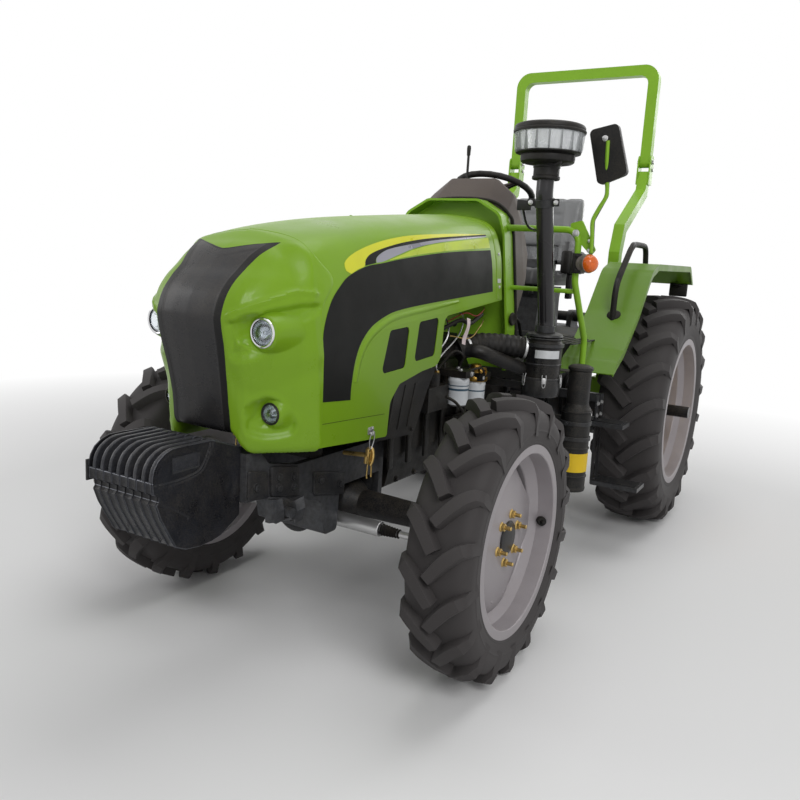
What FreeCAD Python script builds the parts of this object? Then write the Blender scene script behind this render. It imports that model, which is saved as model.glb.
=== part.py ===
import FreeCAD, Part
import math
import os

from FreeCAD import Placement, Rotation, Vector

# A four-wheel-drive ride-on farm tractor, in millimetres.
# The pieces are drawn in the axle frame: X = 0 is the middle, Y = 0 the front axle, Z = 0 the ground,
# -Y is ahead and +X is the tractor's left. Every finished piece is then moved by one placement, so that
# the origin is at the centre of the ground under the whole machine.

# ---------------------------------------------------------------- driving dimensions

DIMENSIONS = {
    # axles, wheels and tyres
    "wheelbase": 2152,
    "front_tyre_radius": 487,
    "front_tyre_width": 228,
    "front_track_half": 684,
    "front_flange_radius": "=front_tyre_radius - 157",
    "front_bead_radius": "=front_flange_radius - 25",
    "front_rim_width": 204,
    "rear_tyre_radius": 640,
    "rear_tyre_width": 344,
    "rear_track_half": 701,
    "rear_flange_radius": "=rear_tyre_radius - 231",
    "rear_bead_radius": "=rear_flange_radius - 28",
    "rear_rim_width": 314,
    "rim_wall": 6,
    "disc_wall": 8,
    "front_hub_face": "=front_track_half - 16",
    "rear_hub_face": "=rear_track_half - 61",
    "axle_bar_radius": 32,
    "axle_bar_end": "=rear_track_half + 204",
    # front axle and steering
    "kingpin_offset": "=front_hub_face - 168",
    "knuckle_radius": 60,
    "knuckle_height": 170,
    "fork_wall": 22,
    "fork_back_half": 30,
    "spindle_radius": 32,
    "running_fit": 0.06,
    "beam_radius": 52,
    "trunnion_radius": 35,
    "steering_arm": 130,
    "rack_height": 456,
    "steering_rod_radius": 12,
    "steering_barrel_radius": 27,
    "steering_barrel_half": 310,
    # front frame and weights
    "frame_half_width": 150,
    "frame_top": 720,
    "frame_wall": 26,
    "bumper_front": -660,
    "bumper_top": 800,
    "weight_front": -995,
    "weight_thickness": 29,
    "weight_fin": 15,
    "weight_pitch": 32.5,
    "weight_count": 8,
    # engine and driveline
    "engine_front": 120,
    "engine_rear": 800,
    "engine_half_width": 165,
    "transmission_rear": "=wheelbase - 352",
    "transmission_half_width": 150,
    "transmission_top": 850,
    "axle_housing_rear": "=wheelbase + 248",
    "axle_housing_half_width": 200,
    "trumpet_radius": 95,
    "trumpet_end": 455,
    "trumpet_bore_depth": 156,
    "lift_cover_top": 1056,
    # bonnet
    "bonnet_half_width": 292,
    "bonnet_lean": 0.015,
    "bonnet_wall": 3,
    "bonnet_seam": -497,
    "panel_half_width": 130,
    "panel_foot_half": 118,
    "panel_tip_half": 166,
    "panel_bottom": 872,
    "panel_rear": -603,
    "chin_margin": 18,
    "nose_bottom": 803,
    "upper_lamp_out": 210,
    "upper_lamp_height": 1168,
    "lower_lamp_out": 201,
    "lower_lamp_height": 925,
    "seam_gap": 0.3,
    "upper_lamp_radius": 43,
    "lower_lamp_radius": 33,
    "hinge_y": 808,
    "hinge_z": 1572,
    "hinge_pin_radius": 6,
    # driver's station
    "floor_top": 930,
    "floor_wall": 4,
    "floor_front": 900,
    "riser": "=wheelbase - 672",
    "deck_top": "=floor_top + 130",
    "inner_wall": 456,
    "fender_outer": "=rear_track_half + 19",
    "fender_wall": 4,
    "cowl_front": 850,
    "cowl_depth": 95,
    "cowl_wall": 10,
    "rail_offset": 585,
    "rail_y": 905,
    "rail_radius": 14,
    "wheel_rim_radius": 200,
    "wheel_rim_wire": 14,
    "wheel_tilt": 20,
    "wheel_centre_y": 1300,
    "wheel_centre_z": 1755,
    "column_radius": 20,
    "column_half": 90,
    "stalk_radius": 6,
    "shaft_radius": 9,
    "seat_front": "=riser + 20",
    "seat_half_width": 235,
    "seat_top": "=deck_top + 340",
    "cushion_thick": 105,
    "soft_gap": 0.3,
    # roll-over frame
    "rops_offset": 417,
    "rops_tube": 60,
    "rops_hinge_y": "=wheelbase + 396",
    "rops_hinge_z": 2051,
    "rops_top": 2610,
    "rops_plate": 8,
    "pin_gap": 0.5,
    # air cleaner, precleaner and exhaust
    "cleaner_x": 500,
    "cleaner_y": 830,
    "cleaner_radius": 80,
    "stack_radius": 35,
    "bowl_radius": 138,
    "muffler_x": 620,
    "muffler_y": 1000,
    "muffler_radius": 66,
    # rear hitch
    "rockshaft_y": "=axle_housing_rear - 100",
    "rockshaft_z": 1110,
    "rockshaft_radius": 30,
    "link_pivot_y": "=axle_housing_rear - 110",
    "link_pivot_z": 440,
    "link_end": "=wheelbase + 848",
    "link_offset": 330,
    "link_pin_radius": 14,
    "lift_arm_offset": 246,
    "lift_pin_radius": 11,
    "link_bore_radius": 11.2,
    "top_link_bore_radius": 9.8,
    "drawbar_hole_radius": 15.5,
    "tow_hole_radius": 14,
    "pto_radius": 17.5,
    "pto_height": 640,
}


class Dim(float):
    """A number that remembers the sheet expression it comes from."""

    def __new__(cls, value, text):
        made = super().__new__(cls, value)
        made.text = text
        return made

    def __add__(self, other):
        return Dim(float(self) + float(other), f"({self.text} + {text_of(other)})")

    def __radd__(self, other):
        return Dim(float(other) + float(self), f"({text_of(other)} + {self.text})")

    def __sub__(self, other):
        return Dim(float(self) - float(other), f"({self.text} - {text_of(other)})")

    def __rsub__(self, other):
        return Dim(float(other) - float(self), f"({text_of(other)} - {self.text})")

    def __mul__(self, other):
        return Dim(float(self) * float(other), f"({self.text} * {text_of(other)})")

    def __rmul__(self, other):
        return Dim(float(other) * float(self), f"({text_of(other)} * {self.text})")

    def __truediv__(self, other):
        return Dim(float(self) / float(other), f"({self.text} / {text_of(other)})")

    def __neg__(self):
        return Dim(-float(self), f"(0 - {self.text})")


def text_of(value):
    return value.text if isinstance(value, Dim) else f"({float(value):g})"


class Sheet:
    """The driving dimensions, read back as Dims by name; a text value is a formula over other names."""

    def __init__(self, document, values):
        self.table = document.addObject("Spreadsheet::Sheet", "Sheet")
        for row, (alias, value) in enumerate(values.items(), start=1):
            self.table.set(f"A{row}", alias)
            self.table.set(f"B{row}", str(value))
            self.table.setAlias(f"B{row}", alias)
        document.recompute()
        for alias in values:
            setattr(self, alias, Dim(float(self.table.get(alias)), f"Sheet.{alias}"))


doc = FreeCAD.newDocument("tractor")
D = Sheet(doc, DIMENSIONS)
NODES = {}
PLACES = {}
SIDES = {"left": 1, "right": -1}
TO_ORIGIN = -(D.weight_front + D.link_end) / 2

# ---------------------------------------------------------------- drawing helpers

AXIS_TURN = {
    "x": Rotation(Vector(0, 1, 0), 90),
    "y": Rotation(Vector(1, 0, 0), -90),
    "z": Rotation(),
}
PLANES = {"x": "YZ_Plane", "y": "XZ_Plane", "z": "XY_Plane"}


def bind(obj, name, value):
    """Set a property, through the sheet where its value comes from the sheet."""
    if isinstance(value, Dim):
        obj.setExpression(name, value.text)
    elif not name.startswith(".") and "." not in name:
        setattr(obj, name, value)


def place(obj, at, turn=None):
    """Put an object at a point whose coordinates may come from the sheet."""
    obj.Placement = Placement(Vector(*(float(c) for c in at)), turn or Rotation())
    for axis, value in zip("xyz", at):
        bind(obj, f".Placement.Base.{axis}", value)
    PLACES[obj.Name] = at
    return obj


def aft(distance):
    """A place along Y behind the rear axle, or ahead of it where the distance is negative."""
    return D.wheelbase + distance


def box(low, high):
    """A Part::Box between two opposite corners."""
    obj = doc.addObject("Part::Box", "Box")
    for name, a, b in zip(("Length", "Width", "Height"), low, high):
        bind(obj, name, b - a)
    return place(obj, low)


def cylinder(axis, radius, start, length):
    """A Part::Cylinder along +x, +y or +z from a start point."""
    obj = doc.addObject("Part::Cylinder", "Cylinder")
    bind(obj, "Radius", radius)
    bind(obj, "Height", length)
    return place(obj, start, AXIS_TURN[axis])


def cone(axis, radius_1, radius_2, start, length):
    """A Part::Cone along +x, +y or +z from a start point."""
    obj = doc.addObject("Part::Cone", "Cone")
    bind(obj, "Radius1", radius_1)
    bind(obj, "Radius2", radius_2)
    bind(obj, "Height", length)
    return place(obj, start, AXIS_TURN[axis])


def rounded_edges(points, closed=True):
    """Lines through 2-D points; a third number at a point rounds its corner by that radius."""
    count = len(points)
    corners = []
    for i, point in enumerate(points):
        here = Vector(point[0], point[1], 0)
        radius = point[2] if len(point) > 2 else 0
        inner = closed or 0 < i < count - 1
        if not radius or not inner:
            corners.append((here, None, here))
            continue
        back = (Vector(*points[i - 1][:2], 0) - here).normalize()
        ahead = (Vector(*points[(i + 1) % count][:2], 0) - here).normalize()
        half = back.getAngle(ahead) / 2
        reach = radius / math.tan(half)
        middle = (back + ahead).normalize()
        arc_mid = here + middle * (radius / math.sin(half) - radius)
        corners.append((here + back * reach, arc_mid, here + ahead * reach))
    edges = []
    last = count if closed else count - 1
    for i, (first, arc_mid, second) in enumerate(corners):
        if arc_mid is not None:
            edges.append(Part.Arc(first, arc_mid, second))
        if i < last:
            following = corners[(i + 1) % count][0]
            if (following - second).Length > 1e-6:
                edges.append(Part.LineSegment(second, following))
    return edges


def new_body(name="Body"):
    return doc.addObject("PartDesign::Body", name)


def sketch_on(body, axis, points, offset=0):
    """A closed outline on the body's plane across the axis, moved along that axis by an offset."""
    sketch = body.newObject("Sketcher::SketchObject", "Sketch")
    plane = next(p for p in body.Origin.OriginFeatures if p.Role == PLANES[axis])
    sketch.AttachmentSupport = [(plane, "")]
    sketch.MapMode = "FlatFace"
    shift = -offset if axis == "y" else offset
    sketch.AttachmentOffset = Placement(Vector(0, 0, float(shift)), Rotation())
    bind(sketch, ".AttachmentOffset.Base.z", shift)
    sketch.addGeometry(rounded_edges(points), False)
    return sketch


def prism(axis, points, start, stop, body=None):
    """A padded outline between two places along x, y or z (start below stop)."""
    made = body or new_body()
    sketch = sketch_on(made, axis, points, stop if axis == "y" else start)
    pad = made.newObject("PartDesign::Pad", "Pad")
    pad.Profile = sketch
    pad.Length = float(stop - start)
    bind(pad, "Length", stop - start)
    return made


def turned(axis, points, at=(0, 0, 0)):
    """A revolved body: points are (place along the axis, radius) and the axis is x, y or z."""
    body = new_body()
    sketch = sketch_on(body, "z", points)
    spin = body.newObject("PartDesign::Revolution", "Revolution")
    spin.Profile = sketch
    spin.ReferenceAxis = (sketch, ["H_Axis"])
    spin.Angle = 360
    turn = {"x": Rotation(), "y": Rotation(Vector(0, 0, 1), 90), "z": Rotation(Vector(0, 1, 0), -90)}
    return place(body, at, turn[axis])


def rod(points, radius, bend=0, wall=0):
    """A round bar or tube along straight runs joined by tangent arcs of one bend radius."""
    route = [Vector(*(float(c) for c in p)) for p in points]
    edges = []
    before = route[0]
    for i in range(1, len(route) - 1):
        back = (route[i - 1] - route[i]).normalize()
        ahead = (route[i + 1] - route[i]).normalize()
        half = back.getAngle(ahead) / 2
        reach = bend / math.tan(half)
        enter = route[i] + back * reach
        leave = route[i] + ahead * reach
        middle = route[i] + (back + ahead).normalize() * (bend / math.sin(half) - bend)
        edges.append(Part.LineSegment(before, enter).toShape())
        edges.append(Part.Arc(enter, middle, leave).toShape())
        before = leave
    edges.append(Part.LineSegment(before, route[-1]).toShape())
    spine = Part.Wire(edges)
    heading = route[1] - route[0]

    def swept(size):
        ring = Part.Wire(Part.makeCircle(size, route[0], heading))
        return spine.makePipeShell([ring], True, True)

    solid = swept(float(radius))
    if wall:
        solid = solid.cut(swept(float(radius) - wall))
    obj = doc.addObject("Part::Feature", "Rod")
    obj.Shape = solid
    return obj


def fuse(*parts):
    obj = doc.addObject("Part::MultiFuse", "Fusion")
    obj.Shapes = list(parts)
    obj.Refine = True
    return obj


def cut(base, *tools):
    obj = doc.addObject("Part::Cut", "Cut")
    obj.Base = base
    obj.Tool = tools[0] if len(tools) == 1 else fuse(*tools)
    return obj


def common(*parts):
    obj = doc.addObject("Part::MultiCommon", "Common")
    obj.Shapes = list(parts)
    return obj


def compound(*parts):
    """Solids of one sub-part that don't touch."""
    obj = doc.addObject("Part::Compound", "Group")
    obj.Links = list(parts)
    return obj


def mirrored(source):
    """The same piece on the tractor's other side."""
    obj = doc.addObject("Part::Mirroring", "Mirror")
    obj.Source = source
    obj.Base = Vector(0, 0, 0)
    obj.Normal = Vector(1, 0, 0)
    return obj


def both_sides(source):
    return compound(source, mirrored(source))


def node(name, obj, in_place=False):
    """Name a finished sub-part and move it from the axle frame to the machine's own origin."""
    obj.Label = name
    if not in_place:
        at = PLACES.get(obj.Name, (0, 0, 0))
        place(obj, (at[0], at[1] + TO_ORIGIN, at[2]), obj.Placement.Rotation)
    NODES[name] = obj
    return obj


# ---------------------------------------------------------------- wheels

def tyre_outline(radius, bead, width, flange, flange_gap):
    """Half of a lugged tyre's section: beads, sidewalls, shoulders and crown."""
    half = width / 2
    rim = half - flange_gap
    crown = radius - 0.02 * radius
    shoulder = radius - 0.10 * radius
    return [
        (-rim + 14, bead + 2),
        (-rim, bead + 2),
        (-rim, flange + 1),
        (-half, (bead + shoulder) / 2 + 10, 40),
        (-half * 0.97, shoulder, 30),
        (-half * 0.80, crown, 20),
        (-half * 0.25, radius, 60),
        (half * 0.25, radius, 60),
        (half * 0.80, crown, 20),
        (half * 0.97, shoulder, 30),
        (half, (bead + shoulder) / 2 + 10, 40),
        (rim, flange + 1),
        (rim, bead + 2),
        (rim - 14, bead + 2),
        (half * 0.86, (bead + shoulder) / 2 + 10, 30),
        (half * 0.74, shoulder - 16, 20),
        (-half * 0.74, shoulder - 16, 20),
        (-half * 0.86, (bead + shoulder) / 2 + 10, 30),
    ]


def rim_section(bead, flange, width, wall):
    """The closed section of a rim, as thick as its rolled plate."""
    half = width / 2
    well = bead - 34
    return [
        (-half, flange),
        (-half + wall, flange),
        (-half + wall, bead, 2),
        (-half + 42, bead - 2),
        (-half + 66, well, 8),
        (half - 90, well, 8),
        (half - 60, bead - 2),
        (half - wall, bead, 2),
        (half - wall, flange),
        (half, flange),
        (half, bead - wall, 4),
        (half - 60, bead - 2 - wall),
        (half - 90, well - wall, 8),
        (-half + 66, well - wall, 8),
        (-half + 42, bead - 2 - wall),
        (-half, bead - wall, 4),
    ]


def flipped(points, side):
    """The outline on the other side of the tractor, in the same turning direction."""
    return [(side * p[0], *p[1:]) for p in points]


# the angle of the front disc's first corner, from +Y towards +Z
DISC_CORNER = 62


def spoke_point(turn, reach, across, *curve):
    """A corner of the front disc's outline, out along one spoke and across it."""
    return (reach * math.cos(turn) - across * math.sin(turn),
            D.front_tyre_radius + reach * math.sin(turn) + across * math.cos(turn), *curve)


def front_wheel(side, name):
    """Tyre, and rim welded to its dished disc, round the hub flange of the knuckle."""
    centre = (D.front_track_half * side, 0, D.front_tyre_radius)
    flange_gap = (D.front_tyre_width - D.front_rim_width) / 2 + D.rim_wall
    tyre = tyre_outline(D.front_tyre_radius, D.front_bead_radius, D.front_tyre_width,
                        D.front_flange_radius, flange_gap)
    node(f"tyre_front_{name}", turned("x", tyre, centre))
    section = rim_section(D.front_bead_radius, D.front_flange_radius, D.front_rim_width, D.rim_wall)
    rim = turned("x", flipped(section, side), centre)
    well = D.front_bead_radius - 34 - D.rim_wall
    wall = D.disc_wall
    face = D.front_hub_face
    disc = [
        (face, 45),
        (face + wall, 45),
        (face + wall, 132, 10),
        (face - 22 + wall, 175, 10),
        (face - 22 + wall, well + 2),
        (face - 22, well + 2),
        (face - 22, 172, 10),
        (face, 128, 10),
    ]
    dish = turned("x", flipped(disc, side), (0, 0, D.front_tyre_radius))
    plate = []
    lugs = []
    for corner in range(4):
        turn = math.radians(DISC_CORNER + 90 * corner)
        plate += [spoke_point(turn, well - 8, -70, 12), spoke_point(turn, well - 8, 70, 12),
                  spoke_point(turn, 156, 156, 160)]
        lug = [spoke_point(turn, *place) for place in
               ((well - 52, -58, 4), (well, -58), (well, 58), (well - 52, 58, 4))]
        lugs.append(prism("x", lug, *sorted((side * (face - 30), side * (face - 22)))))
    dish = common(dish, prism("x", plate, *sorted((side * (face - 60), side * (face + 40)))))
    cap = turned("x", flipped([(face, 0), (face + 34, 0), (face + 34, 38, 8), (face + wall, 52),
                               (face + wall, 45), (face, 45)], side),
                 (0, 0, D.front_tyre_radius))
    spindle = D.spindle_radius + D.running_fit
    sleeve = turned("x", flipped([(face - 40, spindle), (face, spindle), (face, 118), (face - 12, 118, 3),
                                  (face - 12, 84, 4), (face - 40, 78, 4)], side),
                    (0, 0, D.front_tyre_radius))
    node(f"wheel_front_{name}", fuse(rim, dish, *lugs, cap, sleeve))


def rear_wheel(side, name):
    """Tyre, rim, dished centre and the axle bar with its clamped hub."""
    centre = (D.rear_track_half * side, D.wheelbase, D.rear_tyre_radius)
    flange_gap = (D.rear_tyre_width - D.rear_rim_width) / 2 + D.rim_wall
    tyre = tyre_outline(D.rear_tyre_radius, D.rear_bead_radius, D.rear_tyre_width,
                        D.rear_flange_radius, flange_gap)
    node(f"tyre_rear_{name}", turned("x", tyre, centre))
    well = D.rear_bead_radius - 34 - D.rim_wall
    on_axle = (0, D.wheelbase, D.rear_tyre_radius)
    section = rim_section(D.rear_bead_radius, D.rear_flange_radius, D.rear_rim_width, D.rim_wall)
    rim = turned("x", flipped(section, side), centre)
    lug_face = D.rear_hub_face + 60
    lug_ring = turned("x", flipped([(lug_face, well - 40), (lug_face + 10, well - 40),
                                    (lug_face + 10, well + 2), (lug_face, well + 2)], side), on_axle)
    node(f"rim_rear_{name}", fuse(rim, lug_ring))
    wall = D.disc_wall
    disc = [
        (D.rear_hub_face, 62),
        (D.rear_hub_face + wall, 62),
        (D.rear_hub_face + wall, 150, 12),
        (lug_face, 240, 12),
        (lug_face, well - 4),
        (lug_face - wall, well - 4),
        (lug_face - wall, 243, 12),
        (D.rear_hub_face, 153, 12),
    ]
    node(f"wheel_centre_rear_{name}", turned("x", flipped(disc, side), on_axle))
    bar = D.axle_bar_radius
    start = D.trumpet_end - 150
    hub = [
        (start, 0),
        (D.axle_bar_end, 0),
        (D.axle_bar_end, bar),
        (D.rear_hub_face + 70, bar),
        (D.rear_hub_face + 70, 60, 6),
        (D.rear_hub_face, 60),
        (D.rear_hub_face, 140, 4),
        (D.rear_hub_face - 22, 140, 4),
        (D.rear_hub_face - 22, 75, 10),
        (D.rear_hub_face - 70, 68, 6),
        (D.rear_hub_face - 70, bar),
        (start, bar),
    ]
    node(f"axle_shaft_{name}", turned("x", flipped(hub, side), on_axle))


# ---------------------------------------------------------------- front axle and steering

def front_axle():
    """The cast beam with its differential bulge, trunnions and a fork at each end."""
    height = D.front_tyre_radius
    web = D.kingpin_offset - D.knuckle_radius - 12
    beam = turned("x", [(-web, 0), (-web, 58, 6), (-web + 24, 58, 6), (-web + 60, D.beam_radius - 6),
                        (-150, D.beam_radius), (-100, 86, 30), (100, 86, 30), (150, D.beam_radius),
                        (web - 60, D.beam_radius - 6), (web - 24, 58, 6), (web, 58, 6), (web, 0)],
                  (0, 0, height))
    trunnion = cylinder("y", D.trunnion_radius, (0, -225, height), 343)
    reach = D.knuckle_height / 2 + D.pin_gap
    forks = []
    for sign in (1, -1):
        for up in (1, -1):
            low = height + reach if up > 0 else height - reach - D.fork_wall
            arm = prism("z", [(web - 20, -50), (D.kingpin_offset, -50), (D.kingpin_offset + 50, 0, 45),
                              (D.kingpin_offset, 50), (web - 20, 50)], low, low + D.fork_wall)
            forks.append(arm if sign > 0 else mirrored(arm))
        back = box((web - 20, -D.fork_back_half, height - reach - D.fork_wall),
                   (web, D.fork_back_half, height + reach + D.fork_wall))
        forks.append(back if sign > 0 else mirrored(back))
    bracket = box((-40, -150, height - 62), (40, -60, height - 16))
    node("front_axle_beam", cut(fuse(beam, trunnion, bracket, *forks),
                                cylinder("x", D.steering_barrel_radius + D.seam_gap / 2,
                                         (-60, -D.steering_arm, D.rack_height), 120)))


def steering():
    """A two-ended steering cylinder across the beam, and the knuckles it swings."""
    bore = D.steering_rod_radius + D.running_fit
    half = D.steering_barrel_half
    barrel = turned("x", [(-half, bore), (-half, D.steering_barrel_radius, 4),
                          (half, D.steering_barrel_radius, 4), (half, bore)],
                    (0, -D.steering_arm, D.rack_height))
    node("steering_cylinder", barrel)
    eye = D.kingpin_offset - 20
    bar = cylinder("x", D.steering_rod_radius, (-eye, -D.steering_arm, D.rack_height), 2 * eye)
    eyes = [cylinder("z", 22, (sign * eye, -D.steering_arm, D.rack_height - 16), 32) for sign in (1, -1)]
    node("steering_rod", fuse(bar, *eyes))
    for name, side in SIDES.items():
        knuckle(side, name)


def knuckle(side, name):
    """A swivel barrel between the fork's arms, with the hub and the steering arm."""
    height = D.front_tyre_radius
    half = D.knuckle_height / 2
    radius = D.knuckle_radius
    barrel = turned("z", [(-half, 0), (-half, radius - 14, 4), (-half + 30, radius, 8),
                          (half - 30, radius, 8), (half, radius - 14, 4), (half, 0)],
                    (D.kingpin_offset, 0, height))
    face = D.front_hub_face
    hub = turned("x", [(D.kingpin_offset, 0), (D.kingpin_offset, 52), (D.kingpin_offset + 90, 60, 8),
                       (face - 64, 88, 6), (face - 45, 88, 4), (face - 45, D.spindle_radius),
                       (face - 2, D.spindle_radius), (face - 2, 0)],
                 (0, 0, height))
    low = D.rack_height - 22 - 26
    arm = prism("z", [(D.kingpin_offset - 26, 0), (D.kingpin_offset + 26, 0),
                      (D.kingpin_offset + 4, -D.steering_arm - 24, 18),
                      (D.kingpin_offset - 44, -D.steering_arm - 24, 18)], low, low + 24)
    piece = fuse(barrel, hub, arm)
    node(f"knuckle_{name}", piece if side > 0 else mirrored(piece))


# ---------------------------------------------------------------- front frame and weights

def front_frame():
    """The cast bolster: two side plates, a front bar for the weights and the axle's saddles."""
    body = prism("x", side_outline(), -D.frame_half_width, D.frame_half_width)
    inner = D.frame_half_width - D.frame_wall
    top_slot = box((-inner, -520, 500), (inner, -270, 900))
    rear_slot = box((-inner, -110, 500), (inner, D.engine_front - 24, 900))
    under = box((-inner, -600, 500), (inner, -540, 760))
    bore = cylinder("y", D.trunnion_radius + D.seam_gap, (0, -300, D.front_tyre_radius), 600)
    tow = cylinder("z", D.tow_hole_radius, (0, D.bumper_front + 42, 600), 300)
    notch = box((-50, D.bumper_front - 1, 690), (50, D.bumper_front + 62, 740))
    node("front_frame", cut(body, top_slot, rear_slot, under, bore, notch, tow))


def side_outline():
    """Side view of the front frame, from the weight bar back to the engine."""
    front = D.bumper_front
    top = D.frame_top
    return [
        (front, 650), (front, D.bumper_top), (front + 60, D.bumper_top), (-556, 752, 20),
        (-409, top, 20), (D.engine_front, top), (D.engine_front, 436, 10), (92, 436, 10), (92, 592),
        (-166, 592, 10), (-176, 432, 16), (-250, 432, 16), (-278, 560, 30), (-409, 606, 20), (-556, 644),
    ]


def front_weights():
    """Eight hung weights: a cast block each, with a thin fin over its nose and a hook at the back."""
    rear = D.bumper_front
    top = D.bumper_top
    body_outline = [
        (D.weight_front, 790, 4), (-985, 765, 6), (-966, 679, 10), (-915, 580, 20), (-823, 557, 60),
        (-739, 567, 30), (rear, 612, 10), (rear, top), (rear + 24, top), (rear + 24, 826, 4), (-679, 826, 6),
        (-776, 861, 6), (-828, 777, 20),
    ]
    fin_outline = [
        (D.weight_front, 780), (D.weight_front, 806, 6), (-977, 839, 12), (-931, 863, 20), (-770, 863),
        (-760, 740), (-940, 740),
    ]
    half = D.weight_thickness / 2
    solids = []
    for i in range(int(D.weight_count)):
        middle = (i - (D.weight_count - 1) / 2) * D.weight_pitch
        body = prism("x", body_outline, middle - half, middle + half)
        fin = prism("x", fin_outline, middle + half - D.weight_fin, middle + half)
        solids.append(fuse(body, fin))
    node("front_weights", compound(*solids))


# ---------------------------------------------------------------- engine and driveline

def engine():
    """Block, head, rocker cover, sump, timing case and pulley, as one heavy mass."""
    front = D.engine_front
    rear = D.engine_rear
    half = D.engine_half_width
    block = prism("y", [(-half, 640), (half, 640), (half, 940), (half - 20, 980), (-half + 20, 980),
                        (-half, 940)], front, rear)
    sump = prism("y", [(-half + 30, 500, 30), (half - 30, 500, 30), (half, 640), (-half, 640)],
                 front + 40, rear - 30)
    head = box((-half + 30, front + 60, 980), (half - 25, rear - 90, 1090))
    cover = prism("y", [(-85, 1090), (85, 1090), (85, 1150, 18), (-85, 1150, 18)], front + 90, rear - 120)
    filler = cylinder("z", 26, (0, front + 170, 1150), 34)
    timing = prism("y", [(-130, D.frame_top + 4, 30), (130, D.frame_top + 4, 30), (130, 1000, 40),
                         (-130, 1000, 40)], front - 26, front)
    pump = cylinder("y", 75, (0, front - 90, 980), 90)
    pulley = cylinder("y", 80, (0, front - 70, 780), 44)
    bell = prism("y", [(-half - 15, 560, 60), (half + 15, 560, 60), (half + 15, 930, 90),
                       (-half - 15, 930, 90)], rear - 60, rear)
    mass = fuse(block, sump, head, cover, filler, timing, pump, pulley, bell)
    node("engine_block", mass)


def engine_ancillaries():
    """Injection pump with its pipes, the two spin-on filters and the manifold on the left side."""
    half = D.engine_half_width
    pump = box((half, 300, 800), (half + 70, 470, 900))
    pump_head = cylinder("z", 30, (half + 38, 385, 900), 50)
    filter_head = box((half, 480, 930), (half + 140, 560, 958))
    first = cylinder("z", 42, (half + 90, 520, 810), 120)
    second_head = box((half, 640, 900), (half + 140, 730, 934))
    second = cylinder("z", 42, (half + 90, 685, 780), 120)
    starter = cylinder("y", 45, (half + 47, 560, 700), 180)
    manifold = box((half - 25, 240, 1010), (half + 40, 640, 1060))
    left = fuse(pump, pump_head, filter_head, first, second_head, second)
    alternator = cylinder("y", 62, (-half - 64, 180, 900), 130)
    alternator_foot = box((-half - 20, 200, 860), (-half, 290, 900))
    right = fuse(alternator, alternator_foot)
    node("engine_ancillaries", compound(left, starter_on(half, starter), right, manifold))


def starter_on(half, starter):
    """The starter motor with the foot that bolts it to the block."""
    return fuse(starter, box((half, 590, 680), (half + 20, 690, 720)))


def radiator():
    """Core, tanks and the shroud round the fan, on a frame over the bolster."""
    core = box((-225, -330, 790), (225, -262, 1290))
    top_tank = prism("y", [(-200, 1290), (200, 1290), (200, 1350, 20), (-200, 1350, 20)], -335, -257)
    foot = box((-140, -330, D.frame_top), (140, -262, 790))
    neck = cylinder("z", 24, (60, -296, 1350), 22)
    ring = cut(cylinder("y", 215, (0, -262, 1000), 60), cylinder("y", 207, (0, -263, 1000), 70))
    node("radiator", fuse(core, top_tank, foot, neck, ring))


def transmission():
    """Clutch case and gearbox, narrower between their flanges, with side covers."""
    half = D.transmission_half_width
    front = D.engine_rear
    rear = D.transmission_rear
    top = D.transmission_top
    case = prism("y", [(-half, 450, 40), (half, 450, 40), (half, top, 30), (-half, top, 30)], front, rear)
    flange = prism("y", [(-half - 30, 470, 60), (half + 30, 470, 60), (half + 30, top + 50, 60),
                         (-half - 30, top + 50, 60)], front, front + 26)
    seam = prism("y", [(-half - 14, 440, 40), (half + 14, 440, 40), (half + 14, top, 30),
                       (-half - 14, top, 30)], front + 460, front + 500)
    covers = [cylinder("x", 85, (-half - 14, front + 720, 640), 2 * half + 28)]
    node("transmission_housing", fuse(case, flange, seam, *covers))


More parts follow.
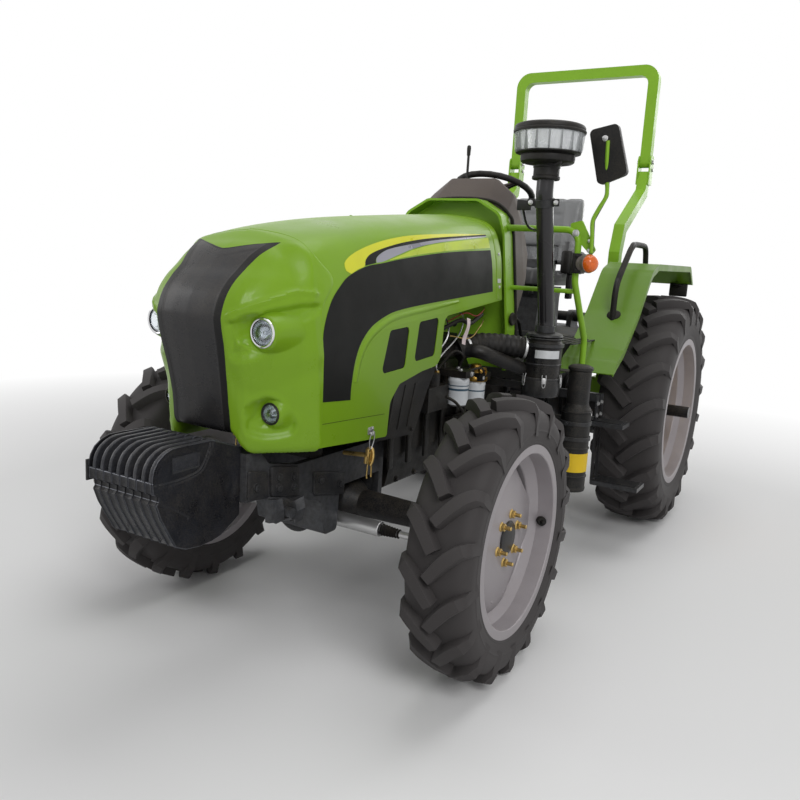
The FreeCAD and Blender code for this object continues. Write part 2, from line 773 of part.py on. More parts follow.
def rear_axle_housing():
    """Centre housing with a trumpet to each wheel, the lift cover and the power take-off boss."""
    half = D.axle_housing_half_width
    front = D.transmission_rear
    rear = D.axle_housing_rear
    axle = (D.wheelbase, D.rear_tyre_radius)
    centre = prism("y", [(-half, 430, 50), (half, 430, 50), (half, 900, 30), (150, 930, 20),
                         (150, D.lift_cover_top, 20), (-150, D.lift_cover_top, 20), (-150, 930, 20),
                         (-half, 900, 30)], front, rear)
    bearing = D.axle_bar_radius + D.running_fit
    end = D.trumpet_end
    seat = end - D.trumpet_bore_depth
    trumpet = turned("x", [(seat, 0), (half, 0), (half, 150, 4), (half + 22, 150, 4), (half + 26, 108, 10),
                           (half + 60, 88, 30), (end - 40, 72), (end - 22, D.trumpet_radius, 6),
                           (end, D.trumpet_radius, 6), (end, bearing), (seat, bearing)], (0, *axle))
    node("axle_trumpets", both_sides(trumpet))
    shaft_bore = cylinder("y", D.pto_radius + 6 + 0.06, (0, rear - 60, D.pto_height), 100)
    boss = cylinder("y", 60, (0, rear, D.pto_height), 18)
    link_pins = []
    for sign in (1, -1):
        shoulder = cylinder("x", 24, (half, D.link_pivot_y, D.link_pivot_z), D.link_offset - half - 14)
        pin = cylinder("x", D.link_pin_radius, (half, D.link_pivot_y, D.link_pivot_z),
                       D.link_offset - half + 18)
        foot = box((half - 30, D.link_pivot_y - 50, 430), (half + 14, D.link_pivot_y + 50, 500))
        lug = fuse(shoulder, pin, foot)
        link_pins.append(lug if sign > 0 else mirrored(lug))
    top_lugs = []
    for sign in (1, -1):
        plate = prism("x", [(rear, 760), (rear + 46, 800, 20), (rear + 46, 900, 20), (rear, 920)], 26, 42)
        top_lugs.append(plate if sign > 0 else mirrored(plate))
    top_bore = cylinder("x", D.top_link_bore_radius, (-60, rear + 24, 862), 120)
    arms = []
    for sign in (1, -1):
        cheek = prism("x", [(D.rockshaft_y - 70, D.lift_cover_top - 16),
                            (D.rockshaft_y - 60, D.rockshaft_z + 40, 30),
                            (D.rockshaft_y + 60, D.rockshaft_z + 40, 30),
                            (D.rockshaft_y + 70, D.lift_cover_top - 16)], 120, 150)
        arms.append(cheek if sign > 0 else mirrored(cheek))
    rock_bore = cylinder("x", D.rockshaft_radius + 0.06, (-170, D.rockshaft_y, D.rockshaft_z), 340)
    node("rear_axle_housing", cut(fuse(centre, boss, *link_pins, *top_lugs, *arms),
                                  shaft_bore, top_bore, rock_bore))
    pto = fuse(cylinder("y", D.pto_radius + 6, (0, rear - 58, D.pto_height), 80),
               cylinder("y", D.pto_radius, (0, rear + 22, D.pto_height), 76))
    node("pto_shaft", pto)


def rear_hitch():
    """Rockshaft and arms, lift rods, lower links and the drawbar."""
    y, z = D.rockshaft_y, D.rockshaft_z
    inside = D.lift_arm_offset
    shaft = cylinder("x", D.rockshaft_radius, (-inside - 24, y, z), 2 * inside + 48)
    arm = prism("x", [(y - 40, z - 6, 30), (y - 10, z + 45, 30), (y + 330, z + 30, 22),
                      (y + 330, z - 20, 22), (y, z - 48, 30)], inside, inside + 24)
    tip = (y + 305, z + 5)
    pin = cylinder("x", D.lift_pin_radius, (inside, *tip), 68)
    lifter = fuse(arm, pin)
    node("lift_arms", fuse(shaft, lifter, mirrored(lifter)))
    low = (aft(488), 476)
    middle = inside + 48
    length = math.dist(tip, low)
    lean = math.degrees(math.atan2(low[0] - tip[0], tip[1] - low[1]))
    bar = cylinder("z", 15, (0, 0, 0), length)
    screw = cylinder("z", 24, (0, 0, length * 0.35), length * 0.3)
    rod_body = fuse(bar, screw)
    rod_body.Placement = Placement(Vector(float(middle), *low), Rotation(Vector(1, 0, 0), lean))
    top_eye = cylinder("x", 26, (middle - 16, *tip), 32)
    low_eye = cylinder("x", 24, (middle - 16, *low), 32)
    bore = cylinder("x", D.lift_pin_radius + D.running_fit, (middle - 60, *tip), 120)
    node("lift_rods", both_sides(cut(fuse(rod_body, top_eye, low_eye), bore)))
    pivot = (D.link_pivot_y, D.link_pivot_z)
    link = prism("x", [(pivot[0] - 36, pivot[1], 30), (pivot[0], pivot[1] + 38, 20),
                       (aft(508), 500, 30), (D.link_end - 38, 486, 20), (D.link_end, 470, 16),
                       (D.link_end, 430, 16), (D.link_end - 38, 420, 20), (aft(448), 420, 30),
                       (pivot[0], pivot[1] - 36, 20)], D.link_offset - 12, D.link_offset + 12)
    ball = cylinder("x", 34, (D.link_offset - 20, D.link_end - 34, 452), 40)
    hole = cylinder("x", D.link_bore_radius, (D.link_offset - 40, D.link_end - 34, 452), 80)
    front_hole = cylinder("x", D.link_pin_radius + D.running_fit, (D.link_offset - 40, *pivot), 80)
    node("lower_links", both_sides(cut(fuse(link, ball), hole, front_hole)))
    bar = prism("z", [(-40, aft(-52)), (40, aft(-52)), (40, aft(608), 30), (-40, aft(608), 30)], 330, 358)
    hole = cylinder("z", D.drawbar_hole_radius, (0, aft(563), 320), 50)
    strap = box((-70, aft(98), 358), (70, aft(178), 430))
    node("drawbar", cut(fuse(bar, strap), hole))


# ---------------------------------------------------------------- bonnet

# the hood's crest, as (place along Y, height)
HOOD_CREST = [(-497, 1458), (-330, 1494), (-100, 1526), (250, 1560), (820, 1603)]

# one shoulder of the hood, as (distance in from the side, depth below the crest)
HOOD_SHOULDER = [(19, 175), (37, 106), (56, 65), (85, 37), (127, 20), (208, 6)]


def hood_side(height):
    """Half the bonnet's width at a height: the sides lean in towards the top."""
    return D.bonnet_half_width + (1245 - height) * D.bonnet_lean


def hood_section(y, crest, inset):
    """One closed cross-section: leaning sides, rounded shoulders and a crowned top."""
    low = 700
    bend = crest - 358
    edge = hood_side(1245)
    crown = Part.BSplineCurve()
    points = [(hood_side(bend) - inset, bend)]
    points += [(edge - inward - inset, crest - drop - inset) for inward, drop in HOOD_SHOULDER]
    points += [(0, crest - inset)]
    points += [(-px, pz) for px, pz in reversed(points[:-1])]
    crown.interpolate([Vector(float(px), y, float(pz)) for px, pz in points])
    foot = float(hood_side(low) - inset)
    side = float(points[0][0])
    return Part.Wire([
        Part.LineSegment(Vector(foot, y, low), Vector(side, y, bend)).toShape(),
        crown.toShape(),
        Part.LineSegment(Vector(-side, y, bend), Vector(-foot, y, low)).toShape(),
        Part.LineSegment(Vector(-foot, y, low), Vector(foot, y, low)).toShape(),
    ])


def hood_solid(inset, longer):
    """The hood's form lofted through its stations; the inner form runs past both ends."""
    wires = []
    for i, (y, crest) in enumerate(HOOD_CREST):
        shift = -longer if i == 0 else longer if i == len(HOOD_CREST) - 1 else 0
        wires.append(hood_section(y + shift, crest, inset))
    return Part.makeLoft(wires, True, False)


def feature(shape):
    obj = doc.addObject("Part::Feature", "Form")
    obj.Shape = shape
    return obj


def side_windows():
    """Slanted, rounded openings through both sides of the hood."""
    holes = []
    for front_top, rear_top, rear_low, front_low in (
        ((-112, 1156), (20, 1164), (-3, 1018), (-161, 1009)),
        ((89, 1177), (239, 1189), (214, 1045), (60, 1033)),
    ):
        outline = [(*front_top, 18), (*rear_top, 18), (*rear_low, 18), (*front_low, 18)]
        holes.append(outline)
    return holes


def bonnet():
    """Hood and nose, one lid that lifts about a hinge at its rear edge."""
    wall = D.bonnet_wall
    shell = cut(feature(hood_solid(0, 0)), feature(hood_solid(float(wall), 10)))
    side = [
        (D.bonnet_seam, 816), (-110, 787, 12), (-96, 907, 40), (-36, 964, 30), (122, 994, 60),
        (264, 1008, 60), (285, 1190, 40), (820, 1245), (820, 1700), (D.bonnet_seam, 1700),
    ]
    region = prism("x", side, -400, 400)
    windows = [prism("x", outline, -400, 400) for outline in side_windows()]
    ears = []
    for sign in (1, -1):
        ear = prism("x", [(D.hinge_y - 30, D.hinge_z + 23), (D.hinge_y - 22, D.hinge_z - 14, 10),
                          (D.hinge_y + 12, D.hinge_z - 14, 10), (D.hinge_y + 4, D.hinge_z + 23)], 92, 100)
        ears.append(ear if sign > 0 else mirrored(ear))
    pin_bore = cylinder("x", D.hinge_pin_radius + D.running_fit, (-120, D.hinge_y, D.hinge_z), 240)
    node("bonnet_hood", cut(fuse(cut(common(shell, region), *windows), *ears), pin_bore))
    outside = float(wall + D.seam_gap)
    lining = cut(feature(hood_solid(outside, 0)), feature(hood_solid(outside + 4, 10)))
    grilles = []
    for outline in side_windows():
        middle_y = sum(p[0] for p in outline) / 4
        middle_z = sum(p[1] for p in outline) / 4
        grown = [(middle_y + (p[0] - middle_y) * 1.12, middle_z + (p[1] - middle_z) * 1.12, 18)
                 for p in outline]
        grilles.append(common(lining, prism("x", grown, -400, 400)))
    node("side_grilles", compound(*grilles))
    nose()


# the nose's foremost line in the middle, as (height, place along Y)
NOSE_PROFILE = [(700, -684), (800, -692), (880, -699), (955, -707), (1044, -724), (1131, -746),
                (1190, -757), (1220, -757), (1265, -739), (1309, -704), (1347, -661), (1385, -630),
                (1417, -602), (1450, -545), (1478, -475)]

# the nose's plan above and below its waist, as (half width, distance behind the foremost line)
NOSE_PLAN_HIGH = [(60, 3), (100, 7), (130, 13), (152, 19), (170, 29), (187, 45), (205, 70), (225, 100),
                  (245, 130), (262, 155), (278, 184), (296, 215), (315, 250), (335, 290), (352, 330)]
NOSE_PLAN_LOW = [(60, 2), (96, 5), (118, 10), (140, 17), (158, 28), (175, 45), (195, 68), (215, 92),
                 (240, 120), (262, 145), (282, 172), (300, 200), (320, 232), (340, 270), (360, 310)]
NOSE_WAIST = (950, 1180)

# half the bonnet's width that those plans are drawn for
NOSE_PLAN_HALF = 292


def offset_inward(points, inset):
    """Points of a half plan moved square to their line, towards the middle of the nose."""
    moved = []
    for i, (px, py) in enumerate(points):
        before = points[max(i - 1, 0)]
        after = points[min(i + 1, len(points) - 1)]
        run = math.dist(before, after)
        moved.append((px - inset * (after[1] - before[1]) / run,
                      py + inset * (after[0] - before[0]) / run))
    return moved


def nose_plan(height, front, inset):
    """The nose's closed plan at one height, blended between its upper and lower plans."""
    low, high = NOSE_WAIST
    share = min(max((height - low) / (high - low), 0), 1)
    stretch = float(D.bonnet_half_width / NOSE_PLAN_HALF)
    half = [(stretch * (a[0] + (b[0] - a[0]) * share), a[1] + (b[1] - a[1]) * share)
            for a, b in zip(NOSE_PLAN_LOW, NOSE_PLAN_HIGH)]
    half = offset_inward(half, inset)
    line = [(-px, py) for px, py in reversed(half)] + [(0, inset)] + half
    curve = Part.BSplineCurve()
    curve.interpolate([Vector(px, front + py, height) for px, py in line])
    ends = [Vector(px, front + py, height) for px, py in (line[-1], line[0])]
    return Part.Wire([curve.toShape(), Part.LineSegment(*ends).toShape()])


def nose_form(inset):
    """The nose as the meeting of its lofted plans and the hood's own section."""
    back = D.bonnet_seam - D.seam_gap
    plans = [nose_plan(height, front, inset) for height, front in NOSE_PROFILE]
    body = Part.makeLoft(plans, True, False)
    section = Part.Face(hood_section(float(back), HOOD_CREST[0][1], inset))
    return common(feature(body), feature(section.extrude(Vector(0, -400, 0))))


def panel_region(inset):
    """The room of the black centre panel: its outline from ahead, as far back as its upper edge."""
    foot = D.panel_foot_half - inset
    middle = D.panel_half_width - inset
    tip = D.panel_tip_half - inset
    side = [(foot, D.panel_bottom + inset, 20), (foot, 960, 200), (middle, 1130, 200),
            (middle, 1310, 60), (tip, 1415), (tip, 1500)]
    other_side = [(-px, *rest) for px, *rest in reversed(side)]
    front_view = prism("y", [*side, *other_side], -900, D.bonnet_seam)
    rear = D.panel_rear - inset
    plan = prism("z", [(-tip, rear + 73), (-100, rear + 24, 60), (0, rear, 60), (100, rear + 24, 60),
                       (tip, rear + 73), (tip, -900), (-tip, -900)], 700, 1500)
    return common(front_view, plan)


def nose():
    """A moulded nose with lamp buckets in its cheeks, round a black centre panel."""
    wall = D.bonnet_wall
    back = D.bonnet_seam - D.seam_gap
    shell = cut(nose_form(0.0), nose_form(float(wall)))
    lower_edge = box((-400, -900, 600), (400, 0, D.nose_bottom))
    chin_half = D.panel_foot_half + D.chin_margin
    chin = box((-chin_half, -900, 600), (chin_half, back - 100, D.panel_bottom - D.chin_margin))
    cheeks = cut(shell, panel_region(0), lower_edge, chin)
    lamps = []
    buckets = []
    sockets = []
    for x, y, z, radius in (
        (D.upper_lamp_out, -680, D.upper_lamp_height, D.upper_lamp_radius),
        (D.lower_lamp_out, -634, D.lower_lamp_height, D.lower_lamp_radius),
    ):
        buckets.append(common(cylinder("y", radius + 6, (x, -900, z), 900 + y + 54), nose_form(0.0)))
        sockets.append(cylinder("y", radius + 0.3, (x, -900, z), 900 + y + 60))
        lamps.append(fuse(cylinder("y", radius, (x, y, z), 50),
                          cone("y", radius - 12, radius, (x, y - 8, z), 8)))
    full = [*buckets, *[mirrored(b) for b in buckets]]
    empty = [*sockets, *[mirrored(s) for s in sockets]]
    node("bonnet_nose", cut(fuse(cheeks, *full), *empty))
    panel = common(cut(nose_form(0.0), nose_form(float(wall))), panel_region(D.seam_gap))
    node("nose_grille", panel)
    node("headlamps", compound(*[both_sides(lamp) for lamp in lamps]))


# ---------------------------------------------------------------- driver's station

def cowl_outline(inset):
    """The hoop seen from ahead, moved in by a wall."""
    half = [(315 - inset, D.floor_top), (315 - inset, 1110), (268 - inset, 1524, 60),
            (240 - inset, 1617 - inset * 0.7, 60), (128 - inset / 2, 1680 - inset, 50)]
    return half + [(-point[0], *point[1:]) for point in reversed(half)]


def cowl():
    """The hoop behind the bonnet: a folded rim that carries the dash and the guard rails."""
    front = D.cowl_front
    rear = front + D.cowl_depth
    outer = prism("y", cowl_outline(0), front, rear)
    opening = cowl_outline(float(D.cowl_wall))
    opening[0] = (opening[0][0], D.floor_top - 50)
    opening[-1] = (opening[-1][0], D.floor_top - 50)
    hoop = cut(outer, prism("y", opening, front - 10, rear + 10))
    plate = prism("y", inner_plate(cowl_outline(float(D.cowl_wall))), rear - 20, rear - 16)
    brackets = []
    for sign in (1, -1):
        arm = box((101, D.hinge_y - 8, D.hinge_z - 24), (109, rear - 18, D.hinge_z - 3))
        boss = cylinder("x", D.hinge_pin_radius + 3, (101, D.hinge_y, D.hinge_z), 8)
        pin = cylinder("x", D.hinge_pin_radius, (88, D.hinge_y, D.hinge_z), 20)
        bracket = fuse(arm, boss, pin)
        brackets.append(bracket if sign > 0 else mirrored(bracket))
    node("cowl", fuse(hoop, plate, *brackets))


def inner_plate(points):
    """The firewall's outline just inside the hoop."""
    return [(points[0][0] - 1, D.floor_top), *points[1:-1], (points[-1][0] + 1, D.floor_top)]


# where the throttle stalk stands, as (X, Y)
STALK_PLACE = (-44, 1070)


def post_block(front):
    """The pedestal under the steering column, from the footplate into the dash."""
    half = D.column_half
    return prism("z", [(-half, front), (half, front), (half, 1235, 20), (-half, 1235, 20)],
                 D.floor_top, 1400)


def dash():
    """Moulded dash cover over the column, wide at the hoop and rising to a hood."""
    rear = D.cowl_front + D.cowl_depth
    wires = []
    for y, low, half_low, half_mid, mid, half_top, top in (
        (rear, 1180, 318, 278, 1530, 132, 1688),
        (1050, 1290, 300, 258, 1590, 112, 1790),
        (1100, 1330, 285, 245, 1590, 105, 1792),
        (1240, 1440, 230, 200, 1560, 95, 1690),
    ):
        shoulder = (mid + top) / 2 + 24
        half = [(half_low, low, 10), (half_mid, mid, 30), ((half_mid + half_top) / 2 + 26, shoulder, 30),
                (half_top, top, 30)]
        points = half + [(-p[0], *p[1:]) for p in reversed(half)]
        wire = Part.Wire([edge.toShape() for edge in rounded_edges(points)])
        wire.rotate(Vector(0, 0, 0), Vector(1, 0, 0), 90)
        wire.translate(Vector(0, float(y), 0))
        wires.append(wire)
    cover = feature(Part.makeLoft(wires, True, True))
    lean = math.radians(D.wheel_tilt)
    length = 430
    foot = (0, D.wheel_centre_y - length * math.sin(lean), D.wheel_centre_z - length * math.cos(lean))
    passage = place(doc.addObject("Part::Cylinder", "Passage"), foot,
                    Rotation(Vector(1, 0, 0), -float(D.wheel_tilt)))
    bind(passage, "Radius", D.column_radius + 1)
    passage.Height = length + 70
    stalk_hole = cylinder("z", D.stalk_radius + D.seam_gap, (*STALK_PLACE, 1650), 200)
    post_space = post_block(rear)
    node("dash_cover", cut(cover, passage, stalk_hole, post_space))
    post = post_block(rear)
    tube = place(doc.addObject("Part::Cylinder", "Tube"), foot,
                 Rotation(Vector(1, 0, 0), -float(D.wheel_tilt)))
    bind(tube, "Radius", D.column_radius)
    tube.Height = length - 30
    shaft = place(doc.addObject("Part::Cylinder", "Shaft"), foot,
                  Rotation(Vector(1, 0, 0), -float(D.wheel_tilt)))
    bind(shaft, "Radius", D.shaft_radius)
    shaft.Height = length - 5
    node("steering_column", fuse(post, tube, shaft))
    controls()
    steering_wheel(lean)


def controls():
    """Pedals, hand levers and the throttle stalk; small controls, fixed in this model."""
    stalk = cylinder("z", D.stalk_radius, (*STALK_PLACE, 1660), 280)
    pieces = [stalk]
    face = D.column_half
    for places in ((-1, (150,)), (1, (140, 215))):
        sign, offsets = places
        hub = cylinder("x", 15, (face, 1115, 1180), max(offsets) - face)
        group = [hub if sign > 0 else mirrored(hub)]
        for offset in offsets:
            x = sign * offset
            group.append(rod([(x, 1115, 1180), (x, 1235, 1120), (x, 1300, 1010)], 8, 40))
            group.append(box((x - 30, 1288, 990), (x + 30, 1300, 1050)))
        pieces.append(fuse(*group))
    lever = rod([(60, 1400, D.floor_top), (60, 1400, 1180), (60, 1370, 1290)], 8, 60)
    knob = cylinder("z", 20, (60, 1371, 1282), 36)
    boot = cone("z", 45, 14, (60, 1400, D.floor_top), 60)
    pieces.append(fuse(lever, knob, boot))
    node("controls", compound(*pieces))


def steering_wheel(lean):
    """A thin rim on three spokes round a hub cap."""
    ring = doc.addObject("Part::Torus", "Rim")
    bind(ring, "Radius1", D.wheel_rim_radius - D.wheel_rim_wire)
    bind(ring, "Radius2", D.wheel_rim_wire)
    hub = cylinder("z", 42, (0, 0, -28), 34)
    spokes = []
    for angle in (90, 210, 330):
        reach = float(D.wheel_rim_radius - D.wheel_rim_wire)
        direction = Vector(math.cos(math.radians(angle)), math.sin(math.radians(angle)), 0)
        spokes.append(rod([direction * 20 + Vector(0, 0, -14), direction * reach], 8))
    bore = cylinder("z", D.shaft_radius + D.running_fit, (0, 0, -40), 38)
    wheel = cut(fuse(ring, hub, *spokes), bore)
    place(wheel, (0, D.wheel_centre_y, D.wheel_centre_z), Rotation(Vector(1, 0, 0), -float(D.wheel_tilt)))
    node("steering_wheel", wheel)


def floor():
    """Footplate, riser and rear deck, on cross-members over the gearbox."""
    half = D.inner_wall
    top = D.floor_top
    wall = D.floor_wall
    deck = D.deck_top
    front = D.floor_front
    plate = box((-half, front, top - wall), (half, D.riser, top))
    riser = box((-half, D.riser, top - wall), (half, D.riser + wall, deck))
    rear_deck = box((-half, D.riser + wall, deck - wall), (half, aft(-92), deck))
    lip = box((-half, front, top - 40), (half, front + 4, top - wall))
    beams = [box((-130, y, D.transmission_top), (130, y + 60, top - wall)) for y in (1000, D.riser - 80)]
    post_holes = [box((sign * D.rops_offset - 32, aft(-122), D.deck_top - 60),
                      (sign * D.rops_offset + 32, aft(-42), D.deck_top + 40))
                  for sign in (1, -1)]
    wing = box((half, 1090, top - wall), (D.rail_offset + 35, aft(-982), top))
    wings = [wing, mirrored(wing)]
    node("floor_platform", cut(fuse(plate, riser, rear_deck, lip, *beams, *wings), *post_holes))


def seat():
    """Pedestal, cushion and backrest with side bolsters."""
    half = D.seat_half_width
    front = D.seat_front
    under = D.seat_top - D.cushion_thick - D.soft_gap
    base = prism("x", [(front + 30, D.deck_top), (front + 380, D.deck_top), (front + 380, under - 60),
                       (front + 400, under), (front + 20, under), (front + 60, under - 60)],
                 -half + 50, half - 50)
    back_frame = prism("x", [(front + 386, under - 30), (front + 430, under - 30),
                             (front + 466, under + 220), (front + 446, under + 220)],
                       -half + 110, half - 110)
    node("seat_base", fuse(base, back_frame))
    cushion = prism("x", [(front, under + D.soft_gap + 40, 8), (front + 20, D.seat_top, 30),
                          (front + 260, D.seat_top - 25, 60), (front + 385, D.seat_top - 10, 20),
                          (front + 385, under + D.soft_gap, 8), (front, under + D.soft_gap, 8)],
                    -half, half)
    node("seat_cushion", cushion)
    back = prism("x", [(front + 396, D.seat_top + 10, 20), (front + 440, D.seat_top + 380, 30),
                       (front + 505, D.seat_top + 400, 30), (front + 492, D.seat_top + 10, 20)],
                 -half - 10, half + 10)
    node("seat_backrest", cut(back, box((-half + 100, front + 380, D.seat_top - 20),
                                        (half - 100, front + 466 + D.soft_gap, under + 220 + D.soft_gap))))


def fender_profile(drop):
    """Side view of the guard over a rear wheel, moved down by a wall."""
    return [
        (aft(-982), D.floor_top), (aft(-922), 985 - drop, 60), (aft(-822), 1032 - drop, 80),
        (aft(-612), 1200 - drop, 160), (aft(-422), 1405 - drop, 120), (aft(-292), 1446 - drop, 80),
        (aft(568), 1452 - drop, 60), (aft(698) - drop, 1340),
    ]


def fender():
    """A wide guard: rounded top, sloping front, inner side wall and a folded outer lip."""
    wall = D.fender_wall
    outer = [*fender_profile(0), (aft(698), 900), (aft(-982), 900)]
    inner = [(aft(-1052), 880), (aft(-980), D.floor_top - wall), *fender_profile(wall)[1:],
             (aft(698) - wall, 880)]
    shell = cut(prism("x", outer, D.inner_wall, D.fender_outer),
                prism("x", inner, D.inner_wall + wall, D.fender_outer + 10))
    arch = cylinder("x", D.rear_tyre_radius + 60, (400, D.wheelbase, D.rear_tyre_radius),
                    D.fender_outer - 380)
    trim = box((400, aft(-1092), 700), (D.fender_outer + 40, aft(-980), D.floor_top))
    tail = box((400, aft(548), 700), (D.fender_outer + 40, aft(748), 1339))
    lip = cut(prism("x", [*fender_profile(0), (aft(698), 1300), (aft(-982), 900)],
                    D.fender_outer - wall, D.fender_outer),
              prism("x", [(aft(-1052), 880), *[(p[0], p[1] - 34, *p[2:]) for p in fender_profile(0)[1:-1]],
                          (aft(678), 1330), (aft(678), 880)], D.fender_outer - 20, D.fender_outer + 20))
    guard = cut(fuse(shell, lip), arch, trim, tail)
    node("fender_left", guard)
    node("fender_right", mirrored(guard), in_place=True)
    grab = rod([(600, aft(-652), 1130), (600, aft(-652), 1330), (600, aft(-412), 1540),
                (600, aft(-132), 1540), (600, aft(-92), 1420)], 12, 60)
    grab = cut(grab, prism("x", outer, D.inner_wall, D.fender_outer))
    node("fender_handles", both_sides(grab))


def steps():
    """Two treads on hangers below each door way, on an arm from the gearbox."""
    upper = box((540, 1290, 655), (760, 1420, 675))
    lower = box((620, 1330, 352), (850, 1470, 372))
    hangers = [prism("x", [(y, 352), (y + 30, 352), (y - 10, 800), (y - 40, 800)], 612, 620)
               for y in (1350, 1430)]
    arm = box((D.transmission_half_width, 1370, 760), (620, 1410, 800))
    tie = box((612, 1330, 640), (620, 1460, 680))
    left = fuse(upper, lower, arm, tie, *hangers)
    node("steps", both_sides(left))


def guard_rails():
    """A bent tube on each side of the cowl, down to the footplate, with a plate for the mirror."""
    x, y = D.rail_offset, D.rail_y
    rail = rod([(200, y, 1560), (x, y, 1560), (x, y, 1340), (x, 1120, 1080), (x, 1120, D.floor_top)],
               D.rail_radius, 60)
    lower_bar = rod([(200, y, 1300), (x, 938, 1300)], 10)
    plate = prism("y", [(x - 45, 1585, 10), (x + 10, 1600, 10), (x + 78, 1480, 10), (x + 60, 1455, 10),
                        (x - 20, 1530, 10)], y - 4, y + 4)
    hoop = prism("y", cowl_outline(0), D.cowl_front, D.cowl_front + D.cowl_depth)
    node("guard_rails", both_sides(cut(fuse(rail, lower_bar, plate), hoop)))


def mirror_and_lamps():
    """The driver's mirror on its arm, and a turn signal on each side."""
    x, y = D.rail_offset, D.rail_y
    front = y - 4 - 7 - D.seam_gap
    arm = rod([(x + 66, front, 1470), (x + 58, front, 1600), (x + 106, front, 1700),
               (x + 98, front, 1850)], 7, 40)
    head = prism("y", [(595, 1958, 20), (711, 1983, 20), (770, 1785, 20), (652, 1738, 20)],
                 front - 20, front + 10)
    node("mirror", fuse(arm, head))
    body = cylinder("x", 34, (x + D.rail_radius, y, 1420), 50)
    lens = cylinder("x", 32, (x + D.rail_radius + 50, y, 1420), 44)
    node("turn_signals", both_sides(fuse(body, lens)))


# ---------------------------------------------------------------- roll-over frame

def square_run(points, size):
    """A square tube's outline in side view, along a centre line with mitred corners."""
    half = size / 2
    left = []
    right = []
    for i, point in enumerate(points):
        here = Vector(*point, 0)
        ahead = Vector(*points[min(i + 1, len(points) - 1)], 0) - Vector(*points[max(i, 0)], 0)
        behind = here - Vector(*points[max(i - 1, 0)], 0)
        directions = [d.normalize() for d in (behind, ahead) if d.Length > 0]
        mean = sum(directions, Vector()).normalize()
        normal = Vector(-mean.y, mean.x, 0)
        scale = half / max(0.2, normal.dot(Vector(-directions[0].y, directions[0].x, 0)))
        left.append((here.x + normal.x * scale, here.y + normal.y * scale))
        right.append((here.x - normal.x * scale, here.y - normal.y * scale))
    return left + right[::-1]


def rops():
    """Two leaning posts with hinge cheeks, and the hoop that folds back on them."""
    x = D.rops_offset
    size = D.rops_tube
    hinge = (D.rops_hinge_y, D.rops_hinge_z)
    outline = square_run([(aft(-62), 770), (aft(-62), 1500), (aft(-12), 1640), (aft(368), 1870),
                          (hinge[0], hinge[1] - 60)],
                         float(size))
    post = prism("x", outline, x - size / 2, x + size / 2)
    plate = D.rops_plate
    cheek_outline = [(hinge[0] - 42, hinge[1] - 130), (hinge[0] + 34, hinge[1] - 130),
                     (hinge[0] + 40, hinge[1] + 40, 30), (hinge[0] - 40, hinge[1] + 40, 30)]
    side = size / 2 + D.pin_gap
    cheeks = [prism("x", cheek_outline, x + side, x + side + plate),
              prism("x", cheek_outline, x - side - plate, x - side)]
    spacer = box((x - side, hinge[0] - 30, hinge[1] - 130), (x + side, hinge[0] + 30, hinge[1] - 62))
    pin = cylinder("x", 12, (x - side - plate, *hinge), size + 2 * D.pin_gap + 2 * plate)
    foot = box((D.inner_wall - 90, aft(-112), 760), (D.inner_wall - 4, aft(48), 790))
    clamp = cut(box((x - 60, D.wheelbase - 100, 690), (D.trumpet_end - 4, D.wheelbase + 60, 770)),
                cylinder("x", D.trumpet_radius + D.seam_gap, (300, D.wheelbase, D.rear_tyre_radius), 200))
    side_post = fuse(post, spacer, *cheeks, pin, foot, clamp)
    node("rops_posts", both_sides(side_post))
    top = D.rops_top
    low = hinge[1] - 34
    outer = [(-x - size / 2, low), (-x - size / 2, top, 90), (x + size / 2, top, 90), (x + size / 2, low)]
    inner = [(-x + size / 2, low - 10), (-x + size / 2, top - size, 50), (x - size / 2, top - size, 50),
             (x - size / 2, low - 10)]
    hoop = cut(prism("y", outer, hinge[0] - size / 2, hinge[0] + size / 2),
               prism("y", inner, hinge[0] - size, hinge[0] + size),
               cylinder("x", 12.06, (-600, *hinge), 1200))
    round_foot = []
    for sign in (1, -1):
        low_x = sign * x - size / 2 - 1
        block = box((low_x, hinge[0] - 40, low - 1), (low_x + size + 2, hinge[0] + 40, hinge[1]))
        keep = cylinder("x", size / 2, (low_x - 1, *hinge), size + 4)
        round_foot.append(cut(block, keep))
    node("rops_hoop", cut(hoop, *round_foot))


# ---------------------------------------------------------------- air and exhaust

def air_intake():
    """Canister, riser tube with its clamp, and the bowl precleaner on top."""
    x, y, radius = D.cleaner_x, D.cleaner_y, D.cleaner_radius
    canister = turned("z", [(850, 0), (850, radius - 20, 10), (880, radius, 10), (1060, radius, 6),
                            (1062, radius + 6), (1076, radius + 6), (1078, radius, 4),
                            (1110, 60, 20), (1118, 40), (1118, 0)], (x, y, 0))
    duct = rod([(D.engine_half_width + 40, 600, 1035), (300, 600, 1035), (440, 800, 950)], 30, 60)
    bracket = box((D.engine_half_width + 15, 790, 868), (x - 60, 798, 900))
    node("air_cleaner", fuse(canister, duct, bracket))
    top = (490, 705, 1772)
    stack = rod([(x, y, 1118), (x, y, 1170), (490, 705, 1690), top], D.stack_radius, 80, 3)
    node("intake_stack", stack)
    bowl = turned("z", [(1772, 0), (1772, 48), (1800, 52, 6), (1806, 96, 8), (1840, 108, 8),
                        (1846, D.bowl_radius - 6, 6), (1912, D.bowl_radius, 3),
                        (1912, D.bowl_radius + 4, 2), (1940, D.bowl_radius + 4, 12),
                        (1964, 60, 20), (1964, 0)], (490, 705, 0))
    node("precleaner", bowl)


def exhaust():
    """Upright silencer ahead of the step, with its pipe from the manifold and a bracket."""
    x, y, radius = D.muffler_x, D.muffler_y, D.muffler_radius
    can = turned("z", [(410, 0), (410, radius - 8, 6), (422, radius), (780, radius, 10), (800, 50, 10),
                       (950, 50, 16), (973, 30), (973, 0)], (x, y, 0))
    bracket = box((D.transmission_half_width, 990, 700), (x - 40, 1010, 740))
    node("muffler", fuse(can, bracket))


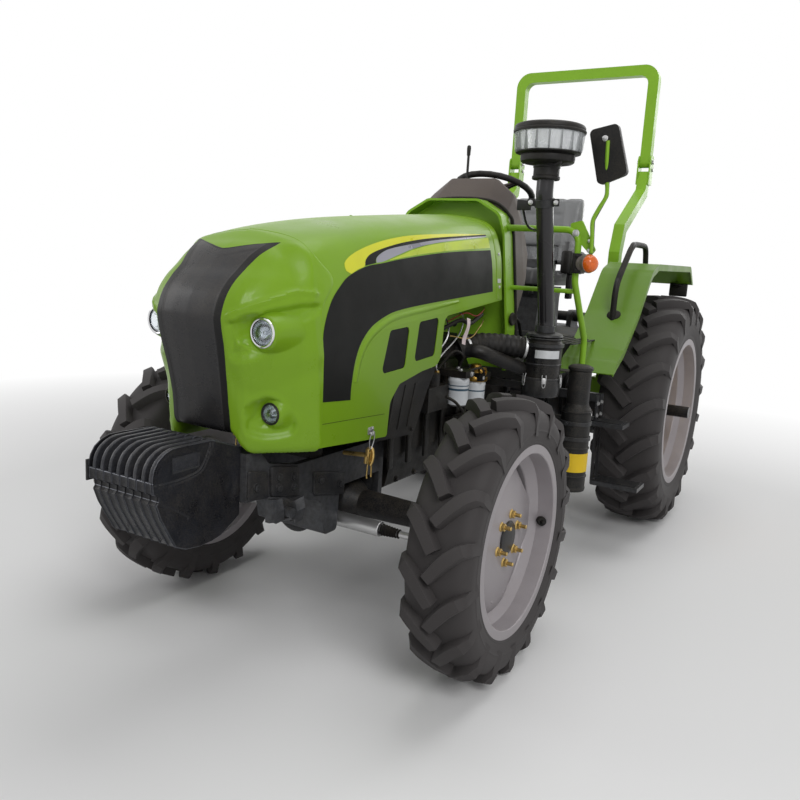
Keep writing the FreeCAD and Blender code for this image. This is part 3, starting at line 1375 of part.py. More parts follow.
def battery():
    """Battery box on the right, ahead of the step."""
    node("battery_box", fuse(prism("y", [(-600, 560, 12), (-330, 560, 12), (-330, 790, 12), (-600, 790, 12)],
                                   940, 1130),
                             box((-330, 1000, 640), (-D.transmission_half_width, 1060, 680))))


# ---------------------------------------------------------------- assembly

for side_name, side_sign in SIDES.items():
    front_wheel(side_sign, side_name)
    rear_wheel(side_sign, side_name)
front_axle()
steering()
front_frame()
front_weights()
engine()
engine_ancillaries()
radiator()
transmission()
rear_axle_housing()
rear_hitch()
bonnet()
cowl()
dash()
floor()
seat()
fender()
steps()
guard_rails()
mirror_and_lamps()
rops()
air_intake()
exhaust()
battery()

doc.recompute()
for item in doc.Objects:
    if "Invalid" in item.State or "Error" in item.State:
        raise RuntimeError(f"{item.Label} ({item.Name}) did not build: {item.State}")

os.makedirs("parts", exist_ok=True)
for name, obj in NODES.items():
    if obj.Shape.isNull() or not obj.Shape.isValid():
        raise RuntimeError(f"{name} has no valid shape")
    obj.Shape.exportStep(f"parts/{name}.step")
print(len(NODES), "sub-parts")
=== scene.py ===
"""Looks for a four-wheel-drive farm tractor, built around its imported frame.

Each sub-assembly is a class that builds its own pieces; each finish is a frozen dataclass.
Lengths are in metres in the row frame: +Z up, the tractor faces -Y and +X is its left side.
"""
import logging
import math
from collections.abc import Callable, Sequence
from dataclasses import dataclass
from enum import Enum

import bmesh
import bpy
import numpy as np
from mathutils import Matrix, Vector, noise
from mathutils.bvhtree import BVHTree


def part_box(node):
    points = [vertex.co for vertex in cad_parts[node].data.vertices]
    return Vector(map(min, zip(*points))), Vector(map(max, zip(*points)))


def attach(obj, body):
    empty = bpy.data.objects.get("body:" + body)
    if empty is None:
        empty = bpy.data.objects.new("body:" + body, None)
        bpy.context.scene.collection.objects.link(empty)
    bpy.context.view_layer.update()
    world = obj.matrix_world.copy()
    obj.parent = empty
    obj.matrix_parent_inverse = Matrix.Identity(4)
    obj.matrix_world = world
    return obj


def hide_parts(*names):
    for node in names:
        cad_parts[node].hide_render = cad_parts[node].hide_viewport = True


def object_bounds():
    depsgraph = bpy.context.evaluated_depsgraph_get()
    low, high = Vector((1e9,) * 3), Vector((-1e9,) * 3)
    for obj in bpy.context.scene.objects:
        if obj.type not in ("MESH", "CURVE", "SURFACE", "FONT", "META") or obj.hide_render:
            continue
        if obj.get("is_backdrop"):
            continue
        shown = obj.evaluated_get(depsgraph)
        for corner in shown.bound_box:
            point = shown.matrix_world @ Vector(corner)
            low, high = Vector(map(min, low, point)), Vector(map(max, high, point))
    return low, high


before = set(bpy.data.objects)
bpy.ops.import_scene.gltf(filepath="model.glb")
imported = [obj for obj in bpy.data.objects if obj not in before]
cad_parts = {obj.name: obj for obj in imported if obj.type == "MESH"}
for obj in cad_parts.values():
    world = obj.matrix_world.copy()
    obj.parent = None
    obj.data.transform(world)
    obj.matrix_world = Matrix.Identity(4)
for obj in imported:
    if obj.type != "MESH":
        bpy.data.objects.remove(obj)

CAD_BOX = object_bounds()
LOG = logging.getLogger("tractor")
MERGE_DISTANCE = 1e-6

Point = tuple[float, float, float]
Pair = tuple[float, float]


# ---------------------------------------------------------------- places in the frame

def centre(node: str) -> Vector:
    """Middle of a CAD node's box.

    Args:
        node: The node's name.

    Returns:
        The box's middle, in the row frame.
    """
    low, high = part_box(node)
    return (Vector(low) + Vector(high)) / 2


FRONT_AXLE_Y = centre("tyre_front_left").y


def ahead(y: float) -> float:
    """Row-frame Y of a place measured back from the front axle.

    Args:
        y: Distance behind the front axle.

    Returns:
        The same place as a row-frame Y.
    """
    return y + FRONT_AXLE_Y


class Side(Enum):
    """A side of the tractor, with its sign along X."""

    LEFT = 1
    RIGHT = -1

    @property
    def word(self) -> str:
        """The side's name as it stands in node names."""
        return self.name.lower()


# ---------------------------------------------------------------- geometry helpers

def facing(origin: Sequence[float], along: Sequence[float], side: Sequence[float] | None = None) -> Matrix:
    """A frame whose Z axis points along a direction.

    Args:
        origin: Where the frame stands.
        along: Direction of the frame's Z axis.
        side: A direction that the X axis should lie near.

    Returns:
        The frame as a 4x4 matrix.
    """
    z_axis = Vector(along).normalized()
    hint = Vector(side) if side else (Vector((0, 0, 1)) if abs(z_axis.z) < .9 else Vector((1, 0, 0)))
    x_axis = (hint - z_axis * hint.dot(z_axis)).normalized()
    y_axis = z_axis.cross(x_axis)
    turn = Matrix((x_axis, y_axis, z_axis)).transposed().to_4x4()
    return Matrix.Translation(Vector(origin)) @ turn


def spline(points: Sequence[Sequence[float]], steps: int = 8, closed: bool = False) -> list[Vector]:
    """A smooth line through points.

    Args:
        points: The points to pass through, of two or three numbers.
        steps: Spans between one point and the next.
        closed: Whether the line runs round to its start.

    Returns:
        The points of the line.
    """
    ends = [Vector(p) for p in points]
    count = len(ends)
    line = []
    for i in range(count if closed else count - 1):
        if closed:
            a, b, c, d = (ends[(i + k) % count] for k in (-1, 0, 1, 2))
        else:
            b, c = ends[i], ends[i + 1]
            a = ends[i - 1] if i else b * 2 - c
            d = ends[i + 2] if i + 2 < count else c * 2 - b
        for k in range(steps):
            t = k / steps
            line.append(.5 * (2 * b + (c - a) * t + (2 * a - 5 * b + 4 * c - d) * t * t
                              + (3 * b - a - 3 * c + d) * t ** 3))
    if not closed:
        line.append(ends[-1])
    return line


def rounded(corners: Sequence[Pair], radius: float, steps: int = 5) -> list[Vector]:
    """A closed outline with rounded corners.

    Args:
        corners: The sharp corners.
        radius: Corner radius; it is cut down where a side is too short.
        steps: Spans in each corner.

    Returns:
        The outline's points.
    """
    points = [Vector(c) for c in corners]
    outline = []
    for i, here in enumerate(points):
        before = points[i - 1] - here
        after = points[(i + 1) % len(points)] - here
        reach = min(radius, before.length * .45, after.length * .45)
        start = here + before.normalized() * reach
        end = here + after.normalized() * reach
        for k in range(steps + 1):
            t = k / steps
            outline.append(start * (1 - t) ** 2 + here * 2 * t * (1 - t) + end * t * t)
    return outline


def blend_step(low: float, high: float, value: float) -> float:
    """A smooth step from 0 to 1.

    Args:
        low: Value where the step starts.
        high: Value where the step ends.
        value: The value looked up.

    Returns:
        0 before the step, 1 after it, and a smooth rise between.
    """
    t = min(1.0, max(0.0, (value - low) / (high - low)))
    return t * t * (3 - 2 * t)


def full_turn(count: int) -> list[float]:
    """Evenly spaced angles round a circle, from 0 on."""
    return [math.tau * k / count for k in range(count)]


class Shape:
    """Collects the faces of one piece, in the row frame."""

    def __init__(self) -> None:
        """Starts with no faces."""
        self.points: list[Vector] = []
        self.faces: list[tuple[int, ...]] = []
        self.marks: list[int] = []
        self.mark = 0

    def face(self, *corners: int) -> None:
        """Adds one face by its corner numbers."""
        self.faces.append(corners)
        self.marks.append(self.mark)

    def grid(self, rows: Sequence[Sequence[Sequence[float]]], round_row: bool = False,
             round_all: bool = False, caps: bool = False) -> "Shape":
        """Adds a skin over rows of points.

        Args:
            rows: Rows with the same number of points.
            round_row: Whether each row is a ring.
            round_all: Whether the last row joins the first.
            caps: Whether the first and last rows are filled.

        Returns:
            This shape.
        """
        base = len(self.points)
        width = len(rows[0])
        for row in rows:
            self.points.extend(Vector(p) for p in row)
        spans = len(rows) if round_all else len(rows) - 1
        for i in range(spans):
            here = base + i * width
            there = base + (i + 1) % len(rows) * width
            for k in range(width if round_row else width - 1):
                after = (k + 1) % width
                self.face(here + k, here + after, there + after, there + k)
        if caps:
            self.face(*range(base + width - 1, base - 1, -1))
            last = base + (len(rows) - 1) * width
            self.face(*range(last, last + width))
        return self

    def lathe(self, place: Matrix, profile: Sequence[Pair], steps: int = 32, closed: bool = False,
              caps: bool = True) -> "Shape":
        """Adds a turned form.

        Args:
            place: Frame whose Z axis is the form's axis.
            profile: Points as (height along the axis, radius).
            steps: Spans round the axis.
            closed: Whether the profile is a closed loop.
            caps: Whether an open profile's ends are filled.

        Returns:
            This shape.
        """
        rows = []
        for height, radius in profile:
            row = []
            for turn in full_turn(steps):
                row.append(place @ Vector((radius * math.cos(turn), radius * math.sin(turn), height)))
            rows.append(row)
        return self.grid(rows, round_row=True, round_all=closed, caps=caps and not closed)

    def tube(self, path: Sequence[Sequence[float]], radius: float | Callable[[float], float],
             sides: int = 10, caps: bool = True) -> "Shape":
        """Adds a round bar or hose along a path.

        Args:
            path: Centreline points.
            radius: Radius, or a function of the share of the path covered.
            sides: Spans round the bar.
            caps: Whether the ends are filled.

        Returns:
            This shape.
        """
        line = [Vector(p) for p in path]
        size = radius if callable(radius) else (lambda share: radius)
        rows = []
        side = None
        for i, here in enumerate(line):
            way = (line[min(i + 1, len(line) - 1)] - line[max(i - 1, 0)]).normalized()
            if side is None:
                side = Vector((0, 0, 1)) if abs(way.z) < .9 else Vector((1, 0, 0))
            side = (side - way * side.dot(way)).normalized()
            other = way.cross(side)
            reach = size(i / (len(line) - 1))
            rows.append([here + (side * math.cos(math.tau * k / sides)
                                 + other * math.sin(math.tau * k / sides)) * reach for k in range(sides)])
        return self.grid(rows, round_row=True, caps=caps)

    def prism(self, place: Matrix, outline: Sequence[Sequence[float]], depth: float,
              bevel: float = 0) -> "Shape":
        """Adds a plate with eased edges.

        Args:
            place: Frame whose X and Y hold the outline and whose Z is the depth.
            outline: The outline's points, counter-clockwise.
            depth: Thickness along Z from 0.
            bevel: Size of the eased edge.

        Returns:
            This shape.
        """
        flat = [Vector(p[:2]) for p in outline]
        shrunk = inset(flat, bevel) if bevel else flat
        layers = [(flat, 0), (flat, depth)]
        if bevel:
            half = inset(flat, bevel * .3)
            layers = [(shrunk, 0), (half, bevel * .3), (flat, bevel), (flat, depth - bevel),
                      (half, depth - bevel * .3), (shrunk, depth)]
        rows = [[place @ Vector((p.x, p.y, height)) for p in loop] for loop, height in layers]
        return self.grid(rows, round_row=True, caps=True)

    def block(self, low: Sequence[float], high: Sequence[float], bevel: float = .002) -> "Shape":
        """Adds a box with eased edges, standing square in the row frame."""
        corners = [(low[0], low[1]), (high[0], low[1]), (high[0], high[1]), (low[0], high[1])]
        return self.prism(Matrix.Translation((0, 0, low[2])), rounded(corners, bevel * 1.5, 3),
                          high[2] - low[2], bevel)

    def bolt(self, at: Sequence[float], along: Sequence[float], size: float, height: float | None = None,
             washer: bool = True) -> "Shape":
        """Adds a hexagon head with its washer.

        Args:
            at: Centre of the seat.
            along: Direction that the head stands up in.
            size: Distance across the head's corners.
            height: Height of the head; by default 0.36 of its size.
            washer: Whether a washer lies under the head.

        Returns:
            This shape.
        """
        place = facing(at, along)
        tall = height or size * .36
        seat = 0.0
        if washer:
            seat = size * .09
            self.lathe(place, [(-seat, size * .66), (seat * .8, size * .66), (seat, size * .62)], 18)
        loop = [(size / 2 * math.cos(math.tau * k / 6), size / 2 * math.sin(math.tau * k / 6))
                for k in range(6)]
        self.prism(place @ Matrix.Translation((0, 0, seat)), loop, tall, size * .06)
        return self

    def thicken(self, depth: float) -> "Shape":
        """Turns an open skin into a plate by adding its inner face and its rim.

        Args:
            depth: Thickness of the plate, laid on the side that the faces turn away from.

        Returns:
            This shape.
        """
        work = bmesh.new()
        spots = [work.verts.new(p) for p in self.points]
        for corners, mark in zip(self.faces, self.marks):
            work.faces.new([spots[c] for c in corners]).material_index = mark
        bmesh.ops.remove_doubles(work, verts=work.verts, dist=MERGE_DISTANCE)
        bmesh.ops.delete(work, geom=[v for v in work.verts if not v.link_faces], context="VERTS")
        work.verts.index_update()
        work.normal_update()
        count = len(work.verts)
        outer = [v.co.copy() for v in work.verts]
        inner = [v.co - v.normal * depth for v in work.verts]
        faces = [(tuple(v.index for v in f.verts), f.material_index) for f in work.faces]
        rims = []
        for edge in work.edges:
            if len(edge.link_loops) == 1:
                loop = edge.link_loops[0]
                a, b = loop.vert.index, loop.link_loop_next.vert.index
                rims.append(((b, a, a + count, b + count), loop.face.material_index))
        backs = [(tuple(i + count for i in reversed(c)), mark) for c, mark in faces]
        work.free()
        self.points = outer + inner
        self.faces = [c for c, _ in faces + backs + rims]
        self.marks = [mark for _, mark in faces + backs + rims]
        return self

    def make(self, name: str, finish: "Finish | Sequence[Finish]", body: str, slot: str | None = None,
             sharp: float = 35, replaces: Sequence[str] = ()) -> bpy.types.Object:
        """Turns the collected faces into a piece that rides a body.

        Args:
            name: The piece's name.
            finish: One finish, or one for each mark.
            body: The CAD body that it rides.
            slot: The record's material slot, if it has one; not used.
            sharp: Angle in degrees above which an edge stays sharp.
            replaces: CAD nodes that the piece stands for.

        Returns:
            The new object.
        """
        mesh = bpy.data.meshes.new(name)
        mesh.from_pydata([tuple(p) for p in self.points], [], self.faces)
        finishes = finish if isinstance(finish, (list, tuple)) else [finish]
        for one in finishes:
            mesh.materials.append(one.material())
        mesh.polygons.foreach_set("material_index", [min(m, len(finishes) - 1) for m in self.marks])
        mesh.validate()
        mesh.shade_smooth()
        mesh.set_sharp_from_angle(angle=math.radians(sharp))
        obj = bpy.data.objects.new(name, mesh)
        bpy.context.scene.collection.objects.link(obj)
        square_normals(obj)
        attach(obj, body)
        if replaces:
            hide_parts(*replaces)
        LOG.info("%s: %d faces on %s", name, len(self.faces), body)
        return obj


def square_normals(obj: bpy.types.Object) -> None:
    """Turns the faces of an object's closed shells outward."""
    work = bmesh.new()
    work.from_mesh(obj.data)
    bmesh.ops.remove_doubles(work, verts=work.verts, dist=MERGE_DISTANCE)
    bmesh.ops.recalc_face_normals(work, faces=work.faces)
    work.to_mesh(obj.data)
    work.free()


def inset(outline: Sequence[Vector], depth: float) -> list[Vector]:
    """An outline drawn in by a distance.

    Args:
        outline: Points of a counter-clockwise outline.
        depth: How far it is drawn in.

    Returns:
        The points of the smaller outline.
    """
    count = len(outline)
    loop = []
    for i, here in enumerate(outline):
        before = here - outline[i - 1]
        after = outline[(i + 1) % count] - here
        if before.length < 1e-7:
            before = here - outline[i - 2]
        if after.length < 1e-7:
            after = outline[(i + 2) % count] - here
        normal = Vector((-before.y, before.x)).normalized() + Vector((-after.y, after.x)).normalized()
        if normal.length < 1e-6:
            loop.append(here.copy())
            continue
        normal.normalize()
        lean = max(.45, normal.dot(Vector((-before.y, before.x)).normalized()))
        loop.append(here + normal * depth / lean)
    return loop


# ---------------------------------------------------------------- shared shader effects

def srgb(red: float, green: float, blue: float) -> tuple[float, float, float, float]:
    """A colour written as 0 to 255, made linear.

    Args:
        red: Red share.
        green: Green share.
        blue: Blue share.

    Returns:
        The linear colour with a full alpha.
    """
    line = [c / 255 / 12.92 if c / 255 <= .04045 else ((c / 255 + .055) / 1.055) ** 2.4
            for c in (red, green, blue)]
    return (line[0], line[1], line[2], 1.0)


class Socket(Enum):
    """Kinds of named inputs and outputs that the effects use."""

    COLOUR = "NodeSocketColor"
    NUMBER = "NodeSocketFloat"
    VECTOR = "NodeSocketVector"


class Effect:
    """A node group with named sockets, built once and used in many materials.

    Attributes:
        built: The groups made so far, by name.
    """

    built: dict[str, bpy.types.NodeTree] = {}

    def __init__(self, name: str) -> None:
        """Starts an empty group of that name."""
        self.tree = bpy.data.node_groups.new(name, "ShaderNodeTree")
        self.start = self.tree.nodes.new("NodeGroupInput")
        self.end = self.tree.nodes.new("NodeGroupOutput")
        Effect.built[name] = self.tree

    def takes(self, name: str, kind: Socket, value: object = None) -> bpy.types.NodeSocket:
        """Adds an input.

        Args:
            name: The socket's name.
            kind: The socket's kind.
            value: Its value when nothing is linked.

        Returns:
            The socket inside the group.
        """
        made = self.tree.interface.new_socket(name=name, in_out="INPUT", socket_type=kind.value)
        if value is not None:
            made.default_value = value
        return self.start.outputs[name]

    def gives(self, name: str, kind: Socket, source: bpy.types.NodeSocket) -> None:
        """Adds an output and feeds it."""
        self.tree.interface.new_socket(name=name, in_out="OUTPUT", socket_type=kind.value)
        self.tree.links.new(source, self.end.inputs[name])

    def node(self, kind: str, links: dict[object, object] | None = None,
             **settings: object) -> bpy.types.Node:
        """Adds a node; see wire for what links holds."""
        return wire(self.tree, kind, links, **settings)


def wire(tree: bpy.types.NodeTree, kind: str, links: dict[object, object] | None = None,
         **settings: object) -> bpy.types.Node:
    """Adds a node to a tree.

    Args:
        tree: The tree.
        kind: The node's type name.
        links: For each input name or number, a socket to link or a plain value.
        settings: Values of the node's own properties.

    Returns:
        The new node.
    """
    made = tree.nodes.new(kind)
    for key, value in settings.items():
        setattr(made, key, value)
    for key, value in (links or {}).items():
        if isinstance(value, bpy.types.NodeSocket):
            tree.links.new(value, made.inputs[key])
        else:
            made.inputs[key].default_value = value
    return made


def math_node(tree: bpy.types.NodeTree, operation: str, *values: object) -> bpy.types.NodeSocket:
    """Result socket of a math node.

    Args:
        tree: The tree.
        operation: The operation's name.
        values: Sockets or numbers for its inputs.

    Returns:
        The node's value socket.
    """
    made = wire(tree, "ShaderNodeMath", dict(enumerate(values)), operation=operation)
    return made.outputs[0]


def build_mottle() -> None:
    """Effect: a colour that drifts in soft patches, and the patches' mask."""
    effect = Effect("Mottle")
    place = effect.takes("Place", Socket.VECTOR)
    size = effect.takes("Per Metre", Socket.NUMBER, 6.0)
    colour = effect.takes("Colour", Socket.COLOUR)
    depth = effect.takes("Depth", Socket.NUMBER, .1)
    broad = effect.node("ShaderNodeTexNoise",
                        {"Vector": place, "Scale": size, "Detail": 6.0, "Roughness": .6})
    tone = effect.node("ShaderNodeMapRange", {"Value": broad.outputs["Fac"], "From Min": .3, "From Max": .7,
                                              "To Min": -1.0, "To Max": 1.0})
    shift = math_node(effect.tree, "MULTIPLY", tone.outputs[0], depth)
    gain = math_node(effect.tree, "ADD", shift, 1.0)
    scaled = effect.node("ShaderNodeVectorMath", {0: colour, "Scale": gain}, operation="SCALE")
    effect.gives("Colour", Socket.COLOUR, scaled.outputs[0])
    effect.gives("Mask", Socket.NUMBER, broad.outputs["Fac"])


def build_grain() -> None:
    """Effect: height of a fine grain with coarser waves under it."""
    effect = Effect("Grain")
    place = effect.takes("Place", Socket.VECTOR)
    fine = effect.takes("Fine", Socket.NUMBER, 400.0)
    coarse = effect.takes("Coarse", Socket.NUMBER, 30.0)
    share = effect.takes("Coarse Share", Socket.NUMBER, .5)
    small = effect.node("ShaderNodeTexNoise", {"Vector": place, "Scale": fine, "Detail": 3.0})
    large = effect.node("ShaderNodeTexNoise", {"Vector": place, "Scale": coarse, "Detail": 2.0})
    low = math_node(effect.tree, "MULTIPLY", large.outputs["Fac"], share)
    effect.gives("Height", Socket.NUMBER, math_node(effect.tree, "ADD", small.outputs["Fac"], low))


def build_dust() -> None:
    """Effect: mask of dust that lies in patches, more where a surface looks up."""
    effect = Effect("Dust")
    place = effect.takes("Place", Socket.VECTOR)
    normal = effect.takes("Normal", Socket.VECTOR)
    amount = effect.takes("Amount", Socket.NUMBER, .3)
    patches = effect.node("ShaderNodeTexNoise",
                          {"Vector": place, "Scale": 9.0, "Detail": 8.0, "Roughness": .7})
    specks = effect.node("ShaderNodeTexNoise", {"Vector": place, "Scale": 260.0, "Detail": 2.0})
    axes = effect.node("ShaderNodeSeparateXYZ", {0: normal})
    up = effect.node("ShaderNodeMapRange", {"Value": axes.outputs["Z"], "From Min": -.4, "From Max": 1.0,
                                            "To Min": .35, "To Max": 1.0})
    mix = math_node(effect.tree, "MULTIPLY", patches.outputs["Fac"], specks.outputs["Fac"])
    cut = effect.node("ShaderNodeMapRange", {"Value": mix, "From Min": .16, "From Max": .42})
    lit = math_node(effect.tree, "MULTIPLY", cut.outputs[0], up.outputs[0])
    effect.gives("Mask", Socket.NUMBER, math_node(effect.tree, "MULTIPLY", lit, amount))


def build_edge_wear() -> None:
    """Effect: mask of the rubbed outer edges of a casting or a bar."""
    effect = Effect("Edge Wear")
    place = effect.takes("Place", Socket.VECTOR)
    edge = effect.takes("Pointiness", Socket.NUMBER, .5)
    amount = effect.takes("Amount", Socket.NUMBER, .5)
    chips = effect.node("ShaderNodeTexNoise", {"Vector": place, "Scale": 55.0, "Detail": 5.0})
    sharp = effect.node("ShaderNodeMapRange", {"Value": edge, "From Min": .52, "From Max": .6})
    worn = math_node(effect.tree, "MULTIPLY", sharp.outputs[0], chips.outputs["Fac"])
    effect.gives("Mask", Socket.NUMBER, math_node(effect.tree, "MULTIPLY", worn, amount))


def build_weave() -> None:
    """Effect: height of a fine woven cloth, from crossed waves."""
    effect = Effect("Weave")
    place = effect.takes("Place", Socket.VECTOR)
    pitch = effect.takes("Per Metre", Socket.NUMBER, 160.0)
    warp = effect.node("ShaderNodeTexWave", {"Vector": place, "Scale": pitch, "Distortion": .4},
                       bands_direction="X")
    weft = effect.node("ShaderNodeTexWave", {"Vector": place, "Scale": pitch, "Distortion": .4},
                       bands_direction="Y")
    effect.gives("Height", Socket.NUMBER,
                 math_node(effect.tree, "MAXIMUM", warp.outputs["Fac"], weft.outputs["Fac"]))


# ---------------------------------------------------------------- finishes

@dataclass(frozen=True)
class Finish:
    """A paint, metal, rubber or plastic with its own grain, drift of tone, dust and wear.

    Attributes:
        name: The material's name.
        colour: Colour as 0 to 255.
        roughness: Middle roughness.
        metallic: 0 for paint and plastic, 1 for bare metal.
        coat: Clear coat over the paint.
        mottle: How far the tone drifts.
        mottle_size: Patches per metre.
        grain: Strength of the surface grain.
        fine: Fine grains per metre.
        coarse: Coarse waves per metre.
        coarse_share: Height of the coarse waves beside the fine grain.
        dust: Amount of dust.
        wear: Amount of rubbed edge.
        dust_colour: Colour of the dust, as 0 to 255.
        wear_colour: Colour of the rubbed edge, as 0 to 255.
        drift: How far the roughness strays to either side of its middle.
        specular: Strength of the mirror-like share of the light.
    """

    name: str
    colour: tuple[float, float, float]
    roughness: float = .5
    metallic: float = 0.0
    coat: float = 0.0
    mottle: float = .06
    mottle_size: float = 5.0
    grain: float = .05
    fine: float = 500.0
    coarse: float = 30.0
    coarse_share: float = .5
    dust: float = .1
    wear: float = 0.0
    dust_colour: tuple[float, float, float] = (150, 138, 118)
    wear_colour: tuple[float, float, float] = (120, 122, 126)
    drift: float = .12
    specular: float = .22

    def material(self) -> bpy.types.Material:
        """The finish's material, built the first time it is asked for."""
        known = bpy.data.materials.get(self.name)
        if known:
            return known
        made = bpy.data.materials.new(self.name)
        made.use_nodes = True
        tree = made.node_tree
        self.dress(tree, tree.nodes["Principled BSDF"])
        made.diffuse_color = srgb(*self.colour)
        return made

    def group(self, tree: bpy.types.NodeTree, name: str, **links: object) -> bpy.types.Node:
        """Places a shared effect in a material.

        Args:
            tree: The material's tree.
            name: The effect's name.
            links: Socket names, with _ for a space, and what they take.

        Returns:
            The group node.
        """
        made = tree.nodes.new("ShaderNodeGroup")
        made.node_tree = Effect.built[name]
        for key, value in links.items():
            socket = made.inputs[key.replace("_", " ")]
            if isinstance(value, bpy.types.NodeSocket):
                tree.links.new(value, socket)
            else:
                socket.default_value = value
        return made

    def dress(self, tree: bpy.types.NodeTree, shader: bpy.types.Node) -> None:
        """Builds the nodes that feed the shader.

        Args:
            tree: The material's tree.
            shader: Its Principled BSDF.
        """
        place = wire(tree, "ShaderNodeTexCoord")
        site = place.outputs["Object"]
        tone = self.group(tree, "Mottle", Place=site, Per_Metre=self.mottle_size,
                          Colour=srgb(*self.colour), Depth=self.mottle)
        dust = self.group(tree, "Dust", Place=site, Normal=place.outputs["Normal"], Amount=self.dust)
        colour = wire(tree, "ShaderNodeMix", {0: dust.outputs["Mask"], 6: tone.outputs["Colour"],
                                              7: srgb(*self.dust_colour)}, data_type="RGBA").outputs[2]
        metal = None
        if self.wear:
            edge = wire(tree, "ShaderNodeNewGeometry").outputs["Pointiness"]
            rub = self.group(tree, "Edge Wear", Place=site, Pointiness=edge, Amount=self.wear)
            colour = wire(tree, "ShaderNodeMix", {0: rub.outputs["Mask"], 6: colour,
                                                  7: srgb(*self.wear_colour)}, data_type="RGBA").outputs[2]
            metal = rub.outputs["Mask"]
        tree.links.new(colour, shader.inputs["Base Color"])
        rough = wire(tree, "ShaderNodeMapRange", {"Value": tone.outputs["Mask"], "From Min": .3,
                                                  "From Max": .7, "To Min": self.roughness - self.drift,
                                                  "To Max": self.roughness + self.drift})
        dull = math_node(tree, "ADD", rough.outputs[0], dust.outputs["Mask"])
        tree.links.new(dull, shader.inputs["Roughness"])
        if metal and not self.metallic:
            tree.links.new(metal, shader.inputs["Metallic"])
        else:
            shader.inputs["Metallic"].default_value = self.metallic
        shader.inputs["Coat Weight"].default_value = self.coat
        shader.inputs["Coat Roughness"].default_value = .08
        shader.inputs["Specular IOR Level"].default_value = self.specular
        tree.links.new(self.relief(tree, place), shader.inputs["Normal"])

    def relief(self, tree: bpy.types.NodeTree, place: bpy.types.Node) -> bpy.types.NodeSocket:
        """Normal of the finish's surface grain."""
        grain = self.group(tree, "Grain", Place=place.outputs["Object"], Fine=self.fine,
                           Coarse=self.coarse, Coarse_Share=self.coarse_share)
        bump = wire(tree, "ShaderNodeBump", {"Strength": self.grain, "Distance": .002,
                                             "Height": grain.outputs["Height"]})
        return bump.outputs["Normal"]


@dataclass(frozen=True)
class Cloth(Finish):
    """A woven fabric with a soft sheen.

    Attributes:
        pitch: Threads per metre.
        sheen: Strength of the sheen.
    """

    pitch: float = 150.0
    sheen: float = .3

    def relief(self, tree: bpy.types.NodeTree, place: bpy.types.Node) -> bpy.types.NodeSocket:
        """Normal of the weave."""
        weave = self.group(tree, "Weave", Place=place.outputs["Object"], Per_Metre=self.pitch)
        bump = wire(tree, "ShaderNodeBump", {"Strength": self.grain, "Distance": .001,
                                             "Height": weave.outputs["Height"]})
        return bump.outputs["Normal"]

    def dress(self, tree: bpy.types.NodeTree, shader: bpy.types.Node) -> None:
        """Builds the cloth's nodes and its sheen.

        Args:
            tree: The material's tree.
            shader: Its Principled BSDF.
        """
        super().dress(tree, shader)
        shader.inputs["Sheen Weight"].default_value = self.sheen


@dataclass(frozen=True)
class Clear:
    """A see-through plastic or glass.

    Attributes:
        name: The material's name.
        colour: Tint as 0 to 255.
        roughness: Roughness of the surface.
        ior: Index of refraction.
        alpha: Share of the surface that shows, for thin film; 1 for solid glass.
        ripple: Strength of its waves.
    """

    name: str
    colour: tuple[float, float, float]
    roughness: float = .05
    ior: float = 1.45
    alpha: float = 1.0
    ripple: float = .0

    def material(self) -> bpy.types.Material:
        """The finish's material, built the first time it is asked for."""
        known = bpy.data.materials.get(self.name)
        if known:
            return known
        made = bpy.data.materials.new(self.name)
        made.use_nodes = True
        tree = made.node_tree
        shader = tree.nodes["Principled BSDF"]
        shader.inputs["Base Color"].default_value = srgb(*self.colour)
        shader.inputs["Roughness"].default_value = self.roughness
        shader.inputs["IOR"].default_value = self.ior
        if self.alpha < 1:
            shader.inputs["Alpha"].default_value = self.alpha
        else:
            shader.inputs["Transmission Weight"].default_value = 1.0
        if self.ripple:
            site = wire(tree, "ShaderNodeTexCoord").outputs["Object"]
            wave = wire(tree, "ShaderNodeTexNoise", {"Vector": site, "Scale": 38.0, "Detail": 4.0})
            bump = wire(tree, "ShaderNodeBump", {"Strength": self.ripple, "Distance": .004,
                                                 "Height": wave.outputs["Fac"]})
            tree.links.new(bump.outputs["Normal"], shader.inputs["Normal"])
        return made


GREEN = Finish("bonnet_green", (120, 160, 30), .34, coat=.08, specular=.2, mottle=.05, mottle_size=2.5,
               grain=.035,
               fine=300, coarse=9, coarse_share=3, dust=.05)
RAIL_GREEN = Finish("rail_green", (132, 180, 44), .36, coat=.08, mottle=.05, grain=.04, fine=300, coarse=14,
                    coarse_share=2, dust=.08)
DECAL_BLACK = Finish("decal_black", (18, 19, 18), .5, mottle=.12, grain=.05, coarse=12, dust=.02,
                     specular=.12)
PANEL_BLACK = Finish("panel_black", (44, 44, 46), .3, mottle=.12, mottle_size=8, grain=.08, coarse=10,
                     coarse_share=2.5, dust=.12)
PANEL_EDGE = Finish("panel_edge_black", (14, 14, 15), .45, mottle=.05, dust=.05)
SWOOSH_YELLOW = Finish("swoosh_yellow", (214, 214, 50), .35, mottle=.05, dust=.03)
SWOOSH_LIME = Finish("swoosh_lime", (186, 206, 56), .35, mottle=.12, mottle_size=9, dust=.03)
SWOOSH_SILVER = Finish("swoosh_silver", (150, 150, 160), .35, metallic=.3, dust=.03)
CASTING = Finish("black_casting", (20, 22, 27), .4, mottle=.2, mottle_size=12, grain=.3, fine=330,
                 coarse=60, coarse_share=1.2, dust=.22, wear=.5)
WEIGHT_IRON = Finish("weight_iron", (21, 23, 29), .33, mottle=.18, mottle_size=14, grain=.45, fine=220,
                     coarse=45, coarse_share=1.6, dust=.12, wear=.9, wear_colour=(132, 134, 142))
# Bright metal for the weights' ledge edges: rubbed bare metal, with a painted highlight laid along those edges
# as well.
EDGE_WEAR_AND_HIGHLIGHT = Finish("edge_wear_and_highlight", (146, 148, 156), .34, metallic=.7, mottle=.35, mottle_size=60, grain=.3,
                   dust=.1)
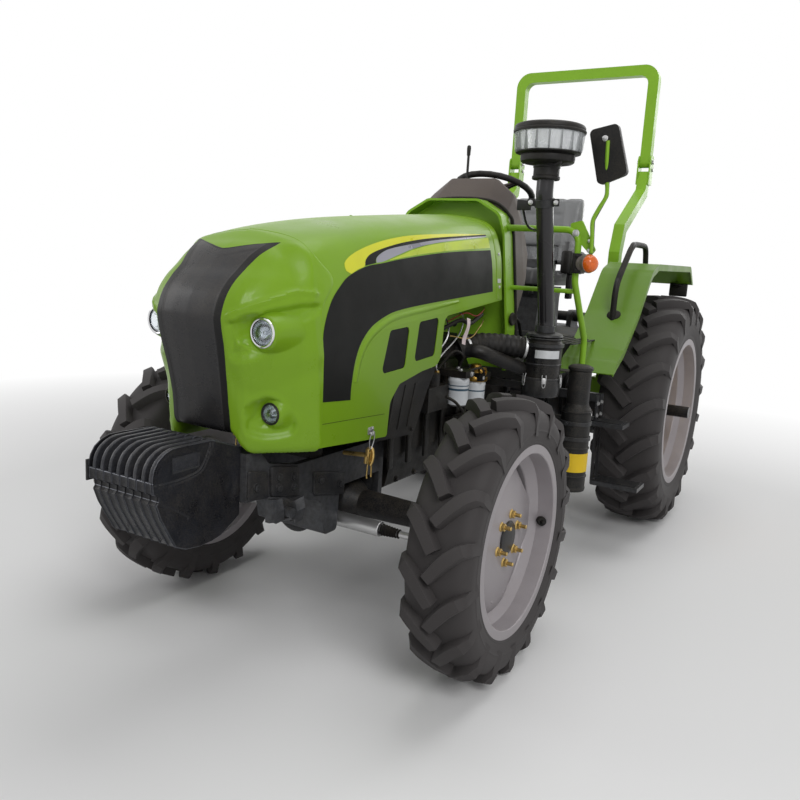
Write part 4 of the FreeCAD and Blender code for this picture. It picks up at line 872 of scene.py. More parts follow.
ENGINE_BLACK = Finish("engine_black", (12, 13, 15), .4, mottle=.2, mottle_size=14, grain=.35, fine=300,
                      coarse=70, dust=.16)
STEEL_BLACK = Finish("black_steel", (18, 19, 22), .32, mottle=.1, grain=.08, dust=.15, wear=.4)
WHEEL_SILVER = Finish("wheel_silver", (158, 153, 156), .42, metallic=.25, mottle=.07, mottle_size=7,
                      grain=.07,
                      fine=420, coarse=26, coarse_share=1.5, dust=.12)
DISC_YELLOW = Finish("disc_yellow", (226, 178, 48), .4, mottle=.06, grain=.06, dust=.12)
RUBBER = Finish("tyre_rubber", (33, 30, 28), .66, mottle=.14, mottle_size=10, grain=.25, fine=380, coarse=60,
                dust=.34, dust_colour=(92, 82, 70), specular=.2)
SEAL_RUBBER = Finish("seal_rubber", (14, 14, 14), .6, mottle=.06, grain=.08, dust=.15)
DASH_GREY = Finish("dash_grey", (92, 84, 80), .62, mottle=.05, grain=.3, fine=620, coarse=40, dust=.1)
MOULD_BLACK = Finish("moulded_black", (22, 22, 23), .46, mottle=.06, grain=.2, fine=560, dust=.12)
MAT_GREY = Finish("floor_mat", (58, 60, 60), .7, mottle=.08, grain=.3, fine=420, dust=.3)
CHROME = Finish("chrome", (214, 214, 216), .1, metallic=1.0, mottle=.03, grain=.01, dust=.03, drift=.04)
REFLECTOR = Finish("reflector", (190, 192, 196), .16, metallic=1.0, mottle=.05, grain=.03, dust=.0, drift=.05)
ZINC = Finish("yellow_zinc", (186, 158, 96), .36, metallic=.85, mottle=.16, mottle_size=40, grain=.1,
              dust=.15)
BRIGHT_STEEL = Finish("bright_steel", (170, 170, 172), .3, metallic=.95, mottle=.1, mottle_size=30, grain=.08,
                      dust=.12)
BRASS = Finish("brass", (176, 138, 66), .3, metallic=.9, mottle=.12, mottle_size=30, grain=.08, dust=.15)
FILTER_WHITE = Finish("filter_white", (214, 218, 222), .35, mottle=.05, dust=.15)
FILTER_BAND = Finish("filter_band", (60, 86, 104), .4, mottle=.05, dust=.1)
LABEL_SILVER = Finish("label_silver", (196, 198, 200), .4, metallic=.4, mottle=.1, mottle_size=30, dust=.08)
LABEL_YELLOW = Finish("label_yellow", (226, 190, 40), .45, mottle=.06, dust=.1)
MUFFLER_BLACK = Finish("muffler_black", (18, 20, 23), .44, mottle=.22, mottle_size=9, grain=.12, dust=.18)
SEAT_VINYL = Cloth("seat_vinyl", (38, 38, 40), .5, mottle=.08, grain=.25, dust=.08, pitch=210, sheen=.1)
CLEAR_BOWL = Clear("clear_bowl", (225, 230, 232), .05, 1.45, alpha=.24)
CLEAR_WRAP = Clear("clear_wrap", (232, 234, 236), .12, 1.4, alpha=.2, ripple=.9)
LAMP_GLASS = Clear("lamp_glass", (245, 248, 250), .02, 1.3)
ORANGE_LENS = Finish("orange_lens", (228, 104, 22), .2, coat=.6, mottle=.12, mottle_size=60, grain=.2,
                     fine=160, dust=.04)
RED_LENS = Finish("red_lens", (170, 26, 20), .2, coat=.6, mottle=.1, grain=.2, fine=160, dust=.04)
MIRROR_GLASS = Finish("mirror_glass", (200, 206, 210), .04, metallic=1.0, mottle=.02, grain=.0, dust=.02,
                      drift=.02)
COPPER_WIRE = Finish("wire_red", (150, 40, 34), .5, mottle=.05, dust=.1)
PAPER = Finish("tag_paper", (222, 206, 206), .8, mottle=.1, mottle_size=30, grain=.15, dust=.1)
MIRROR_DARK = Finish("dark_glass", (24, 28, 30), .08, coat=.6, mottle=.05, grain=.0, dust=.04, drift=.03)
LAMP_GREY = Finish("lamp_grey", (116, 108, 104), .34, coat=.3, mottle=.08, grain=.06, dust=.08)
# Darker copy of the green paint for the fenders: the shade on them is painted into this colour.
FENDER_SHADE_GREEN = Finish("fender_shade_green", (94, 132, 28), .38, coat=.05, mottle=.05, grain=.05, fine=300,
                      coarse=12,
                      coarse_share=2, dust=.08)
PIPE_BLACK = Finish("pipe_black", (34, 33, 36), .24, coat=.3, mottle=.1, grain=.05, dust=.06)
BRIGHT_VANE = Finish("bright_vane", (232, 232, 234), .22, metallic=.55, mottle=.12, mottle_size=26, dust=.02)


# ---------------------------------------------------------------- studio

@dataclass
class Studio:
    """Camera, floor, light and background.

    Attributes:
        eye: Where the camera stands, measured from the front axle on the ground.
        yaw: Turn of the view from straight back, in radians.
        pitch: How far the view looks down, in radians.
        roll: Lean of the view, in radians.
        lens: Focal length for a 36 mm sensor, in millimetres.
        floor_half: Half the floor's side.
        floor_clear: Radius within which the floor shows its own colour.
        sky_light: Strength of the background's light on the tractor.
    """

    eye: Point = (1.647, -2.343, 1.393)
    yaw: float = .528
    pitch: float = .180
    roll: float = .057
    lens: float = 34.61
    floor_half: float = 40.0
    floor_clear: float = 2.6
    sky_light: float = .27

    def camera(self) -> None:
        """Places the camera."""
        level = math.cos(self.pitch)
        look = Vector((-math.sin(self.yaw) * level, math.cos(self.yaw) * level, -math.sin(self.pitch)))
        right = look.cross(Vector((0, 0, 1))).normalized()
        above = right.cross(look)
        tilted = right * math.cos(self.roll) + above * math.sin(self.roll)
        upright = above * math.cos(self.roll) - right * math.sin(self.roll)
        data = bpy.data.cameras.new("camera")
        data.lens = self.lens
        data.sensor_width = 36
        data.clip_end = 200
        camera = bpy.data.objects.new("camera", data)
        turn = Matrix((tilted, upright, -look)).transposed().to_4x4()
        site = Vector((self.eye[0], ahead(self.eye[1]), self.eye[2]))
        camera.matrix_world = Matrix.Translation(site) @ turn
        bpy.context.scene.collection.objects.link(camera)
        bpy.context.scene.camera = camera

    def floor(self) -> None:
        """Lays the pale floor, which fades into the background far from the tractor."""
        side = self.floor_half
        mesh = bpy.data.meshes.new("floor")
        mesh.from_pydata([(-side, -side, 0), (side, -side, 0), (side, side, 0), (-side, side, 0)], [],
                         [(0, 1, 2, 3)])
        obj = bpy.data.objects.new("floor", mesh)
        obj.location.z = CAD_BOX[0][2] - .0005
        bpy.context.scene.collection.objects.link(obj)
        obj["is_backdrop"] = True
        made = bpy.data.materials.new("floor")
        made.use_nodes = True
        tree = made.node_tree
        shader = tree.nodes["Principled BSDF"]
        shader.inputs["Base Color"].default_value = srgb(238, 238, 238)
        shader.inputs["Roughness"].default_value = .9
        shader.inputs["Specular IOR Level"].default_value = .1
        site = wire(tree, "ShaderNodeTexCoord").outputs["Object"]
        reach = wire(tree, "ShaderNodeVectorMath", {0: site}, operation="LENGTH").outputs["Value"]
        far = wire(tree, "ShaderNodeMapRange", {"Value": reach, "From Min": self.floor_clear,
                                                "From Max": self.floor_clear * 2.2})
        glow = wire(tree, "ShaderNodeEmission", {"Color": (1, 1, 1, 1), "Strength": 1.0})
        mixed = wire(tree, "ShaderNodeMixShader", {0: math_node(tree, "MULTIPLY", far.outputs[0],
                                                                seen(tree)),
                                                   1: shader.outputs[0], 2: glow.outputs[0]})
        tree.links.new(mixed.outputs[0], tree.nodes["Material Output"].inputs["Surface"])
        mesh.materials.append(made)

    def world(self) -> None:
        """Sets a white background that lights the tractor softly."""
        world = bpy.data.worlds.new("studio")
        bpy.context.scene.world = world
        world.use_nodes = True
        tree = world.node_tree
        plain = tree.nodes["Background"]
        plain.inputs["Color"].default_value = (1, 1, 1, 1)
        plain.inputs["Strength"].default_value = self.sky_light
        white = wire(tree, "ShaderNodeBackground", {"Color": (1, 1, 1, 1), "Strength": 1.0})
        mixed = wire(tree, "ShaderNodeMixShader", {0: seen(tree), 1: plain.outputs[0],
                                                   2: white.outputs[0]})
        tree.links.new(mixed.outputs[0], tree.nodes["World Output"].inputs["Surface"])

    def lamps(self) -> None:
        """Hangs the studio's soft lamps."""
        self.lamp("key_lamp", (4.2, -4.6, 4.6), 175, 2.6)
        self.lamp("fill_lamp", (-5.0, -3.2, 3.4), 80, 3.2)
        self.lamp("top_lamp", (.6, .4, 5.8), 84, 3.6)
        self.lamp("rear_lamp", (1.6, 5.6, 3.6), 90, 3.5)

    def lamp(self, name: str, site: Point, power: float, size: float) -> None:
        """Adds one square lamp that looks at the tractor.

        Args:
            name: The lamp's name.
            site: Where it hangs.
            power: Its power in watts.
            size: Its side.
        """
        data = bpy.data.lights.new(name, "AREA")
        data.energy = power
        data.size = size
        lamp = bpy.data.objects.new(name, data)
        lamp.matrix_world = facing(site, Vector(site) - Vector((0, 0, .9)))
        bpy.context.scene.collection.objects.link(lamp)

    def build(self) -> None:
        """Sets the whole studio and the plain view transform."""
        bpy.context.scene.view_settings.view_transform = "Standard"
        self.camera()
        self.world()
        self.floor()
        self.lamps()


def seen(tree: bpy.types.NodeTree) -> bpy.types.NodeSocket:
    """Mask of the rays that show the background: camera, glossy and glass rays."""
    path = wire(tree, "ShaderNodeLightPath")
    shown = math_node(tree, "MAXIMUM", path.outputs["Is Camera Ray"], path.outputs["Is Glossy Ray"])
    return math_node(tree, "MAXIMUM", shown, path.outputs["Is Transmission Ray"])


# ---------------------------------------------------------------- wheels

@dataclass
class Tyre:
    """A lugged drive tyre that replaces its plain CAD solid.

    Attributes:
        node: CAD node that it stands for.
        body: Body that it rides.
        side: Side of the tractor.
        lugs: Lugs in each of its two rows.
        lug_height: Height of a lug over the carcass.
        lug_width: Width of a lug at its top.
        bead_radius: Radius of the bead on the rim.
        bead_half: Half the distance between the beads.
        steps: Spans round the carcass.
        lug_sweep: How far a lug's outer end trails its inner end, in radians.
    """

    node: str
    body: str
    side: Side
    lugs: int
    lug_height: float
    lug_width: float
    bead_radius: float
    bead_half: float
    steps: int = 144
    lug_sweep: float = .27

    def __post_init__(self) -> None:
        """Reads the tyre's size from its CAD box."""
        low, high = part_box(self.node)
        self.middle = centre(self.node)
        self.radius = (high[2] - low[2]) / 2
        self.half = (high[0] - low[0]) / 2

    def spot(self, turn: float, across: float, radius: float) -> Vector:
        """A point from its turn ahead and down from the front, place across and radius."""
        return self.middle + Vector((across, -radius * math.cos(turn), -radius * math.sin(turn)))

    def crown(self, across: float) -> float:
        """Radius of the lugs' tops at a place across the tread."""
        share = abs(across) / self.half
        return self.radius - .05 * self.radius * share ** 2.6

    def section(self) -> list[Pair]:
        """Half of the carcass section from the crown to the bead, as (across, radius)."""
        floor = self.radius - self.lug_height
        wide, deep = self.half, floor - self.bead_radius
        knots = [(0, floor), (wide * .4, floor - .002), (wide * .7, floor - deep * .045),
                 (wide * .88, floor - deep * .14), (wide * .965, floor - deep * .3),
                 (wide * .985, floor - deep * .45), (wide * .975, floor - deep * .6),
                 (wide * .945, floor - deep * .74), (wide * .915, floor - deep * .84),
                 (self.bead_half + .003, floor - deep * .93),
                 (self.bead_half - .001, self.bead_radius + .006),
                 (self.bead_half - .012, self.bead_radius)]
        return [(p.x, p.y) for p in spline(knots, 4)]

    def carcass(self, shape: Shape) -> None:
        """Adds the carcass: tread floor, sidewalls with moulded rings, beads and inside."""
        half = self.section()
        ribbed = []
        deep = self.radius - self.lug_height - self.bead_radius
        for across, radius in half:
            share = (self.radius - self.lug_height - radius) / deep
            rib = sum(.0016 * math.exp(-((share - at) / .012) ** 2) for at in (.56, .86))
            ribbed.append((across + rib, radius))
        outer = [(-a, r) for a, r in reversed(ribbed)][:-1] + ribbed
        inner = [(self.bead_half - .03, self.bead_radius + .012), (0, self.bead_radius + .02),
                 (.03 - self.bead_half, self.bead_radius + .012)]
        loop = outer + inner
        rows = [[self.spot(math.tau * k / self.steps, a, r) for a, r in loop] for k in range(self.steps)]
        shape.grid(rows, round_row=True, round_all=True)

    def lug(self, shape: Shape, start: float, hand: int) -> None:
        """Adds one lug from beside the centreline out over the shoulder.

        Args:
            shape: The shape that grows.
            start: Turn of the lug's inner end.
            hand: 1 for the row on +X, -1 for the other.
        """
        steps = 11
        centres, tops, bases, widths = [], [], [], []
        for i in range(steps + 1):
            share = i / steps
            across = self.half * (-.05 + 1.06 * share ** .92)
            back = self.lug_sweep * (1 - (1 - share) ** 1.5) * (1 - .12 * share)
            centres.append((start - back, across))
            over = blend_step(.82, 1.0, share)
            tops.append(self.crown(min(across, self.half)) - over * self.lug_height * .62)
            bases.append(self.radius - self.lug_height * (1.35 + over * 2.3))
            widths.append(self.lug_width * (.92 + .16 * math.sin(share * math.pi) + .12 * over))
        rows = []
        for i, (turn, across) in enumerate(centres):
            ahead_point = centres[min(i + 1, steps)]
            back_point = centres[max(i - 1, 0)]
            along = Vector(((ahead_point[0] - back_point[0]) * self.radius, ahead_point[1] - back_point[1]))
            normal = Vector((-along.y, along.x)).normalized()
            loop = []
            width = widths[i] / 2
            for offset, lift in ((-1.32, 0), (-1.06, .86), (-.9, 1), (.9, 1), (1.06, .86), (1.32, 0)):
                shift = normal * width * offset
                level = bases[i] + (tops[i] - bases[i]) * lift
                place = min(across + shift.y, self.half * 1.015)
                loop.append(self.spot(turn + shift.x / self.radius, hand * place, level))
            rows.append(loop)
        shape.grid(rows, round_row=True, caps=True)

    def build(self) -> None:
        """Builds the tyre."""
        shape = Shape()
        self.carcass(shape)
        for i in range(self.lugs):
            start = math.tau * i / self.lugs
            self.lug(shape, start, 1)
            self.lug(shape, start + math.pi / self.lugs, -1)
        shape.make(self.node + "_lugged", RUBBER, self.body, "tyre_rubber", 32, [self.node])


@dataclass(frozen=True)
class NutRing:
    """A ring of wheel nuts.

    Attributes:
        count: Number of nuts.
        circle: Radius of the ring.
        face: Distance of the nuts' seat from the tractor's middle plane.
        size: Distance across a nut's corners.
        start: Angle of the first nut, in radians.
    """

    count: int
    circle: float
    face: float
    size: float
    start: float


@dataclass
class WheelFittings:
    """Bolts, hub cap and valve of one wheel, seated on the CAD wheel.

    Attributes:
        side: Side of the tractor.
        front: Whether the wheel is a front one.
        plate_radius: Radius of a front face plate at its corners.
        cut_radius: Distance of its four cut sides from the axle.
        cut_half: Half the angle that a cut side spans, in degrees.
        cut_turn: Angle of the first cut side, in degrees.
    """

    side: Side
    front: bool
    plate_radius: float = .2765
    cut_radius: float = .236
    cut_half: float = 31.4
    cut_turn: float = 47

    def build(self) -> None:
        """Builds the fittings."""
        where = "front" if self.front else "rear"
        body = f"{where}_wheel_{self.side.word}"
        hub = centre(f"tyre_{where}_{self.side.word}")
        out = self.side.value
        plan = FRONT_BOLTS if self.front else REAR_BOLTS
        studs, caps, nuts = Shape(), Shape(), Shape()
        size = plan.size
        for i in range(plan.count):
            turn = plan.start + math.tau * i / plan.count
            at = Vector((out * plan.face, hub.y + plan.circle * math.cos(turn),
                         hub.z + plan.circle * math.sin(turn)))
            nuts.bolt(at, (out, 0, 0), size, size * .55)
            nuts.lathe(facing(at, (out, 0, 0)),
                       [(-.002, size * .62), (.004, size * .60), (.008, size * .46)], 16)
            studs.lathe(facing(at, (out, 0, 0)), [(0, size * .24), (size * 1.35, size * .24),
                                                 (size * 1.42, size * .18)], 12)
        finish = ZINC if self.front else BRIGHT_STEEL
        nuts.make(f"wheel_nuts_{where}_{self.side.word}", finish, body)
        studs.make(f"wheel_studs_{where}_{self.side.word}", finish, body)
        if self.front:
            self.face(hub, body)
            place = facing((out * (FRONT_HUB_FACE - .004), hub.y, hub.z), (out, 0, 0))
            caps.lathe(place, [(0, .060), (.012, .060), (.015, .0575), (.0165, .050), (.0170, .020)], 44)
            caps.make(f"hub_cap_{self.side.word}", STEEL_BLACK, body)

    def face(self, hub: Vector, body: str) -> None:
        """Builds a front wheel's dished face plate with its four cut sides, corner bolts and valve.

        Args:
            hub: Middle of the tyre.
            body: Body that it rides.
        """
        out = self.side.value
        place = facing((0, hub.y, hub.z), (out, 0, 0), (0, 1, 0))
        profile = [(.050, .0), (.104, .0), (.112, -.003), (.130, -.004), (.190, -.014), (.232, -.020),
                   (.256, -.024), (.268, -.031), (.2745, -.040)]
        rows = []
        steps = 144
        for reach, rise in profile:
            row = []
            for turn in full_turn(steps):
                lean = (math.degrees(turn) - self.cut_turn + 45) % 90 - 45
                cut = self.cut_radius / math.cos(math.radians(lean)) if abs(lean) < self.cut_half \
                    else self.plate_radius
                share = min(1.0, cut / self.plate_radius) if reach > .15 else 1.0
                keep = 1 - (1 - share) * blend_step(.15, .27, reach)
                row.append(place @ Vector((reach * keep * math.cos(turn), reach * keep * math.sin(turn),
                                           FRONT_HUB_FACE + rise)))
            rows.append(row)
        plate = Shape().grid(rows, round_row=True).thicken(.005)
        plate.make(f"wheel_face_{self.side.word}", WHEEL_SILVER, body, "silver_paint")
        bolts, valve = Shape(), Shape()
        for k in range(4):
            for lean in (-22, 22):
                turn = math.radians(2 + 90 * k + lean * .55)
                at = place @ Vector((.226 * math.cos(turn), .226 * math.sin(turn), FRONT_HUB_FACE - .0185))
                bolts.lathe(facing(at, (out, 0, 0)), [(0, .0085), (.003, .0085), (.0055, .006), (.006, .002)],
                            16)
        bolts.make(f"face_rivets_{self.side.word}", WHEEL_SILVER, body)
        turn = math.radians(-3)
        at = place @ Vector((.292 * math.cos(turn), .292 * math.sin(turn), .745))
        valve.lathe(facing(at, (out * .55, -math.cos(turn) * .8, -math.sin(turn))),
                    [(-.012, .016), (.006, .0175), (.012, .016), (.013, .008), (.030, .0055), (.032, .0035)],
                    24)
        valve.make(f"wheel_valve_{self.side.word}", SEAL_RUBBER, body)


FRONT_HUB_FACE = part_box("wheel_front_left")[1][0] - .060
FRONT_BOLTS = NutRing(count=6, circle=.083, face=FRONT_HUB_FACE + .002, size=.028, start=.3)
REAR_BOLTS = NutRing(count=8, circle=.11, face=.652, size=.034, start=.2)


class Wheels:
    """All four wheels."""

    def dress(self) -> None:
        """Gives the rims and discs their finishes."""
        paint("wheel_front_left wheel_front_right rim_rear_left rim_rear_right", WHEEL_SILVER)
        paint("wheel_centre_rear_left wheel_centre_rear_right", DISC_YELLOW)
        paint("axle_shaft_left axle_shaft_right", STEEL_BLACK)

    def build(self) -> None:
        """Builds the tyres and fittings."""
        self.dress()
        for side in Side:
            Tyre(f"tyre_front_{side.word}", f"front_wheel_{side.word}", side, lugs=18, lug_height=.034,
                 lug_width=.038, bead_radius=.318, bead_half=.098).build()
            Tyre(f"tyre_rear_{side.word}", f"rear_wheel_{side.word}", side, lugs=20, lug_height=.04,
                 lug_width=.048, bead_radius=.394, bead_half=.153, steps=168, lug_sweep=.24).build()
            WheelFittings(side, True).build()
            WheelFittings(side, False).build()


def paint(nodes: str, finish: Finish | Clear) -> None:
    """Gives CAD nodes one finish.

    Args:
        nodes: The nodes' names, with spaces between them.
        finish: The finish.
    """
    made = finish.material()
    for name in nodes.split():
        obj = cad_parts[name]
        if not obj.material_slots:
            obj.data.materials.append(made)
        for slot in obj.material_slots:
            slot.material = made


# ---------------------------------------------------------------- nose

Array = np.ndarray


def line_distance(spots: Array, line: Sequence[Pair]) -> tuple[Array, Array]:
    """Distance of many flat points from an open line.

    Args:
        spots: Points as an N by 2 array.
        line: The line's points in order.

    Returns:
        The distances, and 1 or -1 for the side of the line that each point lies on.
    """
    knots = np.array(line, dtype=float)
    start, span = knots[:-1], knots[1:] - knots[:-1]
    offset = spots[:, None, :] - start[None]
    share = np.clip((offset * span).sum(-1) / (span ** 2).sum(-1), 0, 1)
    gap = offset - share[..., None] * span
    reach = np.hypot(gap[..., 0], gap[..., 1])
    nearest = reach.argmin(1)
    rows = np.arange(len(spots))
    turn = span[nearest, 0] * offset[rows, nearest, 1] - span[nearest, 1] * offset[rows, nearest, 0]
    return reach[rows, nearest], np.where(turn >= 0, 1.0, -1.0)


def inside(spots: Array, loop: Sequence[Pair]) -> Array:
    """Which flat points lie inside a closed line.

    Args:
        spots: Points as an N by 2 array.
        loop: The corners of the closed line.

    Returns:
        True for each point inside.
    """
    knots = np.array(loop, dtype=float)
    after = np.roll(knots, -1, axis=0)
    x, y = spots[:, 0, None], spots[:, 1, None]
    crosses = (knots[:, 1] > y) != (after[:, 1] > y)
    rise = np.where(after[:, 1] == knots[:, 1], 1e-12, after[:, 1] - knots[:, 1])
    at = knots[:, 0] + (y - knots[:, 1]) * (after[:, 0] - knots[:, 0]) / rise
    return (crosses & (x < at)).sum(1) % 2 == 1


def soft_max(a: Array, b: Array, width: Array | float) -> Array:
    """The larger of two values, rounded over where they are close."""
    near = np.maximum(width - np.abs(a - b), 0) / np.maximum(width, 1e-9)
    return np.maximum(a, b) + near ** 2 * width * .25


def soft_step(low: float, high: float, value: Array) -> Array:
    """A smooth step from 0 to 1 for an array."""
    t = np.clip((value - low) / (high - low), 0, 1)
    return t * t * (3 - 2 * t)


class CadSkin:
    """Outer surface of CAD nodes, for pieces that lie on it."""

    def __init__(self, *nodes: str) -> None:
        """Reads the nodes' meshes in the row frame."""
        points, faces = [], []
        for name in nodes:
            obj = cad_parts[name]
            base = len(points)
            points += [obj.matrix_world @ v.co for v in obj.data.vertices]
            faces += [[base + i for i in p.vertices] for p in obj.data.polygons]
        self.tree = BVHTree.FromPolygons(points, faces)

    def hit(self, start: Sequence[float], way: Sequence[float]) -> tuple[Vector, Vector] | None:
        """First point that a ray meets, with the normal that faces the ray."""
        site, normal, _, _ = self.tree.ray_cast(Vector(start), Vector(way).normalized())
        if site is None:
            return None
        if normal.dot(Vector(way)) > 0:
            normal = -normal
        return site, normal


@dataclass
class Nose:
    """Moulded nose with its cheeks, black centre panel and lamps, over the plain CAD nose.

    Heights are above the ground and lengths back from the front axle; the nose is alike on both
    sides. Its outer form is where a front profile, a plan and the bonnet's own section meet.

    Attributes:
        profile: Foremost line in the middle, as (height, place back from the front axle).
        plan_high: Plan of the upper nose, as (half width, distance behind the profile).
        plan_low: Plan of the lower nose.
        bottom: Height of the cheeks' lower edge.
        chin: Height of the lower edge in the middle.
        wall: Thickness of the moulding.
        panel_edge: Half width of the black panel, as (height, half width).
        centre_height: Height of the point that the moulding's rows fan out from.
        panel_half: Half width of the panel's upper edge.
        panel_back: Place of that edge in the middle, back from the front axle.
        panel_sweep: How far back its ends lie from there.
        chart_back: Place that a cheek's flat map turns about, back from the front axle.
        chart_reach: Radius that turns an angle of the map into a length.
    """

    profile: tuple[Pair, ...] = (
        (.76, -.688), (.86, -.697), (.955, -.707), (1.044, -.724), (1.131, -.746), (1.182, -.757),
        (1.215, -.758), (1.265, -.739), (1.309, -.704), (1.347, -.661), (1.385, -.630), (1.417, -.602),
        (1.438, -.572), (1.456, -.530), (1.475, -.480), (1.52, -.36))
    plan_high: tuple[Pair, ...] = (
        (0, 0), (.06, .003), (.10, .007), (.13, .013), (.15, .018), (.168, .027), (.185, .043), (.205, .070),
        (.225, .100), (.245, .130), (.262, .152), (.278, .182), (.296, .215), (.315, .250), (.335, .29),
        (.38, .38), (.5, .62))
    plan_low: tuple[Pair, ...] = (
        (0, 0), (.06, .002), (.10, .006), (.118, .010), (.14, .017), (.158, .028), (.175, .045),
        (.195, .068), (.215, .092), (.24, .12), (.262, .145), (.282, .172), (.300, .20), (.320, .232),
        (.345, .28), (.39, .37), (.5, .60))
    bottom: float = .802
    chin: float = .862
    wall: float = .003
    panel_edge: tuple[Pair, ...] = (
        (.80, .119), (.90, .119), (.96, .117), (1.05, .122), (1.13, .130), (1.30, .130), (1.345, .134),
        (1.38, .146), (1.415, .166), (1.44, .18))
    centre_height: float = 1.13
    panel_half: float = .166
    panel_back: float = -.603
    panel_sweep: float = .073
    chart_back: float = -.40
    chart_reach: float = .33

    def __post_init__(self) -> None:
        """Reads the seam and the bonnet's section from the CAD hood."""
        self.hood = CadSkin("bonnet_hood")
        self.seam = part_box("bonnet_hood")[0][1]
        loop = []
        for k in range(61):
            turn = math.pi * k / 60 * .86
            way = Vector((math.sin(turn), 0, math.cos(turn)))
            found = self.hood.hit(Vector((0, self.seam + .0015, self.centre_height)) + way, -way)
            if found and found[0].x > -1e-4 and (not loop or (found[0] - loop[-1]).length > .004):
                loop.append(found[0])
        section = [(p.x, p.z) for p in loop if p.z > .84]
        lean = (section[-1][0] - section[-6][0]) / (section[-1][1] - section[-6][1])
        foot = .70
        section.append((section[-1][0] + lean * (foot - section[-1][1]), foot))
        self.section = section
        fine = spline([(z, y) for z, y in self.profile], 6)
        self.fine_profile = np.array([(p.x, p.y + FRONT_AXLE_Y) for p in fine])

    def front(self, height: Array) -> Array:
        """Row-frame Y of the middle profile at each height."""
        return np.interp(height, self.fine_profile[:, 0], self.fine_profile[:, 1])

    def depth(self, spots: Array) -> Array:
        """How far outside the nose's form each point lies; negative inside."""
        x, y, z = np.abs(spots[:, 0]), spots[:, 1], spots[:, 2]
        front = self.front(z)
        slope = (self.front(z + .004) - self.front(z - .004)) / .008
        ahead_of = (front - y) / np.sqrt(1 + slope ** 2)
        behind = np.maximum(self.seam - y, 0)
        gap, side = line_distance(np.stack([x, z + .22 * behind], 1), self.section)
        over = gap * side
        share = soft_step(.95, 1.18, z)
        flat = np.stack([x, y - front], 1)
        high_gap, high_side = line_distance(flat, self.plan_high)
        low_gap, low_side = line_distance(flat, self.plan_low)
        round_plan = -(high_gap * high_side * share + low_gap * low_side * (1 - share))
        body = soft_max(ahead_of, round_plan / np.sqrt(1 + .5 * slope ** 2), .012)
        body = soft_max(body, over, .07 * soft_step(.0, .075, behind))
        floor = self.chin + (self.bottom - self.chin) * soft_step(.105, .16, x)
        return soft_max(body, floor - z, .034)

    def cast(self, starts: Array, ways: Array, reach: float = .9) -> Array:
        """Where rays from inside the nose leave its form.

        Args:
            starts: Start of each ray.
            ways: Unit direction of each ray.
            reach: Length within which the form is left.

        Returns:
            The points on the form.
        """
        low = np.zeros(len(starts))
        high = np.full(len(starts), reach)
        for _ in range(22):
            middle = (low + high) / 2
            out = self.depth(starts + ways * middle[:, None]) > 0
            high = np.where(out, middle, high)
            low = np.where(out, low, middle)
        return starts + ways * low[:, None]

    def normals(self, spots: Array) -> Array:
        """Outward direction of the form at points on it."""
        step = .003
        grad = []
        for axis in range(3):
            shift = np.zeros(3)
            shift[axis] = step
            grad.append(self.depth(spots + shift) - self.depth(spots - shift))
        normal = np.stack(grad, 1)
        return normal / np.maximum(np.linalg.norm(normal, axis=1, keepdims=True), 1e-9)

    def chart(self, x: Array, y: Array, z: Array) -> Array:
        """Flat map of a cheek: distance round from the middle, and height."""
        turn = np.arctan2(np.abs(x), -(y - ahead(self.chart_back)))
        return np.stack([turn * self.chart_reach, z], 1)

    def chart_line(self, *places: Point) -> list[Pair]:
        """Places on a cheek as (half width, back from the axle, height), on the flat map."""
        spots = np.array(places)
        line = self.chart(spots[:, 0], spots[:, 1] + FRONT_AXLE_Y, spots[:, 2])
        return [(p.x, p.y) for p in spline([tuple(q) for q in line], 5)]

    def relief(self, spots: Array) -> Array:
        """How far each point of the cheeks is pressed in: pockets, brow and creases."""
        flat = self.chart(spots[:, 0], spots[:, 1], spots[:, 2])
        brow = self.chart_line((.125, -.742, 1.212), (.175, -.718, 1.234), (.21, -.678, 1.255),
                               (.25, -.617, 1.278), (.28, -.573, 1.288), (.291, -.52, 1.284))
        lid = self.chart_line((.125, -.742, 1.200), (.17, -.718, 1.214), (.205, -.685, 1.228),
                              (.225, -.664, 1.240), (.26, -.594, 1.253), (.283, -.555, 1.259),
                              (.29, -.506, 1.257), (.292, -.478, 1.246))
        under = self.chart_line((.292, -.478, 1.240), (.288, -.505, 1.216), (.270, -.56, 1.190),
                                (.248, -.61, 1.158), (.232, -.645, 1.118), (.205, -.672, 1.088),
                                (.165, -.715, 1.073), (.120, -.742, 1.080))
        eye = lid + under
        top_gap, _ = line_distance(flat, lid)
        low_gap, _ = line_distance(flat, under)
        held = inside(flat, eye)
        sink = np.where(held, soft_step(0, .019, top_gap) * soft_step(0, .036, low_gap), 0) * .0145
        brow_gap, brow_side = line_distance(flat, brow)
        sink -= .0042 * np.exp(-(brow_gap / .0095) ** 2)
        sink += .0035 * np.exp(-(brow_gap / .03) ** 2) * np.where(brow_side > 0, 1, 0)
        fold = self.chart_line((.122, -.740, 1.094), (.150, -.728, 1.118), (.168, -.713, 1.136))
        fold_gap, _ = line_distance(flat, fold)
        sink -= .0035 * np.exp(-(fold_gap / .008) ** 2)
        waist = self.chart_line((.118, -.70, 1.02), (.19, -.66, .985), (.25, -.60, 1.02), (.292, -.50, 1.06))
        waist_gap, _ = line_distance(flat, waist)
        sink += .0035 * np.exp(-(waist_gap / .035) ** 2)
        pocket = [(p.x, p.y) for p in spline(
            [tuple(q) for q in np.array(self.chart_line(
                (.150, -.672, .925), (.150, -.668, .868), (.185, -.640, .846), (.225, -.60, .846),
                (.255, -.565, .862), (.262, -.56, .905), (.235, -.60, .962), (.200, -.632, .985),
                (.168, -.662, .962)))[::5]], 5, closed=True)]
        rim_gap, _ = line_distance(flat, pocket + pocket[:1])
        sink += np.where(inside(flat, pocket), soft_step(0, .022, rim_gap), 0) * .0125
        sink -= .0022 * np.exp(-(rim_gap / .009) ** 2)
        edge = self.half_widths(spots[:, 2])
